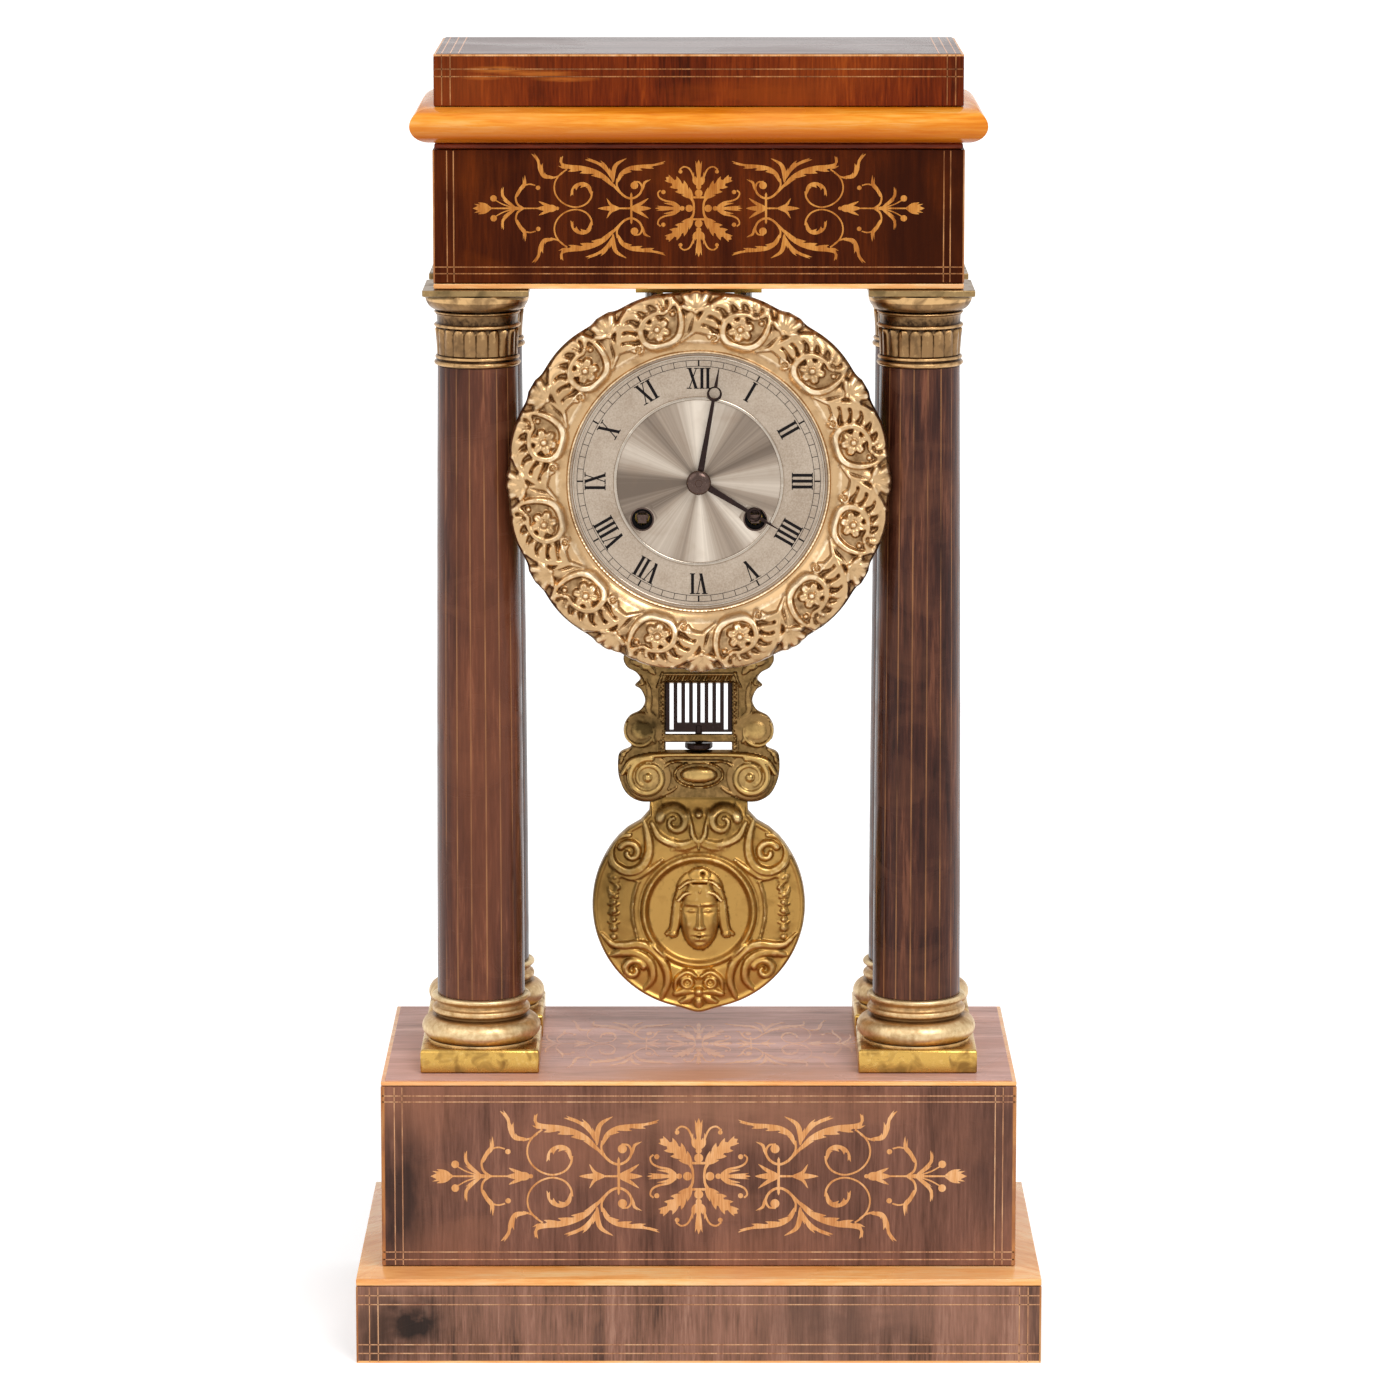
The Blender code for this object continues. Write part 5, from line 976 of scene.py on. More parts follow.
@dataclass
class Columns:
    """Four turned columns with brass bases and capitals."""

    leaves: int = 20
    shaft_steps: int = 72
    foot_half: float = 22.8
    abacus_half: float = 20.1
    shaft_bottom: float = 16.85
    shaft_top: float = 15.25
    foot_tall: float = 9.0
    leaves_from: float = 384.8
    leaves_to: float = 395.2

    def build(self) -> None:
        """Make each column in its place."""
        for depth in ("front", "back"):
            for side in ("left", "right"):
                self.column(f"{depth}_{side}")

    def column(self, place: str) -> None:
        """Make one column.

        Args:
            place: Which of the four.
        """
        low, high = span(f"column_shaft_{place}")
        centre = ((low[0] + high[0]) / 2, (low[1] + high[1]) / 2)
        self.shaft(place, centre, low[2], high[2])
        self.base(place, centre)
        self.capital(place, centre)

    def shaft(self, place: str, centre: Point, bottom: float, top: float) -> None:
        """Tapering shaft with a little entasis.

        Args:
            place: Which of the four.
            centre: Its axis.
            bottom: Lower end.
            top: Upper end.
        """
        rows = 24
        profile = [(0.0, bottom)]
        for k in range(rows + 1):
            share = k / rows
            radius = self.shaft_bottom - (self.shaft_bottom - self.shaft_top) * share**1.5
            profile.append((radius, bottom + (top - bottom) * share))
        profile.append((0.0, top))
        piece = turned(f"column_{place}_shaft", profile, centre, self.shaft_steps)
        settle(piece, ROSEWOOD_LINED, nodes=[f"column_shaft_{place}"])

    def base(self, place: str, centre: Point) -> None:
        """Square plinth, torus, scotia and rings.

        Args:
            place: Which of the four.
            centre: Its axis.
        """
        low, high = span(f"column_base_{place}")
        half = self.foot_half
        step = low[2] + self.foot_tall
        loops = ((half, half, low[2]), (half, half, step - 0.7), (half - 0.7, half - 0.7, step))
        square = stacked(f"column_{place}_foot", loops, 0.4, centre=centre)
        settle(square, YELLOW_BRASS, nodes=[f"column_base_{place}"])
        profile: list[Point] = [(0.0, step - 0.5), (20.6, step - 0.5), (20.6, step + 0.6)]
        profile += arc((18.4, step + 5.0), (4.55, 4.5), -82, 88, 16)
        profile += [(17.6, step + 9.9), (17.6, step + 10.6)]
        profile += arc((18.2, step + 12.2), (0.75, 1.2), -110, 60, 8)
        profile += arc((19.4, step + 14.6), (1.9, 1.6), 230, 130, 8)
        profile += arc((17.9, step + 17.0), (1.15, 1.05), -70, 95, 8)
        profile += [(0.0, high[2])]
        piece = turned(f"column_{place}_base_mouldings", profile, centre)
        settle(piece, BASE_BRASS)

    def leaf_band(self, around: Grid, level: Grid) -> Grid:
        """Upright round-topped leaves round the neck of a capital.

        Args:
            around: Share round the axis.
            level: Height.

        Returns:
            What stands out from the neck.
        """
        share = (level - self.leaves_from) / (self.leaves_to - self.leaves_from)
        turn = (around * self.leaves) % 1.0 - 0.5
        width = 0.46 * np.sqrt(np.clip(1 - np.clip((share - 0.72) / 0.28, 0, 1) ** 2, 0, 1))
        inside = (share > 0) & (share < 1) & (np.abs(turn) < width)
        crown = np.sqrt(np.clip(1 - (turn / np.maximum(width, 0.02)) ** 2, 0, 1))
        rib = 0.25 * np.exp(-((turn / 0.06) ** 2))
        return np.where(inside, (0.55 + 0.5 * share**2) * crown**0.6 + rib * share, 0.0)

    def capital(self, place: str, centre: Point) -> None:
        """Neck with a band of leaves, echinus and square abacus.

        Args:
            place: Which of the four.
            centre: Its axis.
        """
        low, high = span(f"column_capital_{place}")
        bottom = low[2]
        profile: list[Point] = [(0.0, bottom), (15.4, bottom)]
        profile += arc((15.3, bottom + 1.1), (1.2, 1.0), -80, 80, 8)
        profile += arc((15.2, bottom + 3.2), (0.9, 0.8), -80, 80, 6)
        profile += [(14.9, 384.7 + 10.6 * k / 26) for k in range(27)]
        profile += arc((15.2, 396.2), (1.3, 0.8), -85, 85, 8)
        profile += [(15.3, 397.3), (15.5, 400.0), (15.9, 400.5)]
        profile += arc((15.6, 401.2), (0.8, 0.5), -80, 80, 6)
        profile += arc((15.2, 407.6), (4.6, 5.6), -86, -4, 14)
        profile += [(19.8, 408.2), (0.0, 408.2)]
        piece = turned(f"column_{place}_capital_bell", profile, centre, 200, swell=self.leaf_band)
        settle(piece, AGED_BRASS)
        half = self.abacus_half
        loops = ((half - 2.2, half - 2.2, 407.4), (half - 1.9, half - 1.9, 408.0), (half - 0.8, half - 0.8, 408.5),
                 (half, half, 408.8), (half, half, high[2]))
        square = stacked(f"column_{place}_abacus", loops, 0.25, centre=centre)
        settle(square, ABACUS_BRASS, nodes=[f"column_capital_{place}"])


def smooth_path(points: Path, steps: int = 8) -> Grid:
    """Run a smooth curve through a few points.

    Args:
        points: The points.
        steps: Steps between each two of them.

    Returns:
        Points of the curve.
    """
    knots = np.array(points, dtype=float)
    if len(knots) < 3:
        return np.array([knots[0] + (knots[-1] - knots[0]) * k / steps for k in range(steps + 1)])
    ends = [2 * knots[0] - knots[1], *knots, 2 * knots[-1] - knots[-2]]
    curve = []
    for before, start, end, after in zip(ends, ends[1:], ends[2:], ends[3:]):
        for k in range(steps):
            t = k / steps
            curve.append(
                0.5 * (2 * start + (end - before) * t + (2 * before - 5 * start + 4 * end - after) * t**2
                       + (3 * start - before - 3 * end + after) * t**3)
            )
    return np.array([*curve, knots[-1]])


def curl(centre: Point, start: float, end: float, begin: float, turn: float, steps: int = 28) -> list[Point]:
    """Spiral round a centre.

    Args:
        centre: Its centre.
        start: First radius.
        end: Last radius.
        begin: First direction in degrees, counted from +X towards up.
        turn: Degrees that it turns through, negative for the other way.
        steps: Number of steps.

    Returns:
        Its points.
    """
    points = []
    for k in range(steps + 1):
        share = k / steps
        radius = start + (end - start) * share
        angle = math.radians(begin + turn * share)
        points.append((centre[0] + radius * math.cos(angle), centre[1] + radius * math.sin(angle)))
    return points


def mirrored(points: Path, side: int) -> list[Point]:
    """Keep points or turn them over to the left."""
    return [(side * x, z) for x, z in points]


@dataclass
class Relief:
    """Height field over given points, built up form by form; where forms meet the higher one shows."""

    across: Grid
    up: Grid
    height: Grid = field(init=False)

    def __post_init__(self) -> None:
        """Start level."""
        self.height = np.zeros_like(self.across)

    def window(self, low: Grid, high: Grid) -> Grid:
        """Find the points in a box."""
        inside = (self.across > low[0]) & (self.across < high[0])
        return inside & (self.up > low[1]) & (self.up < high[1])

    def lay(self, where: Grid, height: Grid) -> None:
        """Raise points to a height where it is the higher."""
        self.height[where] = np.maximum(self.height[where], height)

    def stroke(
        self, path: Path, widths: Sequence[float], rise: float, lobes: float = 0.0, crease: float = 0.0,
        base: float = 0.0,
    ) -> None:
        """Rounded band along a smooth path.

        Args:
            path: Points that it runs through.
            widths: Half widths, spread evenly along it.
            rise: Height of its crown.
            lobes: Number of rounded lobes along its edges, 0 for a plain band.
            crease: Depth of the crease along its middle, as a share of the rise.
            base: Height that its foot stands at.
        """
        line = smooth_path(path)
        share = np.linspace(0, 1, len(line))
        half = np.interp(share, np.linspace(0, 1, len(widths)), widths)
        reach = max(widths) + 0.1
        for a, b, wide, wider, s, e in zip(line, line[1:], half, half[1:], share, share[1:]):
            where = self.window(np.minimum(a, b) - reach, np.maximum(a, b) + reach)
            if not where.any():
                continue
            run = b - a
            x, z = self.across[where] - a[0], self.up[where] - a[1]
            t = np.clip((x * run[0] + z * run[1]) / max(run @ run, 1e-9), 0, 1)
            off = np.hypot(x - t * run[0], z - t * run[1])
            width = wide + (wider - wide) * t
            along = s + (e - s) * t
            if lobes:
                width = width * (0.68 + 0.32 * np.abs(np.sin(np.pi * lobes * along)))
            ratio = off / np.maximum(width, 0.02)
            crown = np.sqrt(np.clip(1 - ratio**2, 0, 1))
            tall = rise * np.minimum(1.0, (width / max(widths)) ** 0.5)
            shape = crown * (1 - crease * np.exp(-((ratio / 0.28) ** 2)))
            if lobes:
                shape = shape * (0.8 + 0.2 * np.abs(np.sin(np.pi * lobes * (along + 0.25 * ratio / lobes))))
            self.lay(where, np.where(ratio < 1, base + tall * shape, 0.0))

    def bands(self, rows: Sequence[Band], side: int = 1) -> None:
        """Lay bands from a table.

        Args:
            rows: Path, half widths, rise and, where it has them, lobes and crease of each.
            side: 1 to lay them as they are, -1 turned over to the left.
        """
        for path, *form in rows:
            self.stroke(mirrored(path, side), *form)

    def dome(self, centre: Point, radii: float | Point, rise: float, base: float = 0.0) -> None:
        """Oval dome.

        Args:
            centre: Its middle.
            radii: Its half width and half height, or one radius.
            rise: Its height.
            base: Height that it stands at.
        """
        wide, tall = radii if isinstance(radii, tuple) else (radii, radii)
        size = np.array((wide, tall))
        where = self.window(np.array(centre) - size, np.array(centre) + size)
        x, z = self.across[where] - centre[0], self.up[where] - centre[1]
        part = (x / wide) ** 2 + (z / tall) ** 2
        self.lay(where, np.where(part < 1, base + rise * np.sqrt(np.clip(1 - part, 0, 1)), 0.0))

    def rosette(self, centre: Point, radius: float, petals: int, rise: float, lead: float = 0.0) -> None:
        """Open flower with round cupped petals and a boss.

        Args:
            centre: Its middle.
            radius: Its reach.
            petals: Number of petals.
            rise: Its height.
            lead: Direction of the first petal in degrees.
        """
        for k in range(petals):
            turn = math.radians(lead + 360 * k / petals)
            ray = np.array((math.cos(turn), math.sin(turn)))
            middle = np.array(centre) + ray * radius * 0.62
            wide = radius * min(0.42, 0.62 * math.sin(math.pi / petals) * 1.12)
            where = self.window(middle - radius * 0.5, middle + radius * 0.5)
            x, z = self.across[where] - middle[0], self.up[where] - middle[1]
            out, side = x * ray[0] + z * ray[1], z * ray[0] - x * ray[1]
            part = np.hypot(out / (radius * 0.4), side / wide)
            cup = np.clip(1 - part**4, 0, 1) * (0.72 + 0.28 * part**2) - 0.3 * np.exp(-((side / 0.25) ** 2))
            self.lay(where, np.where(part < 1, rise * np.clip(cup, 0, 1), 0.0))
        self.dome(centre, radius * 0.3, rise * 0.9, rise * 0.25)

    def fan(self, foot: Point, length: float, lean: float, spread: float, ribs: int, rise: float) -> None:
        """Shell of ribs that open from one foot.

        Args:
            foot: Where they meet.
            length: Length of the middle rib.
            lean: Direction of the middle rib in degrees.
            spread: Degrees between the outer ribs.
            ribs: Number of ribs.
            rise: Its height.
        """
        for k in range(ribs):
            share = 2 * k / (ribs - 1) - 1
            turn = math.radians(lean + spread / 2 * share)
            reach = length * (1 - 0.34 * share**2)
            wide = 1.25 * reach * math.radians(spread) / ribs / 2
            tip = (foot[0] + reach * math.cos(turn), foot[1] + reach * math.sin(turn))
            self.stroke((foot, tip), (0.25, wide * 0.7, wide, wide * 0.9), rise)


def clock_point(radius: float, degrees: float) -> Point:
    """Point of the dial's plane, from its centre."""
    turn = math.radians(degrees)
    return radius * math.sin(turn), radius * math.cos(turn)


@dataclass
class Bezel:
    """Cast gilt ring round the dial, twelve times the same scroll, rosette and shell."""

    units: int = 12
    columns: int = 90
    rings: int = 64
    opening: float = 49.0
    seat: float = 50.45
    seat_depth: float = 1.8
    band: float = 54.3
    rim_hollow: float = 70.5
    rim_swell: float = 2.7
    shell_reach: float = 2.7
    rim_most: float = 2.7
    smoothing: float = 0.8
    highest: float = 10.9

    def build(self) -> None:
        """Make the ring over its CAD solid."""
        self.back = span("bezel")[1][1]
        self.centre = axis_of("bezel")
        degrees = np.linspace(0, 360 / self.units, self.columns + 1)[:-1]
        # The second value is each point's painted shade and highlight, repeated round the ring.
        places, relief = self.unit(degrees)
        parts = []
        for turn in [math.radians(360 / self.units * k) for k in range(self.units)]:
            x = places[..., 0] * math.cos(turn) + places[..., 2] * math.sin(turn)
            z = places[..., 2] * math.cos(turn) - places[..., 0] * math.sin(turn)
            parts.append(np.stack((x + self.centre[0], places[..., 1], z + self.centre[1]), axis=-1))
        ring = np.concatenate([*parts, parts[0][:, :1]], axis=1)
        painted_shades = np.concatenate([*[relief] * self.units, relief[:, :1]], axis=1)
        piece = carve("bezel_cast_ring", ring, {"relief": painted_shades}, 60)
        settle(piece, CAST_GILT, nodes=["bezel"])

    def rim(self, degrees: Grid) -> Grid:
        """Outer radius of the lobed ring.

        Args:
            degrees: Directions, clockwise from the top.

        Returns:
            The radius in each direction.
        """
        from_shell = (degrees + 180 / self.units) % (360 / self.units) - 180 / self.units
        lobe = self.rim_swell * np.abs(np.sin(np.radians(6 * degrees))) ** 0.7
        return self.rim_hollow + np.minimum(lobe + self.shell_reach * np.exp(-((from_shell / 3.2) ** 2)), self.rim_most)

    def ground(self, radius: Grid) -> Grid:
        """Height of the plain casting under the ornament.

        Args:
            radius: Distances from the centre.

        Returns:
            The height at each.
        """
        marks = (49.0, 49.3, 49.8, 50.3, 50.9, 52.5, 54.0, 54.7, 58.0, 62.0, 66.0, 69.0, 71.5, 73.3)
        heights = (2.6, 3.3, 3.5, 2.9, 2.8, 3.7, 5.0, 5.3, 6.6, 7.5, 7.2, 6.2, 4.9, 4.0)
        return np.interp(radius, marks, heights)

    def unit(self, degrees: Grid) -> tuple[Grid, Grid]:
        """Shape one unit of the ring.

        Args:
            degrees: Degrees clockwise from the top of its columns.

        Returns:
            Its points from the dial's centre, and a painted-shade value for each, from how far it stands out.
        """
        rim = self.rim(degrees)
        inner = [self.opening, 49.25, 49.55, 49.8, 50.05, 50.3, 50.7, 51.4, 52.2, 53.0, 53.6, 54.0]
        radii = [np.full_like(rim, r) for r in inner]
        radii += [self.band + (rim - 0.25 - self.band) * k / self.rings for k in range(self.rings + 1)]
        radius = np.stack(radii)
        turn = np.radians(np.broadcast_to(degrees, radius.shape))
        relief = Relief(radius * np.sin(turn), radius * np.cos(turn))
        for k in (-1, 0, 1, 2):
            self.ornament(relief, 360 / self.units * k)
        ring = np.concatenate([relief.height, relief.height[:, :1]], axis=1)
        relief.height -= self.smoothing * relief_of(ring, 1, 1)[:, :-1]
        milling = 0.22 * np.abs(np.sin(np.radians(degrees) * 96))
        milled = (radius > 49.2) & (radius < 50.2)
        height = self.ground(radius) + relief.height + np.where(milled, milling, 0)
        height = np.minimum(height, self.highest)
        edge = np.clip((rim - radius) / 1.0, 0, 1)
        height = height - 1.6 * (1 - edge) ** 2
        # Painted shade and highlight: points below their neighbours get darker, points above lighter, the ground
        # outside the band darker still and the inner mouldings lighter.
        level = relief_of(np.concatenate([height, height[:, :1]], axis=1), 7, 5)[:, :-1]
        ground = np.where(radius > 57.5, 0.33, 0.52)
        level = np.where(level < 0, 0.62 * level, np.minimum(level, 0.85))
        painted_shades = np.where(radius > self.band, ground + 0.32 * level + 0.055 * relief.height, 0.66 + 0.3 * level)
        painted_shades = np.clip(painted_shades, 0, 1)
        rows = [(radius, self.back - height, painted_shades)]
        dull = np.full((1, len(degrees)), 0.35)
        for reach, drop in ((rim, 3.2), (rim - 0.1, 1.2), (rim - 0.9, 0.0)):
            rows.append((reach[None], self.back - np.full((1, len(degrees)), drop), dull))
        for reach, drop in ((self.seat, 0.0), (self.seat, self.seat_depth), (self.opening, self.seat_depth)):
            rows.append((np.full((1, len(degrees)), reach), self.back - np.full((1, len(degrees)), drop), dull))
        rows.append((radius[:1], self.back - height[:1], painted_shades[:1]))
        radius, depth, painted_shades = (np.concatenate([row[k] for row in rows]) for k in range(3))
        turn = np.radians(np.broadcast_to(degrees, radius.shape))
        return np.stack((radius * np.sin(turn), depth, radius * np.cos(turn)), axis=-1), painted_shades

    def ornament(self, relief: Relief, start: float) -> None:
        """Lay one shell, rosette and scroll.

        Args:
            relief: Height field that takes them.
            start: Direction of the shell in degrees.
        """
        middle = start + 15

        def route(*steps: Point) -> list[Point]:
            """Turn radii and degrees from the rosette into points."""
            return [clock_point(radius, middle + away) for radius, away in steps]

        relief.rosette(clock_point(60.7, middle), 5.2, 6, 2.9, 90 - middle)
        scroll = route(
            (71.4, 6.8), (67.3, 8.5), (63.3, 9), (60, 8.7), (56.4, 7.2), (54.4, 4.1), (53.9, 0.1), (54.7, -3.5),
            (57, -5.8), (60.5, -6.1), (63.6, -5), (65.8, -2.4), (66.8, 0.9), (66.2, 3.6),
        )
        relief.stroke(scroll, (0.8, 1.25, 1.5, 1.55, 1.55, 1.5, 1.25, 0.9), 2.4, crease=0.2)
        stem = route((54.4, -22), (58.6, -16.4), (64.4, -12.9), (69.4, -8.8), (71.9, -3.6), (71.9, 1.6), (70.6, 4.4))
        relief.stroke(stem, (0.5, 1.1, 1.5, 1.4, 1.1, 0.8, 0.4), 2.3, crease=0.35)
        relief.stroke(route((54.6, -21), (57.8, -17.6), (61.4, -16.4), (64.6, -16)), (0.35, 0.8, 0.9, 0.5), 1.5)
        for lobe in (
            ((58.6, -15.6), (58.4, -12.8), (57.4, -10.6)), ((62.2, -13.6), (61.6, -10.6), (60.2, -8.4)),
            ((65.8, -11.8), (65.2, -9), (63.4, -7.3)), ((68.8, -9.2), (68.6, -6.4), (66.6, -5)),
            ((71, -5.6), (70.4, -3), (68.4, -1.7)), ((71.8, -1.6), (71.4, 0.9), (69.4, 1.8)),
        ):
            relief.stroke(route(*lobe), (1.5, 1.95, 1.3), 2.2, crease=0.3)
            relief.dome(clock_point(lobe[2][0], middle + lobe[2][1]), 1, 2.4)
        for tip in (((72.4, 1.6), (71.2, 3.6), (69, 3.9)), ((71.8, 5.4), (70, 6.6), (68, 5.8))):
            relief.stroke(route(*tip), (0.9, 1.5, 1), 2.1, crease=0.25)
        for place in ((66.9, 4.6), (65.4, 6.3), (68, 2.2)):
            relief.dome(clock_point(place[0], middle + place[1]), 1.15, 2)
        foot = clock_point(65.6, start - 0.9)
        relief.fan(foot, 7.8, 90 - start, 132, 5, 3)
        relief.dome(foot, 1.4, 2.7)
        for away in (-3.2, -2.2, -1.2):
            neck = route((65.6, 13.9 + 0.5 * away), (61.4, 12.9 + away), (57.6, 11.6 + away), (54.6, 9.6 + 0.6 * away))
            relief.stroke(neck, (0.75, 0.6, 0.5, 0.3), 1.5 + 0.3 * away)
        for away in (-8.4, 8):
            relief.dome(clock_point(71.4, start + away), 1.25, 2.4)
        berry = clock_point(55.6, middle - 9)
        relief.stroke(curl(berry, 1.7, 1.3, 200 - middle, -300, 16), (0.55, 0.6, 0.5), 2)
        relief.stroke(route((58.8, -13.6), (57.2, -12.2), (55.4, -11)), (0.6, 0.7, 0.5), 1.6)
        relief.dome(berry, 0.6, 1.2)


def prisms(
    name: str, outlines: Sequence[Path], front: float, back: float, flat: str = "Y", step: float = 0.0
) -> Piece:
    """Thin flat shapes with parallel faces.

    Args:
        name: Name of the piece.
        outlines: Outline of each shape.
        front: Place of the near face.
        back: Place of the far face.
        flat: Axis that the faces are square to; X and Z take outlines in Y, Z and in X, Y.
        step: How much deeper each shape lies than the one before, over a dozen of them.

    Returns:
        All of them as one piece.
    """
    order = {"X": (2, 0, 1), "Y": (0, 2, 1), "Z": (0, 1, 2)}[flat]
    points: list[Place] = []
    faces: list[list[int]] = []
    for number, outline in enumerate(outlines):
        count, first = len(outline), len(points)
        for depth in (front + step * (number % 12), back):
            for a, b in outline:
                points.append(tuple((a, b, depth)[k] for k in order))
        faces.append(list(range(first, first + count)))
        faces.append(list(range(first + 2 * count - 1, first + count - 1, -1)))
        for k in range(count):
            after = (k + 1) % count
            faces.append([first + k, first + count + k, first + count + after, first + after])
    piece = from_faces(name, points, faces)
    select_only(piece)
    bpy.ops.object.mode_set(mode="EDIT")
    bpy.ops.mesh.select_all(action="SELECT")
    bpy.ops.mesh.normals_make_consistent(inside=False)
    bpy.ops.object.mode_set(mode="OBJECT")
    return piece


def ribbon(path: Path, widths: Sequence[float], steps: int = 6) -> list[Point]:
    """Outline of a band along a smooth path.

    Args:
        path: Points that it runs through.
        widths: Half widths, spread evenly along it.
        steps: Steps between each two points.

    Returns:
        Its outline.
    """
    line = smooth_path(path, steps)
    half = np.interp(np.linspace(0, 1, len(line)), np.linspace(0, 1, len(widths)), widths)
    run = np.gradient(line, axis=0)
    run /= np.maximum(np.linalg.norm(run, axis=1, keepdims=True), 1e-9)
    side = np.stack((-run[:, 1], run[:, 0]), axis=1) * half[:, None]
    return [tuple(p) for p in [*(line + side), *(line - side)[::-1]]]


def disc(centre: Point, radius: float, steps: int = 20) -> list[Point]:
    """Outline of a round shape."""
    turns = [2 * math.pi * k / steps for k in range(steps)]
    return [(centre[0] + radius * math.cos(t), centre[1] + radius * math.sin(t)) for t in turns]


@dataclass
class Dial:
    """Silvered dial: brushed middle, raised bright ring, satin chapter ring, numerals and minute track."""

    radius: float = 50.0
    ring: float = 31.8
    numeral_foot: float = 35.4
    numeral_height: float = 8.0
    track: tuple[float, float] = (44.0, 46.3)
    thick: float = 1.15
    thin: float = 0.38
    hole: float = 4.2
    numerals: tuple[str, ...] = ("XII", "I", "II", "III", "IIII", "V", "VI", "VII", "VIII", "IX", "X", "XI")

    def build(self) -> None:
        """Make the plates, the winding holes and the marks."""
        low, high = span("dial_plate")
        self.front, self.back = low[1], high[1]
        self.centre = axis_of("dial_plate")
        self.plate()
        self.holes()
        self.marks()

    def plate(self) -> None:
        """Brushed middle, raised ring and satin chapter ring with a bright edge."""
        inner, outer = self.ring - 0.7, self.ring + 0.7
        profile: list[Point] = [(0.0, self.front)]
        profile += [(r, self.front) for r in (4.0, 8.0, 12.0, 16.0, 20.0, 24.0, 28.0, inner)]
        profile += [(inner, self.back), (0.0, self.back)]
        self.middle = turned("dial_brushed_middle", profile, self.centre, 240, "Y", degrees=30)
        profile = [
            (inner, self.back), (inner, self.front - 0.1),
            *arc((self.ring, self.front - 0.1), (0.7, 0.5), 180, 360, 12),
        ]
        profile += [(outer, self.back), (inner, self.back)]
        settle(turned("dial_raised_ring", profile, self.centre, 240, "Y", degrees=50), RING_BRIGHT)
        profile = [(outer, self.back), (outer, self.front)]
        profile += [(r, self.front) for r in (36.0, 40.0, 44.0, 47.3)]
        profile += [(self.radius, self.front), (self.radius, self.back), (outer, self.back)]
        chapter = turned("dial_chapter_ring", profile, self.centre, 240, "Y", degrees=30)
        settle(chapter, SILVERED, nodes=["dial_plate"])
        rim = arc((47.9, self.front), (0.45, 0.4), 180, 360, 10)
        rim += [(48.35, self.front + 0.2), (47.45, self.front + 0.2), rim[0]]
        settle(turned("dial_bright_border", rim, self.centre, 240, "Y", degrees=50), RING_BRIGHT)

    def holes(self) -> None:
        """Cut the two winding holes and line each with a black cup, painted shade for the dark inside of the hole, and
        a thin rim.
        """
        places = [axis_of(f"{train}_winding_arbor") for train in ("going", "strike")]
        for place in places:
            bpy.ops.object.select_all(action="DESELECT")
            middle = (place[0] * MM, self.front * MM, place[1] * MM)
            turn = (math.radians(90), 0, 0)
            bpy.ops.mesh.primitive_cylinder_add(
                vertices=48, radius=self.hole * MM, depth=0.02, location=middle, rotation=turn
            )
            cutter = bpy.context.object
            select_only(self.middle)
            hole = self.middle.modifiers.new("winding_hole", "BOOLEAN")
            hole.operation = "DIFFERENCE"
            hole.object = cutter
            bpy.ops.object.modifier_apply(modifier=hole.name)
            bpy.data.objects.remove(cutter)
        select_only(self.middle)
        bpy.ops.object.shade_smooth_by_angle(angle=math.radians(30))
        settle(self.middle, SILVERED_RAYS)
        for k, place in enumerate(places):
            rim = [(4.0, -0.08), (4.35, -0.16), (4.6, 0.05), (4.1, 0.3)]
            rim = [(radius, self.front + depth) for radius, depth in rim]
            collar = turned(f"winding_hole_edge_{k + 1}", [*rim, rim[0]], place, 48, "Y")
            settle(collar, COLLET_STEEL)
            # The black cup is painted shade: it stands for the darkness inside the hole in front of the brass plate.
            cup = [
                (4.12, self.front + 0.2), (4.12, -41.0), (2.8, -41.0), (2.8, -41.4), (3.9, -41.5),
                (3.95, self.front + 0.2),
            ]
            shade_lining = turned(f"winding_hole_cup_{k + 1}", [*cup, cup[0]], place, 48, "Y")
            settle(shade_lining, BLACK_WAX_AND_HOLE_SHADE)

    def letter(self, kind: str, left: float) -> tuple[list[list[Point]], float]:
        """Draw one letter of a numeral.

        Args:
            kind: I, V or X.
            left: Where it starts.

        Returns:
            Its outlines with the foot at 0, and its width.
        """
        tall, thick, thin = self.numeral_height, self.thick, self.thin

        def bar(low: float, high: float, width: float) -> list[Point]:
            """Slanting bar from foot to head."""
            return [(left + low, 0), (left + low + width, 0), (left + high + width, tall), (left + high, tall)]

        def serif(start: float, end: float, level: float) -> list[Point]:
            """Thin level bar."""
            low, high = left + start, left + end
            return [(low, level), (high, level), (high, level + thin), (low, level + thin)]

        if kind == "I":
            ends = [serif(0, 2.0, level) for level in (0, tall - thin)]
            return [bar(0.4, 0.4, thick), *ends], 2.25
        if kind == "V":
            heads = [serif(0, 2.2, tall - thin), serif(3.0, 4.6, tall - thin)]
            return [bar(2.05, 0.45, thick), bar(2.2, 3.7, thin), *heads], 4.8
        heads = [serif(start, end, level) for level in (0, tall - thin) for start, end in ((0, 1.9), (2.8, 4.6))]
        return [bar(3.05, 0.45, thick), bar(0.75, 3.5, thin), *heads], 4.8

    def numeral(self, text: str, degrees: float) -> list[list[Point]]:
        """Draw a numeral in its place, its foot towards the centre.

        Args:
            text: The numeral.
            degrees: Its direction.

        Returns:
            Its outlines.
        """
        shapes, left = [], 0.0
        for kind in text:
            outlines, width = self.letter(kind, left)
            shapes += outlines
            left += width
        turn = math.radians(degrees)
        middle = (left - 0.2) / 2
        placed = []
        for outline in shapes:
            around = [(x - middle, self.numeral_foot + z) for x, z in outline]
            placed.append([
                (
                    self.centre[0] + x * math.cos(turn) + z * math.sin(turn),
                    self.centre[1] + z * math.cos(turn) - x * math.sin(turn),
                )
                for x, z in around
            ])
        return placed

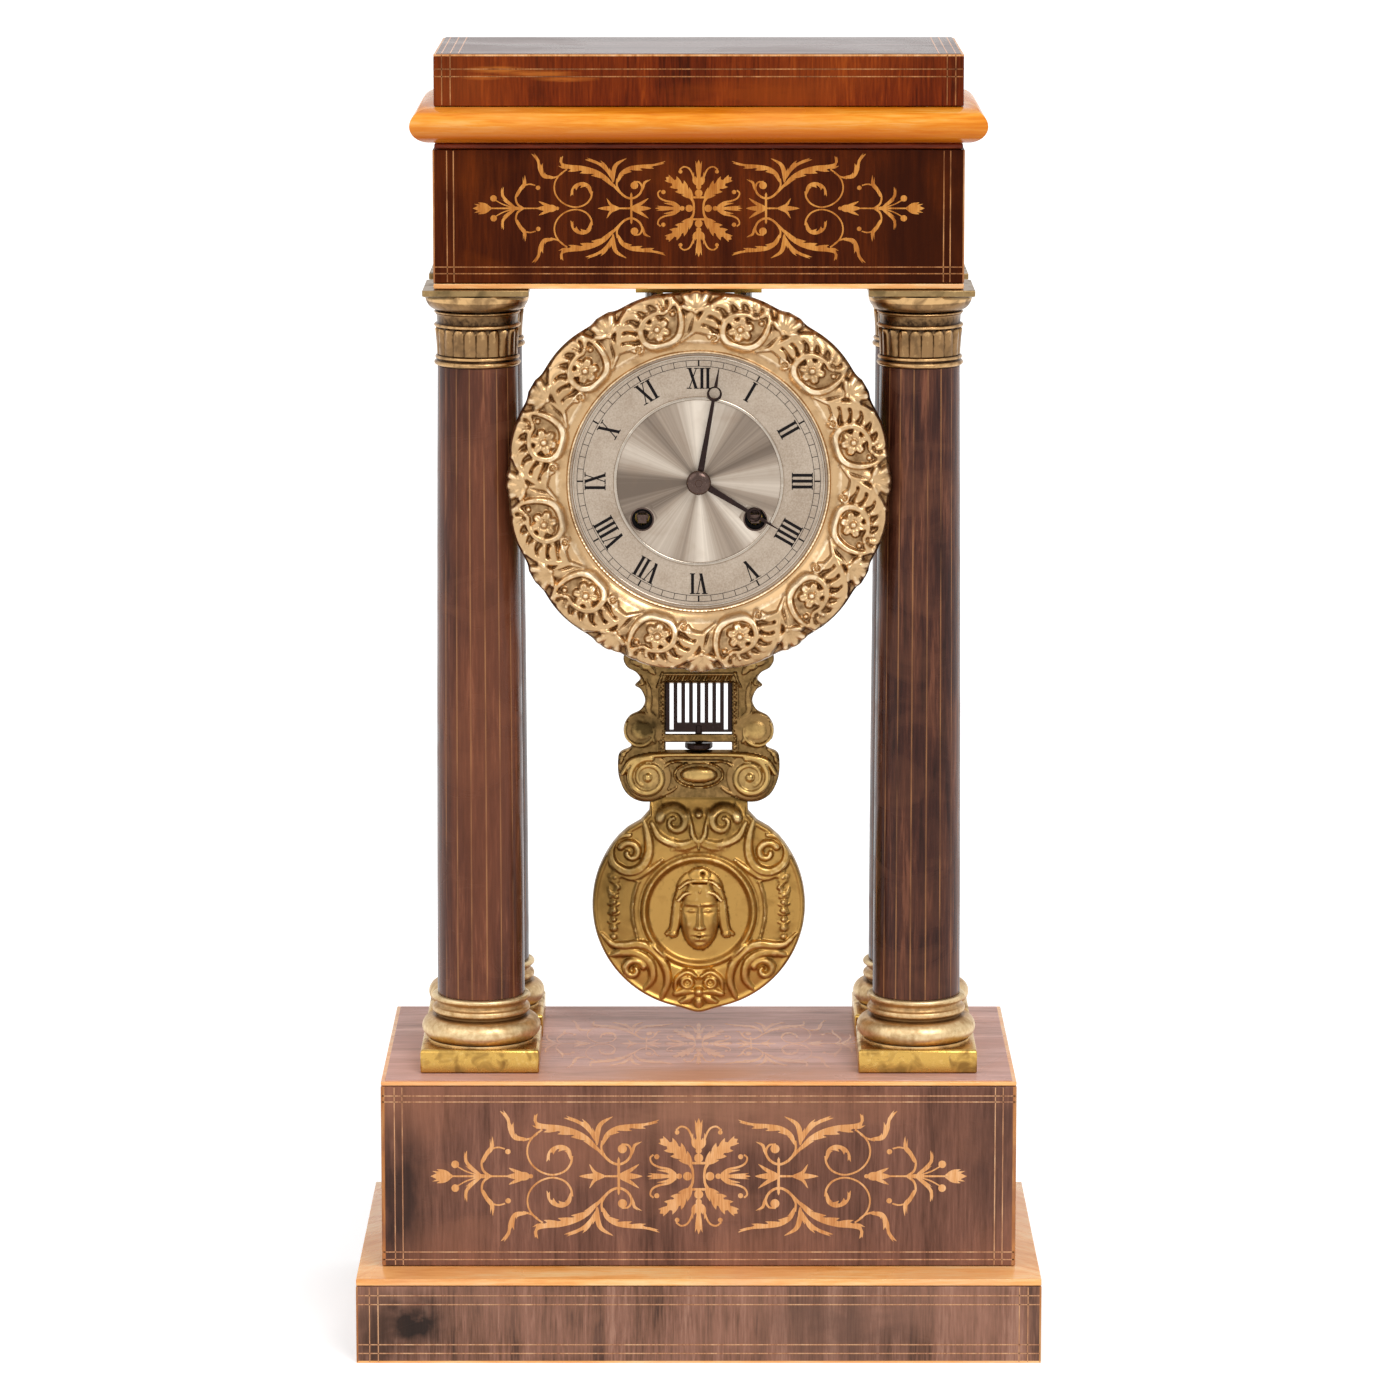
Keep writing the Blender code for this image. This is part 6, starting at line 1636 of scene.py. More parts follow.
    def marks(self) -> None:
        """Numerals, minute track and its two circles."""
        shapes = []
        for k, text in enumerate(self.numerals):
            shapes += self.numeral(text, 30 * k)
        for k in range(60):
            half = 0.3 if k % 5 == 0 else 0.11
            ends = [clock_point(radius, 6 * k) for radius in self.track]
            path = [(self.centre[0] + x, self.centre[1] + z) for x, z in ends]
            shapes.append(ribbon(path, (half, half), 1))
        piece = prisms("dial_numerals", shapes, self.front - 0.06, self.front + 0.2, step=0.002)
        settle(piece, BLACK_WAX_AND_HOLE_SHADE)
        for k, radius in enumerate(self.track):
            loop = [(radius - 0.09, self.front + 0.2), (radius - 0.09, self.front - 0.07)]
            loop += [(radius + 0.09, self.front - 0.07), (radius + 0.09, self.front + 0.2)]
            circle = turned(f"dial_track_circle_{k + 1}", [*loop, loop[0]], self.centre, 180, "Y")
            settle(circle, BLACK_WAX_AND_HOLE_SHADE)


@dataclass
class Hands:
    """Thin dark hands, each with an open moon before its tip, and the collet that holds them."""

    minute: Place = (10.0, 34.3, 44.3)
    hour: Place = (121.0, 24.5, 35.5)
    moon: float = 2.85
    collet: float = 4.7

    def build(self) -> None:
        """Make both hands and the collet."""
        self.centre = axis_of("dial_plate")
        self.hand("minute_hand", self.minute, "minute_hand_and_centre_wheel", 1.3)
        self.hand("hour_hand", self.hour, "hour_hand_and_wheel", 1.45)
        low, high = span("hand_collet")
        front, back = low[1], high[1]
        profile = [(0.0, front), (1.2, front + 0.02), (1.4, front + 0.25), (2.2, front + 0.3), (3.4, front + 0.65)]
        profile += [(4.4, front + 1.2), (self.collet, front + 1.9), (self.collet, back), (0.0, back)]
        piece = turned("hand_collet_turned", profile, self.centre, 64, "Y")
        settle(piece, COLLET_STEEL, "minute_hand_and_centre_wheel", ["hand_collet"])

    def hand(self, node: str, sizes: Place, body: str, wide: float) -> None:
        """Make one hand over its CAD solid.

        Args:
            node: Its CAD node.
            sizes: Its direction, the radius of its moon and its length.
            body: Body that it rides on.
            wide: Half width of its arm at the collet.
        """
        degrees, moon, length = sizes
        low, high = span(node)
        front, back = low[1], high[1]

        def along(radius: float, aside: float = 0.0) -> Point:
            """Point on the hand's line or beside it.

            Args:
                radius: Distance from the dial's centre.
                aside: Distance to the right of the line.

            Returns:
                The point.
            """
            x, z = clock_point(radius, degrees)
            across, up = clock_point(aside, degrees + 90)
            return self.centre[0] + x + across, self.centre[1] + z + up

        arm = ribbon((along(1.0), along(moon - self.moon + 0.3)), (wide, wide * 0.72, wide * 0.5), 6)
        tip = ribbon(
            (along(moon + self.moon - 0.4), along(moon + self.moon + 1.2), along(length)), (0.75, 0.6, 0.15), 4
        )
        boss = disc(self.centre, 3.4, 32)
        piece = rounded_edges(prisms(node + "_arm", (arm, tip, boss), front + 0.1, back - 0.1), 0.12)
        settle(piece, DARK_STEEL, body, [node])
        middle, inner = along(moon), along(moon + 0.35)
        rows = []
        for centre, radius, depth in (
            (inner, self.moon - 0.85, front + 0.2), (middle, self.moon - 0.35, front),
            (middle, self.moon, front + 0.3), (middle, self.moon, back - 0.1),
            (inner, self.moon - 0.85, back - 0.1), (inner, self.moon - 0.85, front + 0.2),
        ):
            ring = [2 * math.pi * k / 48 for k in range(49)]
            rows.append([(centre[0] + radius * math.cos(t), depth, centre[1] + radius * math.sin(t)) for t in ring])
        piece = carve(node + "_moon", np.array(rows), degrees=50)
        settle(piece, DARK_STEEL, body)


@dataclass
class Inlay:
    """Light wood let into the veneer: double lines that cross at the corners and the scrolling marquetry."""

    proud: float = 0.05
    line: float = 0.42
    corner: float = 1.5
    edge_tall: float = 0.9

    def build(self) -> None:
        """Lay the lines and the marquetry on every face."""
        self.lines("plinth_frame", (3.81, 7.27, 23.17, 26.69), (5.1, 8.4), STRINGING)
        self.lines("base_walls", (38.43, 41.41, 100.64, 103.0), (5.1, 8.1), STRINGING)
        self.lines("frieze_walls", (417.09, 419.59), (5.3, 7.8), STRINGING_WARM)
        self.lines("top_block", (491.32, 494.14), (3.1, 6.3), STRINGING_WARM)
        self.corners("base_walls", self.corner)
        self.corners("frieze_walls", 0.7)
        self.corners("plinth_frame", 0.8)
        self.edging()
        low, high = span("base_walls")
        self.marquetry("base_front_marquetry", (0.0, 71.4), (1.0, 1.0), low[1] - self.proud, 0.3)
        low, high = span("frieze_walls")
        self.marquetry(
            "frieze_front_marquetry", (0.0, 441.8), (0.827, 0.8), low[1] - self.proud, 0.3, "Y", BOXWOOD_AMBER
        )
        top = span("base_top_board")[1][2]
        self.marquetry("base_top_marquetry", (0.0, -2.0), (0.67, 1.62), top + self.proud, -0.25, "Z", BOXWOOD_FADED)
        self.top_lines()

    def lines(self, node: str, levels: Sequence[float], insets: Sequence[float], finish: Finish) -> None:
        """Lines that run over the whole of the four upright faces of a box and cross near the corners.

        Args:
            node: CAD node of the box.
            levels: Height of each level line.
            insets: Distance of each upright line from the edges.
            finish: Their wood.
        """
        low, high = span(node)
        half = self.line / 2
        for axis, flat, side in ((0, "Y", -1), (0, "Y", 1), (1, "X", -1), (1, "X", 1)):
            reach, face = high[axis] - 0.4, side * high[1 - axis]
            shapes = [[(-reach, z - half), (reach, z - half), (reach, z + half), (-reach, z + half)] for z in levels]
            for x in [way * (high[axis] - inset) for inset in insets for way in SIDES]:
                bottom, top = low[2] + 0.4, high[2] - 0.4
                shapes.append([(x - half, bottom), (x + half, bottom), (x + half, top), (x - half, top)])
            name = f"{node}_lines_{flat.lower()}{'p' if side > 0 else 'n'}"
            piece = prisms(name, shapes, face + side * self.proud, face - side * 0.2, flat)
            settle(piece, finish)

    def corners(self, node: str, width: float) -> None:
        """Light strips on the four upright edges of a box.

        Args:
            node: CAD node of the box.
            width: Width of a strip.
        """
        low, high = span(node)
        for x in SIDES:
            for y in SIDES:
                ends = ((high[0] + 0.05) * x, (high[0] - width) * x), ((high[1] + 0.05) * y, (high[1] - width) * y)
                corner = ((min(ends[0]), min(ends[1]), low[2] + 0.05), (max(ends[0]), max(ends[1]), high[2] - 0.05))
                name = f"{node}_corner_{'right' if x > 0 else 'left'}_{'back' if y > 0 else 'front'}"
                settle(board(name, *corner, 0.25), LEDGE_UPRIGHT)

    def edging(self) -> None:
        """Thin light edge round the foot of the plinth."""
        low, high = span("plinth_frame")
        x, y, top = high[0] + 0.04, high[1] + 0.04, low[2] + self.edge_tall
        inner = (x - 1.2, y - 1.2)
        loops = ((x, y, low[2]), (x, y, top), (*inner, top), (*inner, low[2]))
        settle(stacked("plinth_frame_edging", loops, 0.15, hollow=True), LEDGE_WOOD)

    def top_lines(self) -> None:
        """Double lines along the ends of the top face."""
        low, high = span("top_block")
        half = self.line / 2
        shapes = []
        for x in [way * (high[0] - inset) for inset in (3.1, 6.3, 9.4) for way in SIDES]:
            front, back = low[1] + 1.2, high[1] - 1.2
            shapes.append([(x - half, front), (x + half, front), (x + half, back), (x - half, back)])
        piece = prisms("top_face_lines", shapes, high[2] + self.proud, high[2] - 0.1, "Z")
        settle(piece, BOXWOOD_FADED)

    def leaf(self, path: Path, half: Point, teeth: tuple[int, int] = (0, 0)) -> list[Point]:
        """Pointed leaf along a path, each edge plain or cut into lobes that lean forwards.

        Args:
            path: Points of its rib from the foot to the tip.
            half: Its greatest half width to the left and to the right of the rib.
            teeth: Number of lobes on the left and on the right edge.

        Returns:
            Its outline.
        """
        line = smooth_path(path, 14)
        run = np.gradient(line, axis=0)
        run /= np.maximum(np.linalg.norm(run, axis=1, keepdims=True), 1e-9)
        places = np.linspace(0, 1, len(line))

        def beside(share: float, wide: float) -> Point:
            """Point beside the rib."""
            x, z, a, b = (float(np.interp(share, places, column)) for column in (*line.T, *run.T))
            return x - b * wide, z + a * wide

        def swell(share: float) -> float:
            """Width of the plain leaf as a share of the greatest."""
            return math.sin(math.pi * min(0.05 + 0.95 * share**0.85, 1.0)) ** 0.75 if share < 0.999 else 0.0

        edges = []
        for side, wide, count in ((1, half[0], teeth[0]), (-1, half[1], teeth[1])):
            if count:
                edge = [beside(0.0, side * max(0.16, 0.3 * wide))]
                for k in range(count):
                    full = wide * swell((k + 0.62) / (count + 0.3))
                    for step, part in ((0.2, 0.62), (0.5, 0.86), (0.85, 1.02), (1.22, 1.1), (1.0, 0.62)):
                        share = min((k + step) / (count + 0.3), 0.97)
                        edge.append(beside(share, side * full * part))
            else:
                edge = [beside(share, side * max(0.1, wide * swell(share))) for share in np.linspace(0, 0.97, 18)]
            edges.append(edge)
        return [*edges[0], tuple(line[-1]), *edges[1][::-1]]

    def quarter(self) -> list[list[Point]]:
        """Shapes of the upper right quarter, clear of both axes.

        Returns:
            Their outlines.
        """
        hub = [
            ribbon(((0, 5.2), (2.6, 5.2), (3.8, 5.6)), (0.5, 0.5, 0.7), 4),
            ribbon(((2.1, 0), (2.5, 3), (3.9, 5.6)), (0.45, 0.5, 0.8), 5),
            self.leaf(((3.1, 5.2), (8.6, 10.4), (15, 14.7)), (3.1, 3.1), (4, 4)),
            self.leaf(((0.9, 10.8), (2.3, 13), (2.2, 17)), (0.45, 0.5)),
            ribbon(((1.5, 11.6), (2.5, 15.2), (4.2, 18.6), (6.7, 19.6), (8.7, 18.2)), (0.45, 0.4, 0.35, 0.35)),
            disc((8.3, 17.3), 0.9, 16),
            self.leaf(((8.4, 0.7), (11.8, 1.9), (16, 2.5)), (0.5, 0.6)),
            ribbon(
                ((8.8, 0.9), (11.3, 2.7), (15.2, 3.6), (17.8, 5), (18.6, 7.2), (17.4, 8.5)),
                (0.45, 0.45, 0.4, 0.35, 0.35),
            ),
            disc((16.1, 7.7), 1, 16),
        ]
        lyre = [
            self.leaf(((30.9, 0.3), (27, 2), (22.8, 4.8)), (0.9, 0.7)),
            self.leaf(((36.6, 0.2), (40, 1.4), (42, 4.8)), (0.8, 0.5)),
            disc((29.3, 10.8), 1.75, 24),
            ribbon(
                (
                    (29.6, 12.6), (27, 12.2), (25.8, 9.8), (26.6, 7.2), (28.7, 5.3), (31.2, 4.7), (33.9, 5.8),
                    (36.4, 8.2), (39.6, 11.6), (43, 15),
                ),
                (0.35, 0.45, 0.5, 0.5, 0.55, 0.7),
            ),
            self.leaf(((26.4, 7.4), (25.5, 10), (24.6, 12.2), (21.8, 13.7)), (0.75, 0.6), (0, 1)),
            ribbon(((36, 8), (37.3, 10.8), (37, 14)), (0.4, 0.4, 0.5)),
            self.leaf(
                ((37.1, 12.6), (35.4, 16.4), (31.4, 19), (26, 19.9), (20.4, 20.5), (15, 22.3)), (1.9, 0.75), (5, 0)
            ),
            self.leaf(((39, 12.2), (38.8, 16.6), (37.4, 20.6), (32.8, 23.6)), (0.9, 1.1)),
            self.leaf(((39.2, 13.4), (41.6, 17.8), (45.4, 21), (51.8, 23)), (1.6, 0.8), (3, 0)),
        ]
        scroll = [
            self.leaf(
                ((38.6, 10.6), (42.6, 14.8), (47.6, 17.6), (53.4, 19.2), (59, 19.8), (62.4, 21.2), (61.8, 24.8)),
                (0.9, 2.5), (0, 6),
            ),
            ribbon(
                (
                    (60, 18.4), (63.3, 15.8), (65.4, 12.4), (65.7, 8.4), (64, 4.6), (60.5, 1.7), (55.9, 0.55),
                    (51.6, 1.9), (49.2, 4.8), (48.6, 8),
                ),
                (0.35, 0.35, 0.35, 0.45),
            ),
            self.leaf(
                ((48.7, 6.6), (49.5, 10.4), (52.5, 12.1), (56, 11.2), (57.9, 8.8), (58.4, 5.6)), (0.3, 2.1), (0, 4)
            ),
            ribbon(((61.8, 16.8), (64.4, 15), (67.6, 14.2)), (0.3, 0.35, 0.5)),
            self.leaf(((66, 14.4), (70.4, 14.9), (72.4, 18.4), (73.2, 22.2), (76.2, 25.8)), (1.7, 0.7), (3, 0)),
        ]
        spray = [
            self.leaf(((66.4, 0.4), (70, 1.7), (73, 3.3)), (0.8, 0.6)),
            ribbon(((80.2, 0.1), (82.7, 2.2), (83.3, 5.6), (81.7, 8.8)), (0.5, 0.45, 0.4, 0.5), 5),
            self.leaf(((82.9, 5.4), (81.6, 8.8), (79.4, 11.4), (79.2, 15.8)), (1, 0.8), (0, 1)),
            ribbon(((80.4, 10.6), (77, 11.4), (74.4, 10.8)), (0.35, 0.3)), disc((73.2, 9.7), 1.05, 16),
            self.leaf(((83.4, 0.2), (87.4, 3.2), (89.4, 6), (89, 10.2)), (0.9, 0.9), (0, 2)),
            ribbon(((84, 0.2), (89, 1.8), (92.6, 3.8)), (0.3, 0.25)), disc((93.5, 4.7), 1.5, 18),
            self.leaf(((95, 0.3), (97.6, 1.8), (100.6, 2.7)), (0.7, 0.7)),
        ]
        return [*hub, *lyre, *scroll, *spray]

    def on_level(self) -> list[list[Point]]:
        """Shapes of the right half that lie on the level axis.

        Returns:
            Their outlines.
        """
        return [
            disc((4.3, 0), 1.7, 20), disc((7.5, 0), 1.1, 16),
            self.leaf(((7.6, 0), (12, 0), (20, 0)), (1.4, 1.4), (2, 2)),
            self.leaf(((31.2, 0), (27, 0), (21.6, 0)), (1.3, 1.3)),
            ribbon(((31, 0), (37, 0)), (0.45, 0.35), 3), self.leaf(((36, 0), (40, 0), (46, 0)), (1.2, 1.2)),
            [(30.2, -6.6), (30.7, -7.6), (31.2, -6.6), (31.2, 6.6), (30.7, 7.6), (30.2, 6.6)],
            disc((64.4, 0), 0.85, 14), self.leaf(((64.8, 0), (68, 0), (74, 0)), (1.7, 1.7)),
            ribbon(((72, 0), (79, 0), (83.2, 0), (88, 0), (96, 0)), (0.3, 0.35, 0.85, 0.4, 0.3)),
            self.leaf(((94.6, 0), (98, 0), (103, 0)), (1.9, 1.9), (1, 1)),
        ]

    def on_upright(self) -> list[list[Point]]:
        """Shapes of the upper half that lie on the upright axis.

        Returns:
            Their outlines.
        """
        return [
            disc((0, 7.2), 1.75, 20), disc((0, 10.1), 1.2, 16),
            self.leaf(((0, 10.6), (0, 15), (0, 23)), (1.75, 1.75), (2, 2)),
        ]

    def marquetry(
        self, name: str, centre: Point, scale: Point, near: float, sink: float, flat: str = "Y",
        finish: Finish = BOXWOOD,
    ) -> None:
        """Lay the whole scrolling pattern on a face, each shape a hair deeper than the one before.

        Args:
            name: Name of the piece.
            centre: Its middle on that face.
            scale: Its size across and up, 1 for the base front.
            near: Place of the near face.
            sink: How far the shapes reach into the wood, with its sign.
            flat: Axis that the face is square to.
            finish: Its wood.
        """
        shapes = []
        for x in SIDES:
            shapes += [[(a * x, b) for a, b in outline] for outline in self.on_level()]
            shapes += [[(a, b * x) for a, b in outline] for outline in self.on_upright()]
            for z in SIDES:
                shapes += [[(a * x, b * z) for a, b in outline] for outline in self.quarter()]
        placed = [[(centre[0] + a * scale[0], centre[1] + b * scale[1]) for a, b in outline] for outline in shapes]
        step = 0.002 * (1 if sink > 0 else -1)
        piece = prisms(name, placed, near, near + sink, flat, step)
        settle(piece, finish)


# Bands of the frame's right half: path, half widths, rise, lobes and crease.
FRAME_BANDS: tuple[Band, ...] = (
    (((15.3, 61.5), (15.3, 88)), (0.35, 0.35), 0.45),
    (((14.2, 92.3), (15, 89.6), (16.4, 86.6)), (0.6, 0.55, 0.4), 1.1),
    (((17, 64.6), (19.4, 68.6), (24.6, 72.6)), (0.6, 1.6, 0.5), 2, 3, 0.4),
    (((16.5, 74.6), (19.6, 77.4), (19.2, 84), (20.4, 89.4)), (0.5, 1.5, 1.3, 0.4), 1.4, 3, 0.4),
    (((17.2, 92), (20.8, 95.6), (26.4, 97)), (0.9, 2.4, 1), 1.7, 3, 0.4),
    (((14, 99), (20, 100.4), (26.4, 100.2)), (1, 1.6, 1), 1.2, 0, 0.3),
    (((23, 90.6), (22, 88.2), (24.6, 87.4)), (0.8, 0.9, 0.3), 1.2),
    (((0, 60.1), (12, 60), (20, 59.4), (26.6, 57.2), (30, 52.4)), (1.05, 1.05, 1.15, 1.3, 1), 2.3),
    (((0, 57.5), (9, 57.2), (13, 55.6), (14.6, 51.8)), (0.55, 0.6, 0.7, 0.4), 1.4),
    (((26.6, 62.6), (29.4, 60.2), (30.6, 56.4)), (0.6, 1.1, 0.6), 1.8, 3, 0.3),
    (((8.6, 47), (11, 45.4), (14, 43.8)), (0.4, 0.8, 0.5), 1),
)
# Bands of the bob's right half, in the same order.
BOB_BANDS: tuple[Band, ...] = (
    (((0.8, 26), (2.4, 28.6), (2.9, 32), (4, 37.6)), (1.2, 1.1, 0.9, 0.6), 1.6),
    (((1.5, 26.2), (8.4, 24.8), (15.2, 27.6), (18.4, 33)), (0.9, 1.5, 1.6, 1), 1.8, 0, 0.2),
    (((1, 24.6), (5.4, 23.2), (11, 22.6)), (0.8, 1, 0.4), 1.1),
    (((21.6, 34.2), (19.8, 28), (19.6, 21.4), (22.4, 15.6), (28, 13.8), (33.4, 17), (34.4, 22.6), (31.4, 27.4),
      (27, 28.4)), (1, 1.6, 1.9, 2, 1.9, 1.6, 1.3, 1), 2.2, 0, 0.22),
    (((31.4, 12.4), (25.6, 11.2), (20.4, 14), (14.2, 18.6)), (0.6, 1.1, 1.2, 0.6), 1.4),
    (((23.2, 9.8), (26.2, 10.6)), (0.45, 0.35), 1),
    (((23.8, 9.6), (25.6, 3), (25.8, -4.8), (24, -13.2)), (0.5, 0.6, 0.6, 0.5), 1.1),
    (((33, 9), (31.6, 7.6), (33.2, 5.6)), (0.6, 1, 0.5), 1.4),
    (((35.2, 7.4), (34.6, 5.2), (33, 3.4)), (0.4, 0.8, 0.4), 1.3),
    (((35, -20), (30.4, -18.8), (24.4, -19), (19.2, -22.8), (18.2, -29), (21.6, -33.8)),
     (0.8, 1.6, 1.9, 1.9, 1.5, 0.8), 1.9, 0, 0.2),
    (((0.8, -28.4), (4.6, -26.4), (8.6, -29.2), (9.4, -33.4)), (0.8, 1.2, 1.1, 0.6), 1.9),
    (((1.6, -34.4), (5.4, -34.2), (9.2, -35.2)), (0.9, 1.7, 1), 2.3, 0, 0.2),
    (((1.2, -35.6), (4.2, -37.4), (6.8, -38.6)), (0.9, 1.7, 1), 2.2, 0, 0.2),
)


@dataclass
class Pendulum:
    """Gilt pendulum: pierced frame with volutes and a chased bob with a mask in its medallion."""

    body: str = "pendulum_bob"
    cell: float = 0.42
    rim_radius: float = 41.8
    crown_radius: float = 44.0
    smoothing: float = 0.8
    neck_half: float = 19.0
    neck_top: float = 52.9
    window_half: float = 12.9
    window: Point = (68.0, 88.0)
    slot: Point = (61.7, 64.7)
    frame_back: float = 7.5
    bob_base: float = 8.7
    edge: tuple[Point, ...] = (
        (12, 103.2), (23, 103.0), (28.2, 100.8), (29.4, 97.6), (27.8, 94.4), (24.4, 92.4), (23, 89.8), (24.9, 87.4),
        (22.6, 85.6), (21, 81.6), (22.6, 77.8), (27, 75.3), (29.3, 71.2), (28.9, 66.6), (26.4, 63.4), (30.4, 61.2),
        (31.6, 58.2), (31.3, 51.2), (28.6, 44.8), (24.2, 41.6), (19, 41.0), (13, 42.8),
    )

    def build(self) -> None:
        """Make the frame and the bob over their CAD solids."""
        low, high = span("pendulum_bob")
        self.middle = low[2] + self.rim_radius
        self.bob()
        self.pierced_frame()

    def outline(self) -> Grid:
        """Outline of the frame from the bob's middle.

        Returns:
            Its points in order.
        """
        right = smooth_path(self.edge, 6)
        left = right[::-1] * (-1, 1)
        return np.concatenate([right, left])

    def inside(self, points: Grid, outline: Grid) -> Grid:
        """Tell which points lie inside an outline.

        Args:
            points: The points.
            outline: The outline.

        Returns:
            True for each point inside.
        """
        x, z = points.T
        odd = np.zeros(len(points), dtype=bool)
        for (ax, az), (bx, bz) in zip(outline, np.roll(outline, -1, axis=0)):
            crosses = (az > z) != (bz > z)
            reach = (bx - ax) * (z - az) / ((bz - az) if bz != az else 1e-9) + ax
            odd ^= crosses & (x < reach)
        return odd

    def pierced_frame(self) -> None:
        """Flat casting with a window, a slot, leaves, a cap moulding and two volutes."""
        outline = self.outline()
        half = self.window_half
        holes = [np.array([(-half, a), (half, a), (half, b), (-half, b)]) for a, b in (self.window, self.slot)]
        rings = [outline]
        for hole in holes:
            sides = zip(hole, np.roll(hole, -1, axis=0))
            rings.append(np.concatenate([a + (b - a) * np.linspace(0, 1, 40)[:-1, None] for a, b in sides]))
        net = np.meshgrid(np.arange(-32, 32, self.cell), np.arange(40, 104, self.cell))
        grid = np.stack(net, axis=-1).reshape(-1, 2)
        grid[:, 0] += np.where((np.round(grid[:, 1] / self.cell) % 2) > 0, self.cell / 2, 0)
        keep = self.inside(grid, outline)
        for hole in holes:
            low, high = hole.min(axis=0) - 0.25, hole.max(axis=0) + 0.25
            keep &= ~np.all((grid > low) & (grid < high), axis=1)
        near = np.min([np.hypot(*(grid - point).T) for point in outline], axis=0)
        keep &= near > 0.3
        points = np.concatenate([*rings, grid[keep]])
        edges, first = [], 0
        for ring in rings:
            count = len(ring)
            edges += [(first + k, first + (k + 1) % count) for k in range(count)]
            first += count
        found = geometry.delaunay_2d_cdt([tuple(p) for p in points], edges, [], 0, 1e-5)
        points = np.array([tuple(p) for p in found[0]])
        faces = np.array(found[2])
        middles = points[faces].mean(axis=1)
        keep = self.inside(middles, outline)
        for hole in holes:
            keep &= ~np.all((middles > hole.min(axis=0)) & (middles < hole.max(axis=0)), axis=1)
        self.raise_plate("pendulum_frame_cast", points, faces[keep])

    def raise_plate(self, name: str, points: Grid, faces: Grid) -> None:
        """Turn a flat net into the frame's casting.

        Args:
            name: Name of the piece.
            points: Its points from the bob's middle.
            faces: Its triangles.
        """
        relief = Relief(points[:, 0], points[:, 1])
        self.frame_ornament(relief)
        used = np.unique(faces)
        order = np.full(len(points), -1)
        order[used] = np.arange(len(used))
        faces, points, height = order[faces], points[used], relief.height[used]
        count = len(points)
        pairs: dict[tuple[int, int], int] = {}
        for a, b, c in faces:
            for pair in ((a, b), (b, c), (c, a)):
                pairs[pair] = pairs.get(pair, 0) + 1
        border = [pair for pair in pairs if (pair[1], pair[0]) not in pairs]
        edge = np.zeros(count, dtype=bool)
        edge[np.array(border).ravel()] = True
        front = np.where(edge, 0.5, 1.1 + height)
        places = [(x, self.frame_back - tall, self.middle + z) for (x, z), tall in zip(points, front)]
        places += [(x, self.frame_back, self.middle + z) for x, z in points]
        shapes = [tuple(face) for face in faces] + [tuple(face[::-1] + count) for face in faces]
        shapes += [(b, a, a + count, b + count) for a, b in border]
        piece = from_faces(name, places, [tuple(int(k) for k in shape) for shape in shapes])
        # Painted highlight and shade: the raised forms of the frame get a lighter colour, its flat ground a darker one.
        shade = np.clip(0.3 + 0.32 * height, 0, 1)
        mark(piece, {"relief": np.concatenate([shade, np.full(count, 0.4)])})
        close_up(piece, 55)
        settle(piece, FRAME_GILT, self.body, ["pendulum_frame"])

    def frame_ornament(self, relief: Relief) -> None:
        """Lay the frame's forms.

        Args:
            relief: Height field that takes them.
        """
        for side in SIDES:
            relief.bands(FRAME_BANDS, side)
            for k in range(18):
                relief.dome((side * 14, 62.6 + 1.5 * k), 0.62, 0.75)
            relief.dome((side * 22.4, 69.8), (8.3, 7.2), 1.3)
            relief.stroke(curl((side * 22.8, 69.4), 6.2, 5.2, 90 - 60 * side, -220 * side, 28), (0.9, 1.1, 0.7), 1.9)
            relief.dome((side * 22.4, 69.6), (5.2, 4.6), 2)
            relief.dome((side * 20, 51), (9.4, 9.5), 1.6)
            relief.stroke(curl((side * 20, 51), 7.7, 3.6, 90 + 10 * side, -520 * side, 60), (1.7, 1.6, 1.4, 1.1), 2.5)
            relief.dome((side * 20, 51), 2.3, 2.9)
        relief.stroke(((-13.4, 91.9), (13.4, 91.9)), (0.5, 0.5), 1)
        relief.stroke(((-13.4, 88.7), (13.4, 88.7)), (0.4, 0.4), 0.8)
        for k in range(22):
            x = -12.6 + 1.2 * k
            relief.stroke(((x - 0.4, 89.5), (x + 0.4, 91.1)), (0.34, 0.34), 0.75)
        relief.dome((0, 51.9), (7.3, 3.3), 2.4)
        ring = [(9.4 * math.cos(t), 51.9 + 5 * math.sin(t)) for t in np.linspace(0, 2 * math.pi, 33)]
        relief.stroke(ring, (0.55, 0.55), 1.5)

    def reach(self, turn: Grid) -> Grid:
        """Distance of the bob's edge from its middle.

        Args:
            turn: Direction, from the right towards up.

        Returns:
            The distance there.
        """
        corner = ((34.0, 24.4), (31.4, 27.6), (27.6, 31.0), (22.8, 33.8), (19.4, 37.6), (self.neck_half, 45.0),
                  (self.neck_half, self.neck_top), (0.0, self.neck_top))
        line = np.concatenate([a + (np.array(b) - a) * np.linspace(0, 1, 12)[:, None] for a, b in
                               zip(np.array(corner), corner[1:])])
        bearing = np.arctan2(line[:, 1], line[:, 0])
        order = np.argsort(bearing)
        distance = np.hypot(line[:, 0], line[:, 1])
        tilt = np.arctan2(np.sin(turn), np.abs(np.cos(turn)))
        found = np.interp(tilt, bearing[order], distance[order])
        low = self.rim_radius + 1.4 * np.exp(-(((tilt + np.pi / 2) / 0.12) ** 2))
        return np.where(tilt < bearing.min(), low, found)

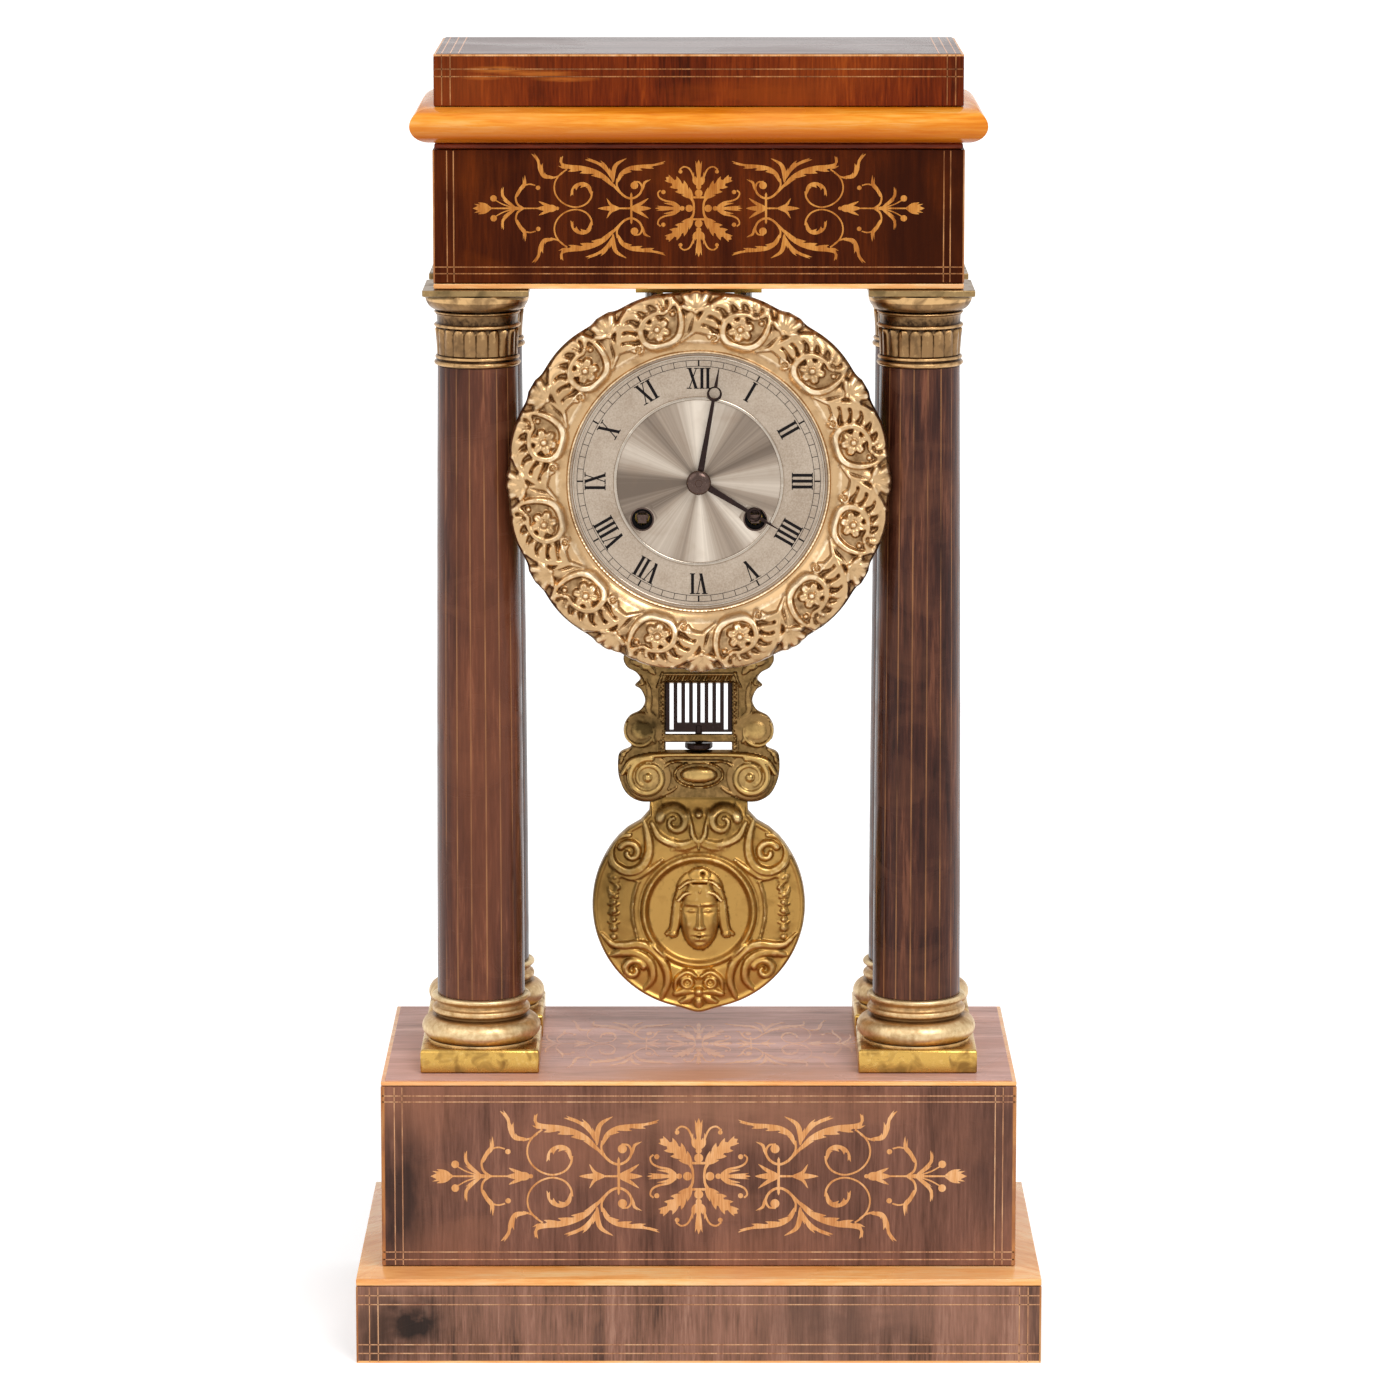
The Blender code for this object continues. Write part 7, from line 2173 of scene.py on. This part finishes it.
    def bob(self) -> None:
        """Chased disc with its neck, closed by a plain dished back."""
        columns, rows = 640, 118
        turn = np.linspace(0, 2 * np.pi, columns + 1)
        edge = self.reach(turn)
        share = np.concatenate([np.linspace(0, 0.93, rows - 14), np.linspace(0.93, 1, 15)[1:]])
        radius = share[:, None] * edge[None]
        across, up = radius * np.cos(turn), radius * np.sin(turn)
        relief = Relief(across, up)
        self.bob_ornament(relief)
        relief.height -= self.smoothing * relief_of(relief.height, 1, 1)
        face = self.mask(across, up)
        distance = np.hypot(across, up)
        crown = np.sqrt(np.clip(1 - (np.minimum(distance, self.rim_radius) / self.crown_radius) ** 2, 0, 1))
        medallion = Medallion().height(across, up)
        neck = np.clip((up - 36.0) / 6.0, 0, 1)
        ground = (2.2 + 4.0 * crown) * (1 - neck) + 1.0 * neck
        lip = 0.9 * np.exp(-(((edge[None] - radius - 1.2) / 0.9) ** 2)) * (1 - neck)
        height = ground + np.maximum(relief.height, lip) * (1 - 0.4 * neck) + medallion + face
        near_edge = np.clip((edge[None] - radius) / 0.8, 0, 1)
        height = height * (0.45 + 0.55 * np.sqrt(np.clip(1 - (1 - near_edge) ** 2, 0, 1)))
        # Painted shade and highlight: hollows of the chasing get darker, raised forms lighter.
        level = relief_of(height, 5, 3)
        painted_shades = 0.48 + np.where(level < 0, 0.3, 0.36) * level
        painted_shades = np.clip(painted_shades + 0.06 * np.minimum(relief.height + 0.4 * face, 1.5), 0, 1)
        base = self.bob_base
        front = np.stack((across, base - height, self.middle + up), axis=-1)
        back_share = (1.0, 0.97, 0.94, 0.9, 0.86, 0.8, 0.65, 0.5, 0.25, 0.0)
        back_depth = (0.6, 1.5, 2.1, 2.7, 3.1, 3.4, 4.2, 4.6, 4.9, 5.0)
        back = []
        for part, depth in zip(back_share, back_depth):
            thin = 1 - 0.75 * np.clip((part * edge * np.sin(turn) - 34.0) / 8.0, 0, 1)
            back.append(np.stack((part * across[-1], base + depth * thin, self.middle + part * up[-1]), axis=-1))
        places = np.concatenate([front, np.stack(back)])
        painted_shades = np.concatenate([painted_shades, np.full((len(back_share), columns + 1), 0.45)])
        piece = carve("pendulum_bob_chased", places, {"relief": painted_shades}, 60)
        settle(piece, PENDULUM_GILT, self.body, ["pendulum_bob"])

    def bob_ornament(self, relief: Relief) -> None:
        """Lay the scrolls, garlands and the flower.

        Args:
            relief: Height field that takes them.
        """
        for side in SIDES:
            relief.bands(BOB_BANDS, side)
            relief.stroke(
                curl((side * 9.4, 33.6), 6, 1.3, 90 - 78 * side, 430 * side, 36), (1.9, 1.8, 1.5, 1, 0.7), 2.2,
                crease=0.2,
            )
            relief.stroke(curl((side * 26.8, 21.4), 4.4, 1.2, 90 - 60 * side, 330 * side, 28), (1.5, 1.4, 0.9), 2)
            relief.rosette((side * 33, 11.4), 2.6, 5, 1.5, 90)
            relief.rosette((side * 33.2, 4.6), 2.2, 4, 1.5, 45)
            for w, r in ((1.6, 1.3), (-1.8, 1.5), (-5.4, 1.2), (-8.8, 1.55), (-12.2, 1.3)):
                relief.dome((side * 33.3, w), r, 1.6)
            for w in (0, -3.6, -7.2):
                relief.stroke(mirrored(((31.2, w + 0.9), (33.2, w), (35.4, w + 0.8)), side), (0.3, 0.6, 0.3), 1.1)
            outer = ((38.4, -11.2), (34, -15.2), (29, -15.8), (23.6, -15.2), (18, -17.4), (13.6, -23), (12.2, -30),
                     (14.6, -37))
            relief.stroke(mirrored(outer, side), (0.8, 1.4, 1.8, 1.9, 1.9, 1.8, 1.5, 0.9), 2.1, crease=0.2)
            relief.stroke(curl((side * 25.8, -25.6), 4.3, 1.1, 90 + 70 * side, -380 * side, 30), (1.5, 1.5, 0.9), 2.2)
            cup = [(side * 4.6 + 2 * math.cos(t), -30.6 + 1.9 * math.sin(t)) for t in np.linspace(0, 2 * math.pi, 17)]
            relief.stroke(cup, (0.95, 0.95), 2.2)
            relief.dome((side * 4.6, -30.6), 0.9, 1.4)
        relief.dome((0, 36.6), 1.6, 2)
        relief.dome((0, -34.4), 2, 3.2)
        relief.dome((0, -38.7), (1.8, 2.7), 2.4)
        relief.stroke(((0, 26.4), (0, 22.6)), (1, 0.4), 1.3)

    def mask(self, across: Grid, up: Grid) -> Grid:
        """Calm closed-eyed mask under a banded headdress with side locks.

        Args:
            across: Points across.
            up: Points up.

        Returns:
            Its height over the medallion's floor.
        """
        x, z = across - 0.4, up
        head = Relief(x, z)
        jaw = 7.8 * np.sqrt(np.clip(1 - np.clip((-3 - z) / 14.8, 0, 1) ** 2.3, 0, 1))
        jaw = np.where(z > -3, 7.8 * np.sqrt(np.clip(1 - ((z + 3) / 17) ** 2, 0, 1)), jaw)
        ratio = np.abs(x) / np.maximum(jaw, 0.05)
        inside = (ratio < 1) & (z > -17.8) & (z < 9.5)
        oval = np.where(inside, np.clip(1 - ratio**2.4, 0, 1) ** 0.5, 0)
        fall = np.clip((z + 17.8) / 4, 0, 1) ** 0.5
        face = 4 * oval * fall

        def swell(centre: Point, radii: Point, rise: float) -> Grid:
            """Soft round swelling or, with a negative rise, hollow."""
            return rise * np.exp(-(((x - centre[0]) / radii[0]) ** 2 + ((z - centre[1]) / radii[1]) ** 2))

        shape = np.zeros_like(face)
        for side in SIDES:
            shape += swell((side * 3.2, -1), (2.2, 1.5), -1.5)
            shape += swell((side * 3.2, -1.2), (1.6, 0.95), 1.5)
            shape += swell((side * 3.2, -2.1), (1.7, 0.24), -0.5)
            shape += swell((side * 3.1, 1.2), (2.4, 0.6), 0.55)
            shape += swell((side * 1.3, -7.9), (0.85, 0.75), 0.8)
            shape += swell((side * 4.3, -6.2), (2, 2.6), 0.5)
        bridge = np.clip((0.6 - z) / 8.6, 0, 1)
        nose = np.exp(-((x / (0.75 + 0.55 * bridge)) ** 2)) * (0.5 + 1.6 * bridge)
        shape += np.where((z < 1.4) & (z > -9), nose * np.clip((z + 9) / 0.7, 0, 1), 0)
        shape += swell((0, -10.8), (2, 0.6), 0.95) + swell((0, -12.5), (1.7, 0.7), 1)
        shape += swell((0, -11.6), (2.3, 0.24), -0.8) + swell((0, -13.8), (1.9, 0.5), -0.5)
        shape += swell((0, -15.6), (2, 1.5), 0.9)
        face = np.where(inside, np.maximum(face + shape * np.minimum(oval * 2, 1), 0.3), 0)
        head.dome((0, 6.4), (9.4, 8.6), 2.6)
        head.dome((0, 11), (5.6, 4.6), 2.7)
        head.stroke(
            ((-8.4, 2.6), (-5.4, 5.4), (0, 5.9), (5.4, 5.4), (8.4, 2.6)), (0.7, 0.8, 0.85, 0.8, 0.7), 1.3, base=2.6
        )
        head.stroke(((-8, 7.4), (-4.6, 9.9), (0, 10.4), (4.6, 9.9), (8, 7.4)), (0.5, 0.7, 0.8, 0.7, 0.5), 1, base=2.4)
        head.dome((0, 6.4), (1.1, 1.5), 2, 2.4)
        for side in SIDES:
            lock = mirrored(((7.2, 7.6), (8.7, 2), (9.2, -4), (10.2, -9.4), (12.8, -11.2)), side)
            head.stroke(lock, (1.5, 1.9, 2.2, 2.1, 1), 2.5, crease=0.15)
            head.dome((side * 10.4, -11), (2.2, 1.9), 2.9)
        height = np.maximum(head.height, face)
        hole = 2 * np.exp(-(((x - 1.2) ** 2 + (z - 13) ** 2) / 0.6))
        return np.maximum(height - hole, 0)


@dataclass
class Medallion:
    """Sunk round field of the bob with its raised rim."""

    outer: float = 22.6
    rim: float = 1.9
    centre: float = -2.2
    depth: float = 1.5

    def height(self, across: Grid, up: Grid) -> Grid:
        """How far it stands above or below the bob.

        Args:
            across: Points across.
            up: Points up.

        Returns:
            Height over the bob's crown.
        """
        away = np.hypot(across, up - self.centre)
        ring = 0.9 * np.exp(-(((away - self.outer + 0.6 * self.rim) / (self.rim * 0.5)) ** 2))
        floor = -self.depth * (1 - 1 / (1 + np.exp(-(away - self.outer + 1.4 * self.rim) * 2.6)))
        moat = -0.7 * np.exp(-(((away - self.outer - 0.6) / 0.7) ** 2))
        return ring + floor * (away < self.outer) + moat


@dataclass
class Movement:
    """Works behind the dial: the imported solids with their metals, and the turned bell and drum."""

    steel: tuple[str, ...] = (
        "cannon_pinion", "anchor_crutch", "suspension_spring",
        "hammer", "hanger_screw_left", "hanger_screw_right",
    )
    squares: tuple[str, ...] = ("going_winding_arbor", "strike_winding_arbor")
    bell_hole: float = 2.0
    bell_curve: float = 0.7
    bell_wall: float = 1.2
    drum_wall: float = 1.6
    ring_wall: float = 6.0
    dark: tuple[str, ...] = (
        "pendulum_rod", "rating_nut", "hour_hand", "minute_hand", "hand_collet",
        *[f"tie_rod_{d}_{s}" for d in ("front", "back") for s in ("left", "right")],
    )

    def build(self) -> None:
        """Give every node that is kept its real metal."""
        for name, node in frame["nodes"].items():
            if name in self.steel:
                STEEL.apply(node)
            elif name in self.dark:
                DARK_STEEL.apply(node)
            elif name in self.squares:
                COLLET_STEEL.apply(node)
            elif name in ("bell", "bell_stand"):
                BELL_METAL.apply(node)
            else:
                MOVEMENT_BRASS.apply(node)
        self.bell()
        self.tube("drum", self.drum_wall)
        self.tube("back_ring", self.ring_wall)

    def tube(self, node: str, wall: float) -> None:
        """Turned brass tube with softened edges.

        Args:
            node: CAD node that gives its size.
            wall: Thickness of its wall.
        """
        low, high = span(node)
        outer, front, back = (high[0] - low[0]) / 2, low[1], high[1]
        inner, soft = outer - wall, 0.25
        profile = [
            (inner, front), (outer - soft, front), (outer, front + soft), (outer, back - soft), (outer - soft, back),
            (inner, back), (inner, front),
        ]
        piece = turned(f"{node}_turned", profile, axis_of(node), 180, "Y", degrees=30)
        settle(piece, MOVEMENT_BRASS, nodes=[node])

    def bell(self) -> None:
        """Round bell, turned smooth with two fine rings and bored for its stand."""
        low, high = span("bell")
        front, depth, radius = low[1], high[1] - low[1], (high[0] - low[0]) / 2
        last = math.acos((self.bell_hole / radius) ** (1 / self.bell_curve))
        profile: list[Point] = []
        for wall, turns in ((0.0, np.linspace(0, last, 32)), (self.bell_wall, np.linspace(last, 0, 32))):
            for turn in turns:
                reach = (radius - wall) * math.cos(turn) ** self.bell_curve
                ring = 0.25 if 0.1 < turn < 0.16 or 0.7 < turn < 0.78 else 0.0
                profile.append((max(reach - ring, self.bell_hole), front + (depth - wall) * math.sin(turn)))
        profile.append(profile[0])
        piece = turned("bell_turned", profile, axis_of("bell"), 128, "Y", degrees=60)
        settle(piece, BELL_METAL, nodes=["bell"])


@dataclass
class Studio:
    """White background, soft even light and the camera at the photograph's angle."""

    lens: float = 162.83
    place: Place = (0.0005, -2.4312, 0.66665)
    tilt: float = 80.1716
    ambient: float = 0.62
    floor_half: float = 40.0

    def build(self) -> None:
        """Set up the view, the camera, the world, the floor and the lamps."""
        bpy.context.scene.view_settings.view_transform = "Standard"
        self.camera()
        self.world()
        self.floor()
        self.lamps()

    def camera(self) -> None:
        """Level-headed camera in front of the clock, looking down on it a little."""
        data = bpy.data.cameras.new("camera")
        data.lens = self.lens
        data.sensor_width = 36.0
        data.clip_end = 200.0
        eye = bpy.data.objects.new("camera", data)
        eye.location = self.place
        eye.rotation_euler = (math.radians(self.tilt), 0.0, 0.0)
        bpy.context.collection.objects.link(eye)
        bpy.context.scene.camera = eye

    def backdrop_rays(self, tree: Tree) -> Socket:
        """Mark the rays that see the background: the camera's and those in metal and glass.

        Args:
            tree: Tree that takes the nodes.

        Returns:
            1 for such a ray and 0 for the rest.
        """
        path = add_node(tree, "LightPath").outputs
        first = {0: path["Is Camera Ray"], 1: path["Is Glossy Ray"]}
        share = add_node(tree, "Math", first, operation="MAXIMUM").outputs[0]
        last = {0: share, 1: path["Is Transmission Ray"]}
        return add_node(tree, "Math", last, operation="MAXIMUM").outputs[0]

    def world(self) -> None:
        """White to the camera and in reflections, dimmer as a light."""
        world = bpy.data.worlds.new("white_studio")
        world.use_nodes = True
        bpy.context.scene.world = world
        tree = world.node_tree
        sky = tree.nodes["Background"]
        sky.inputs["Color"].default_value = (1.0, 1.0, 1.0, 1.0)
        level = {"Value": self.backdrop_rays(tree), "To Min": self.ambient, "To Max": 1.0}
        level = add_node(tree, "MapRange", level).outputs["Result"]
        tree.links.new(level, sky.inputs["Strength"])

    def floor(self) -> None:
        """Pale floor that renders white where no shadow falls."""
        bpy.ops.object.select_all(action="DESELECT")
        bpy.ops.mesh.primitive_grid_add(x_subdivisions=8, y_subdivisions=8, size=2 * self.floor_half)
        floor = bpy.context.object
        floor.name = floor.data.name = "floor"
        paint = bpy.data.materials.new("pale_paper_sweep")
        paint.use_nodes = True
        tree = paint.node_tree
        shader = tree.nodes["Principled BSDF"]
        tone = pattern(tree, (40.0, 40.0, 40.0))
        tree.links.new(ramp(tree, tone, ((0.0, "#F2F2F2"), (1.0, "#F6F6F6"))), shader.inputs["Base Color"])
        shader.inputs["Roughness"].default_value = 0.9
        shader.inputs["Specular IOR Level"].default_value = 0.1
        glow = add_node(tree, "Emission", {"Color": (1.0, 1.0, 1.0, 1.0)})
        lift = {0: self.backdrop_rays(tree), 1: 0.42}
        tree.links.new(add_node(tree, "Math", lift, operation="MULTIPLY").outputs[0], glow.inputs["Strength"])
        both = add_node(tree, "AddShader", {0: shader.outputs[0], 1: glow.outputs[0]})
        tree.links.new(both.outputs[0], tree.nodes["Material Output"].inputs["Surface"])
        floor.data.materials.append(paint)

    def lamps(self) -> None:
        """Two broad soft lamps as suns, so that the floor is lit evenly."""
        for name, strength, spread, turn in (
            ("key_lamp", 1.25, 28.0, (50.0, 0.0, 28.0)), ("fill_lamp", 0.55, 50.0, (58.0, 0.0, -48.0))
        ):
            data = bpy.data.lights.new(name, "SUN")
            data.energy = strength
            data.angle = math.radians(spread)
            lamp = bpy.data.objects.new(name, data)
            lamp.rotation_euler = [math.radians(t) for t in turn]
            bpy.context.collection.objects.link(lamp)


def main() -> None:
    """Build the sub-assemblies in order and log each new piece."""
    logging.basicConfig(level=logging.INFO, format="%(message)s")
    for part in PARTS:
        known = set(bpy.data.objects)
        part.build()
        for piece in bpy.data.objects:
            if piece not in known:
                log.info("%s: %s", type(part).__name__, piece.name)


PARTS = (Movement(), Case(), Inlay(), Columns(), Bezel(), Dial(), Hands(), Pendulum(), Studio())

if __name__ == "__main__":
    main()
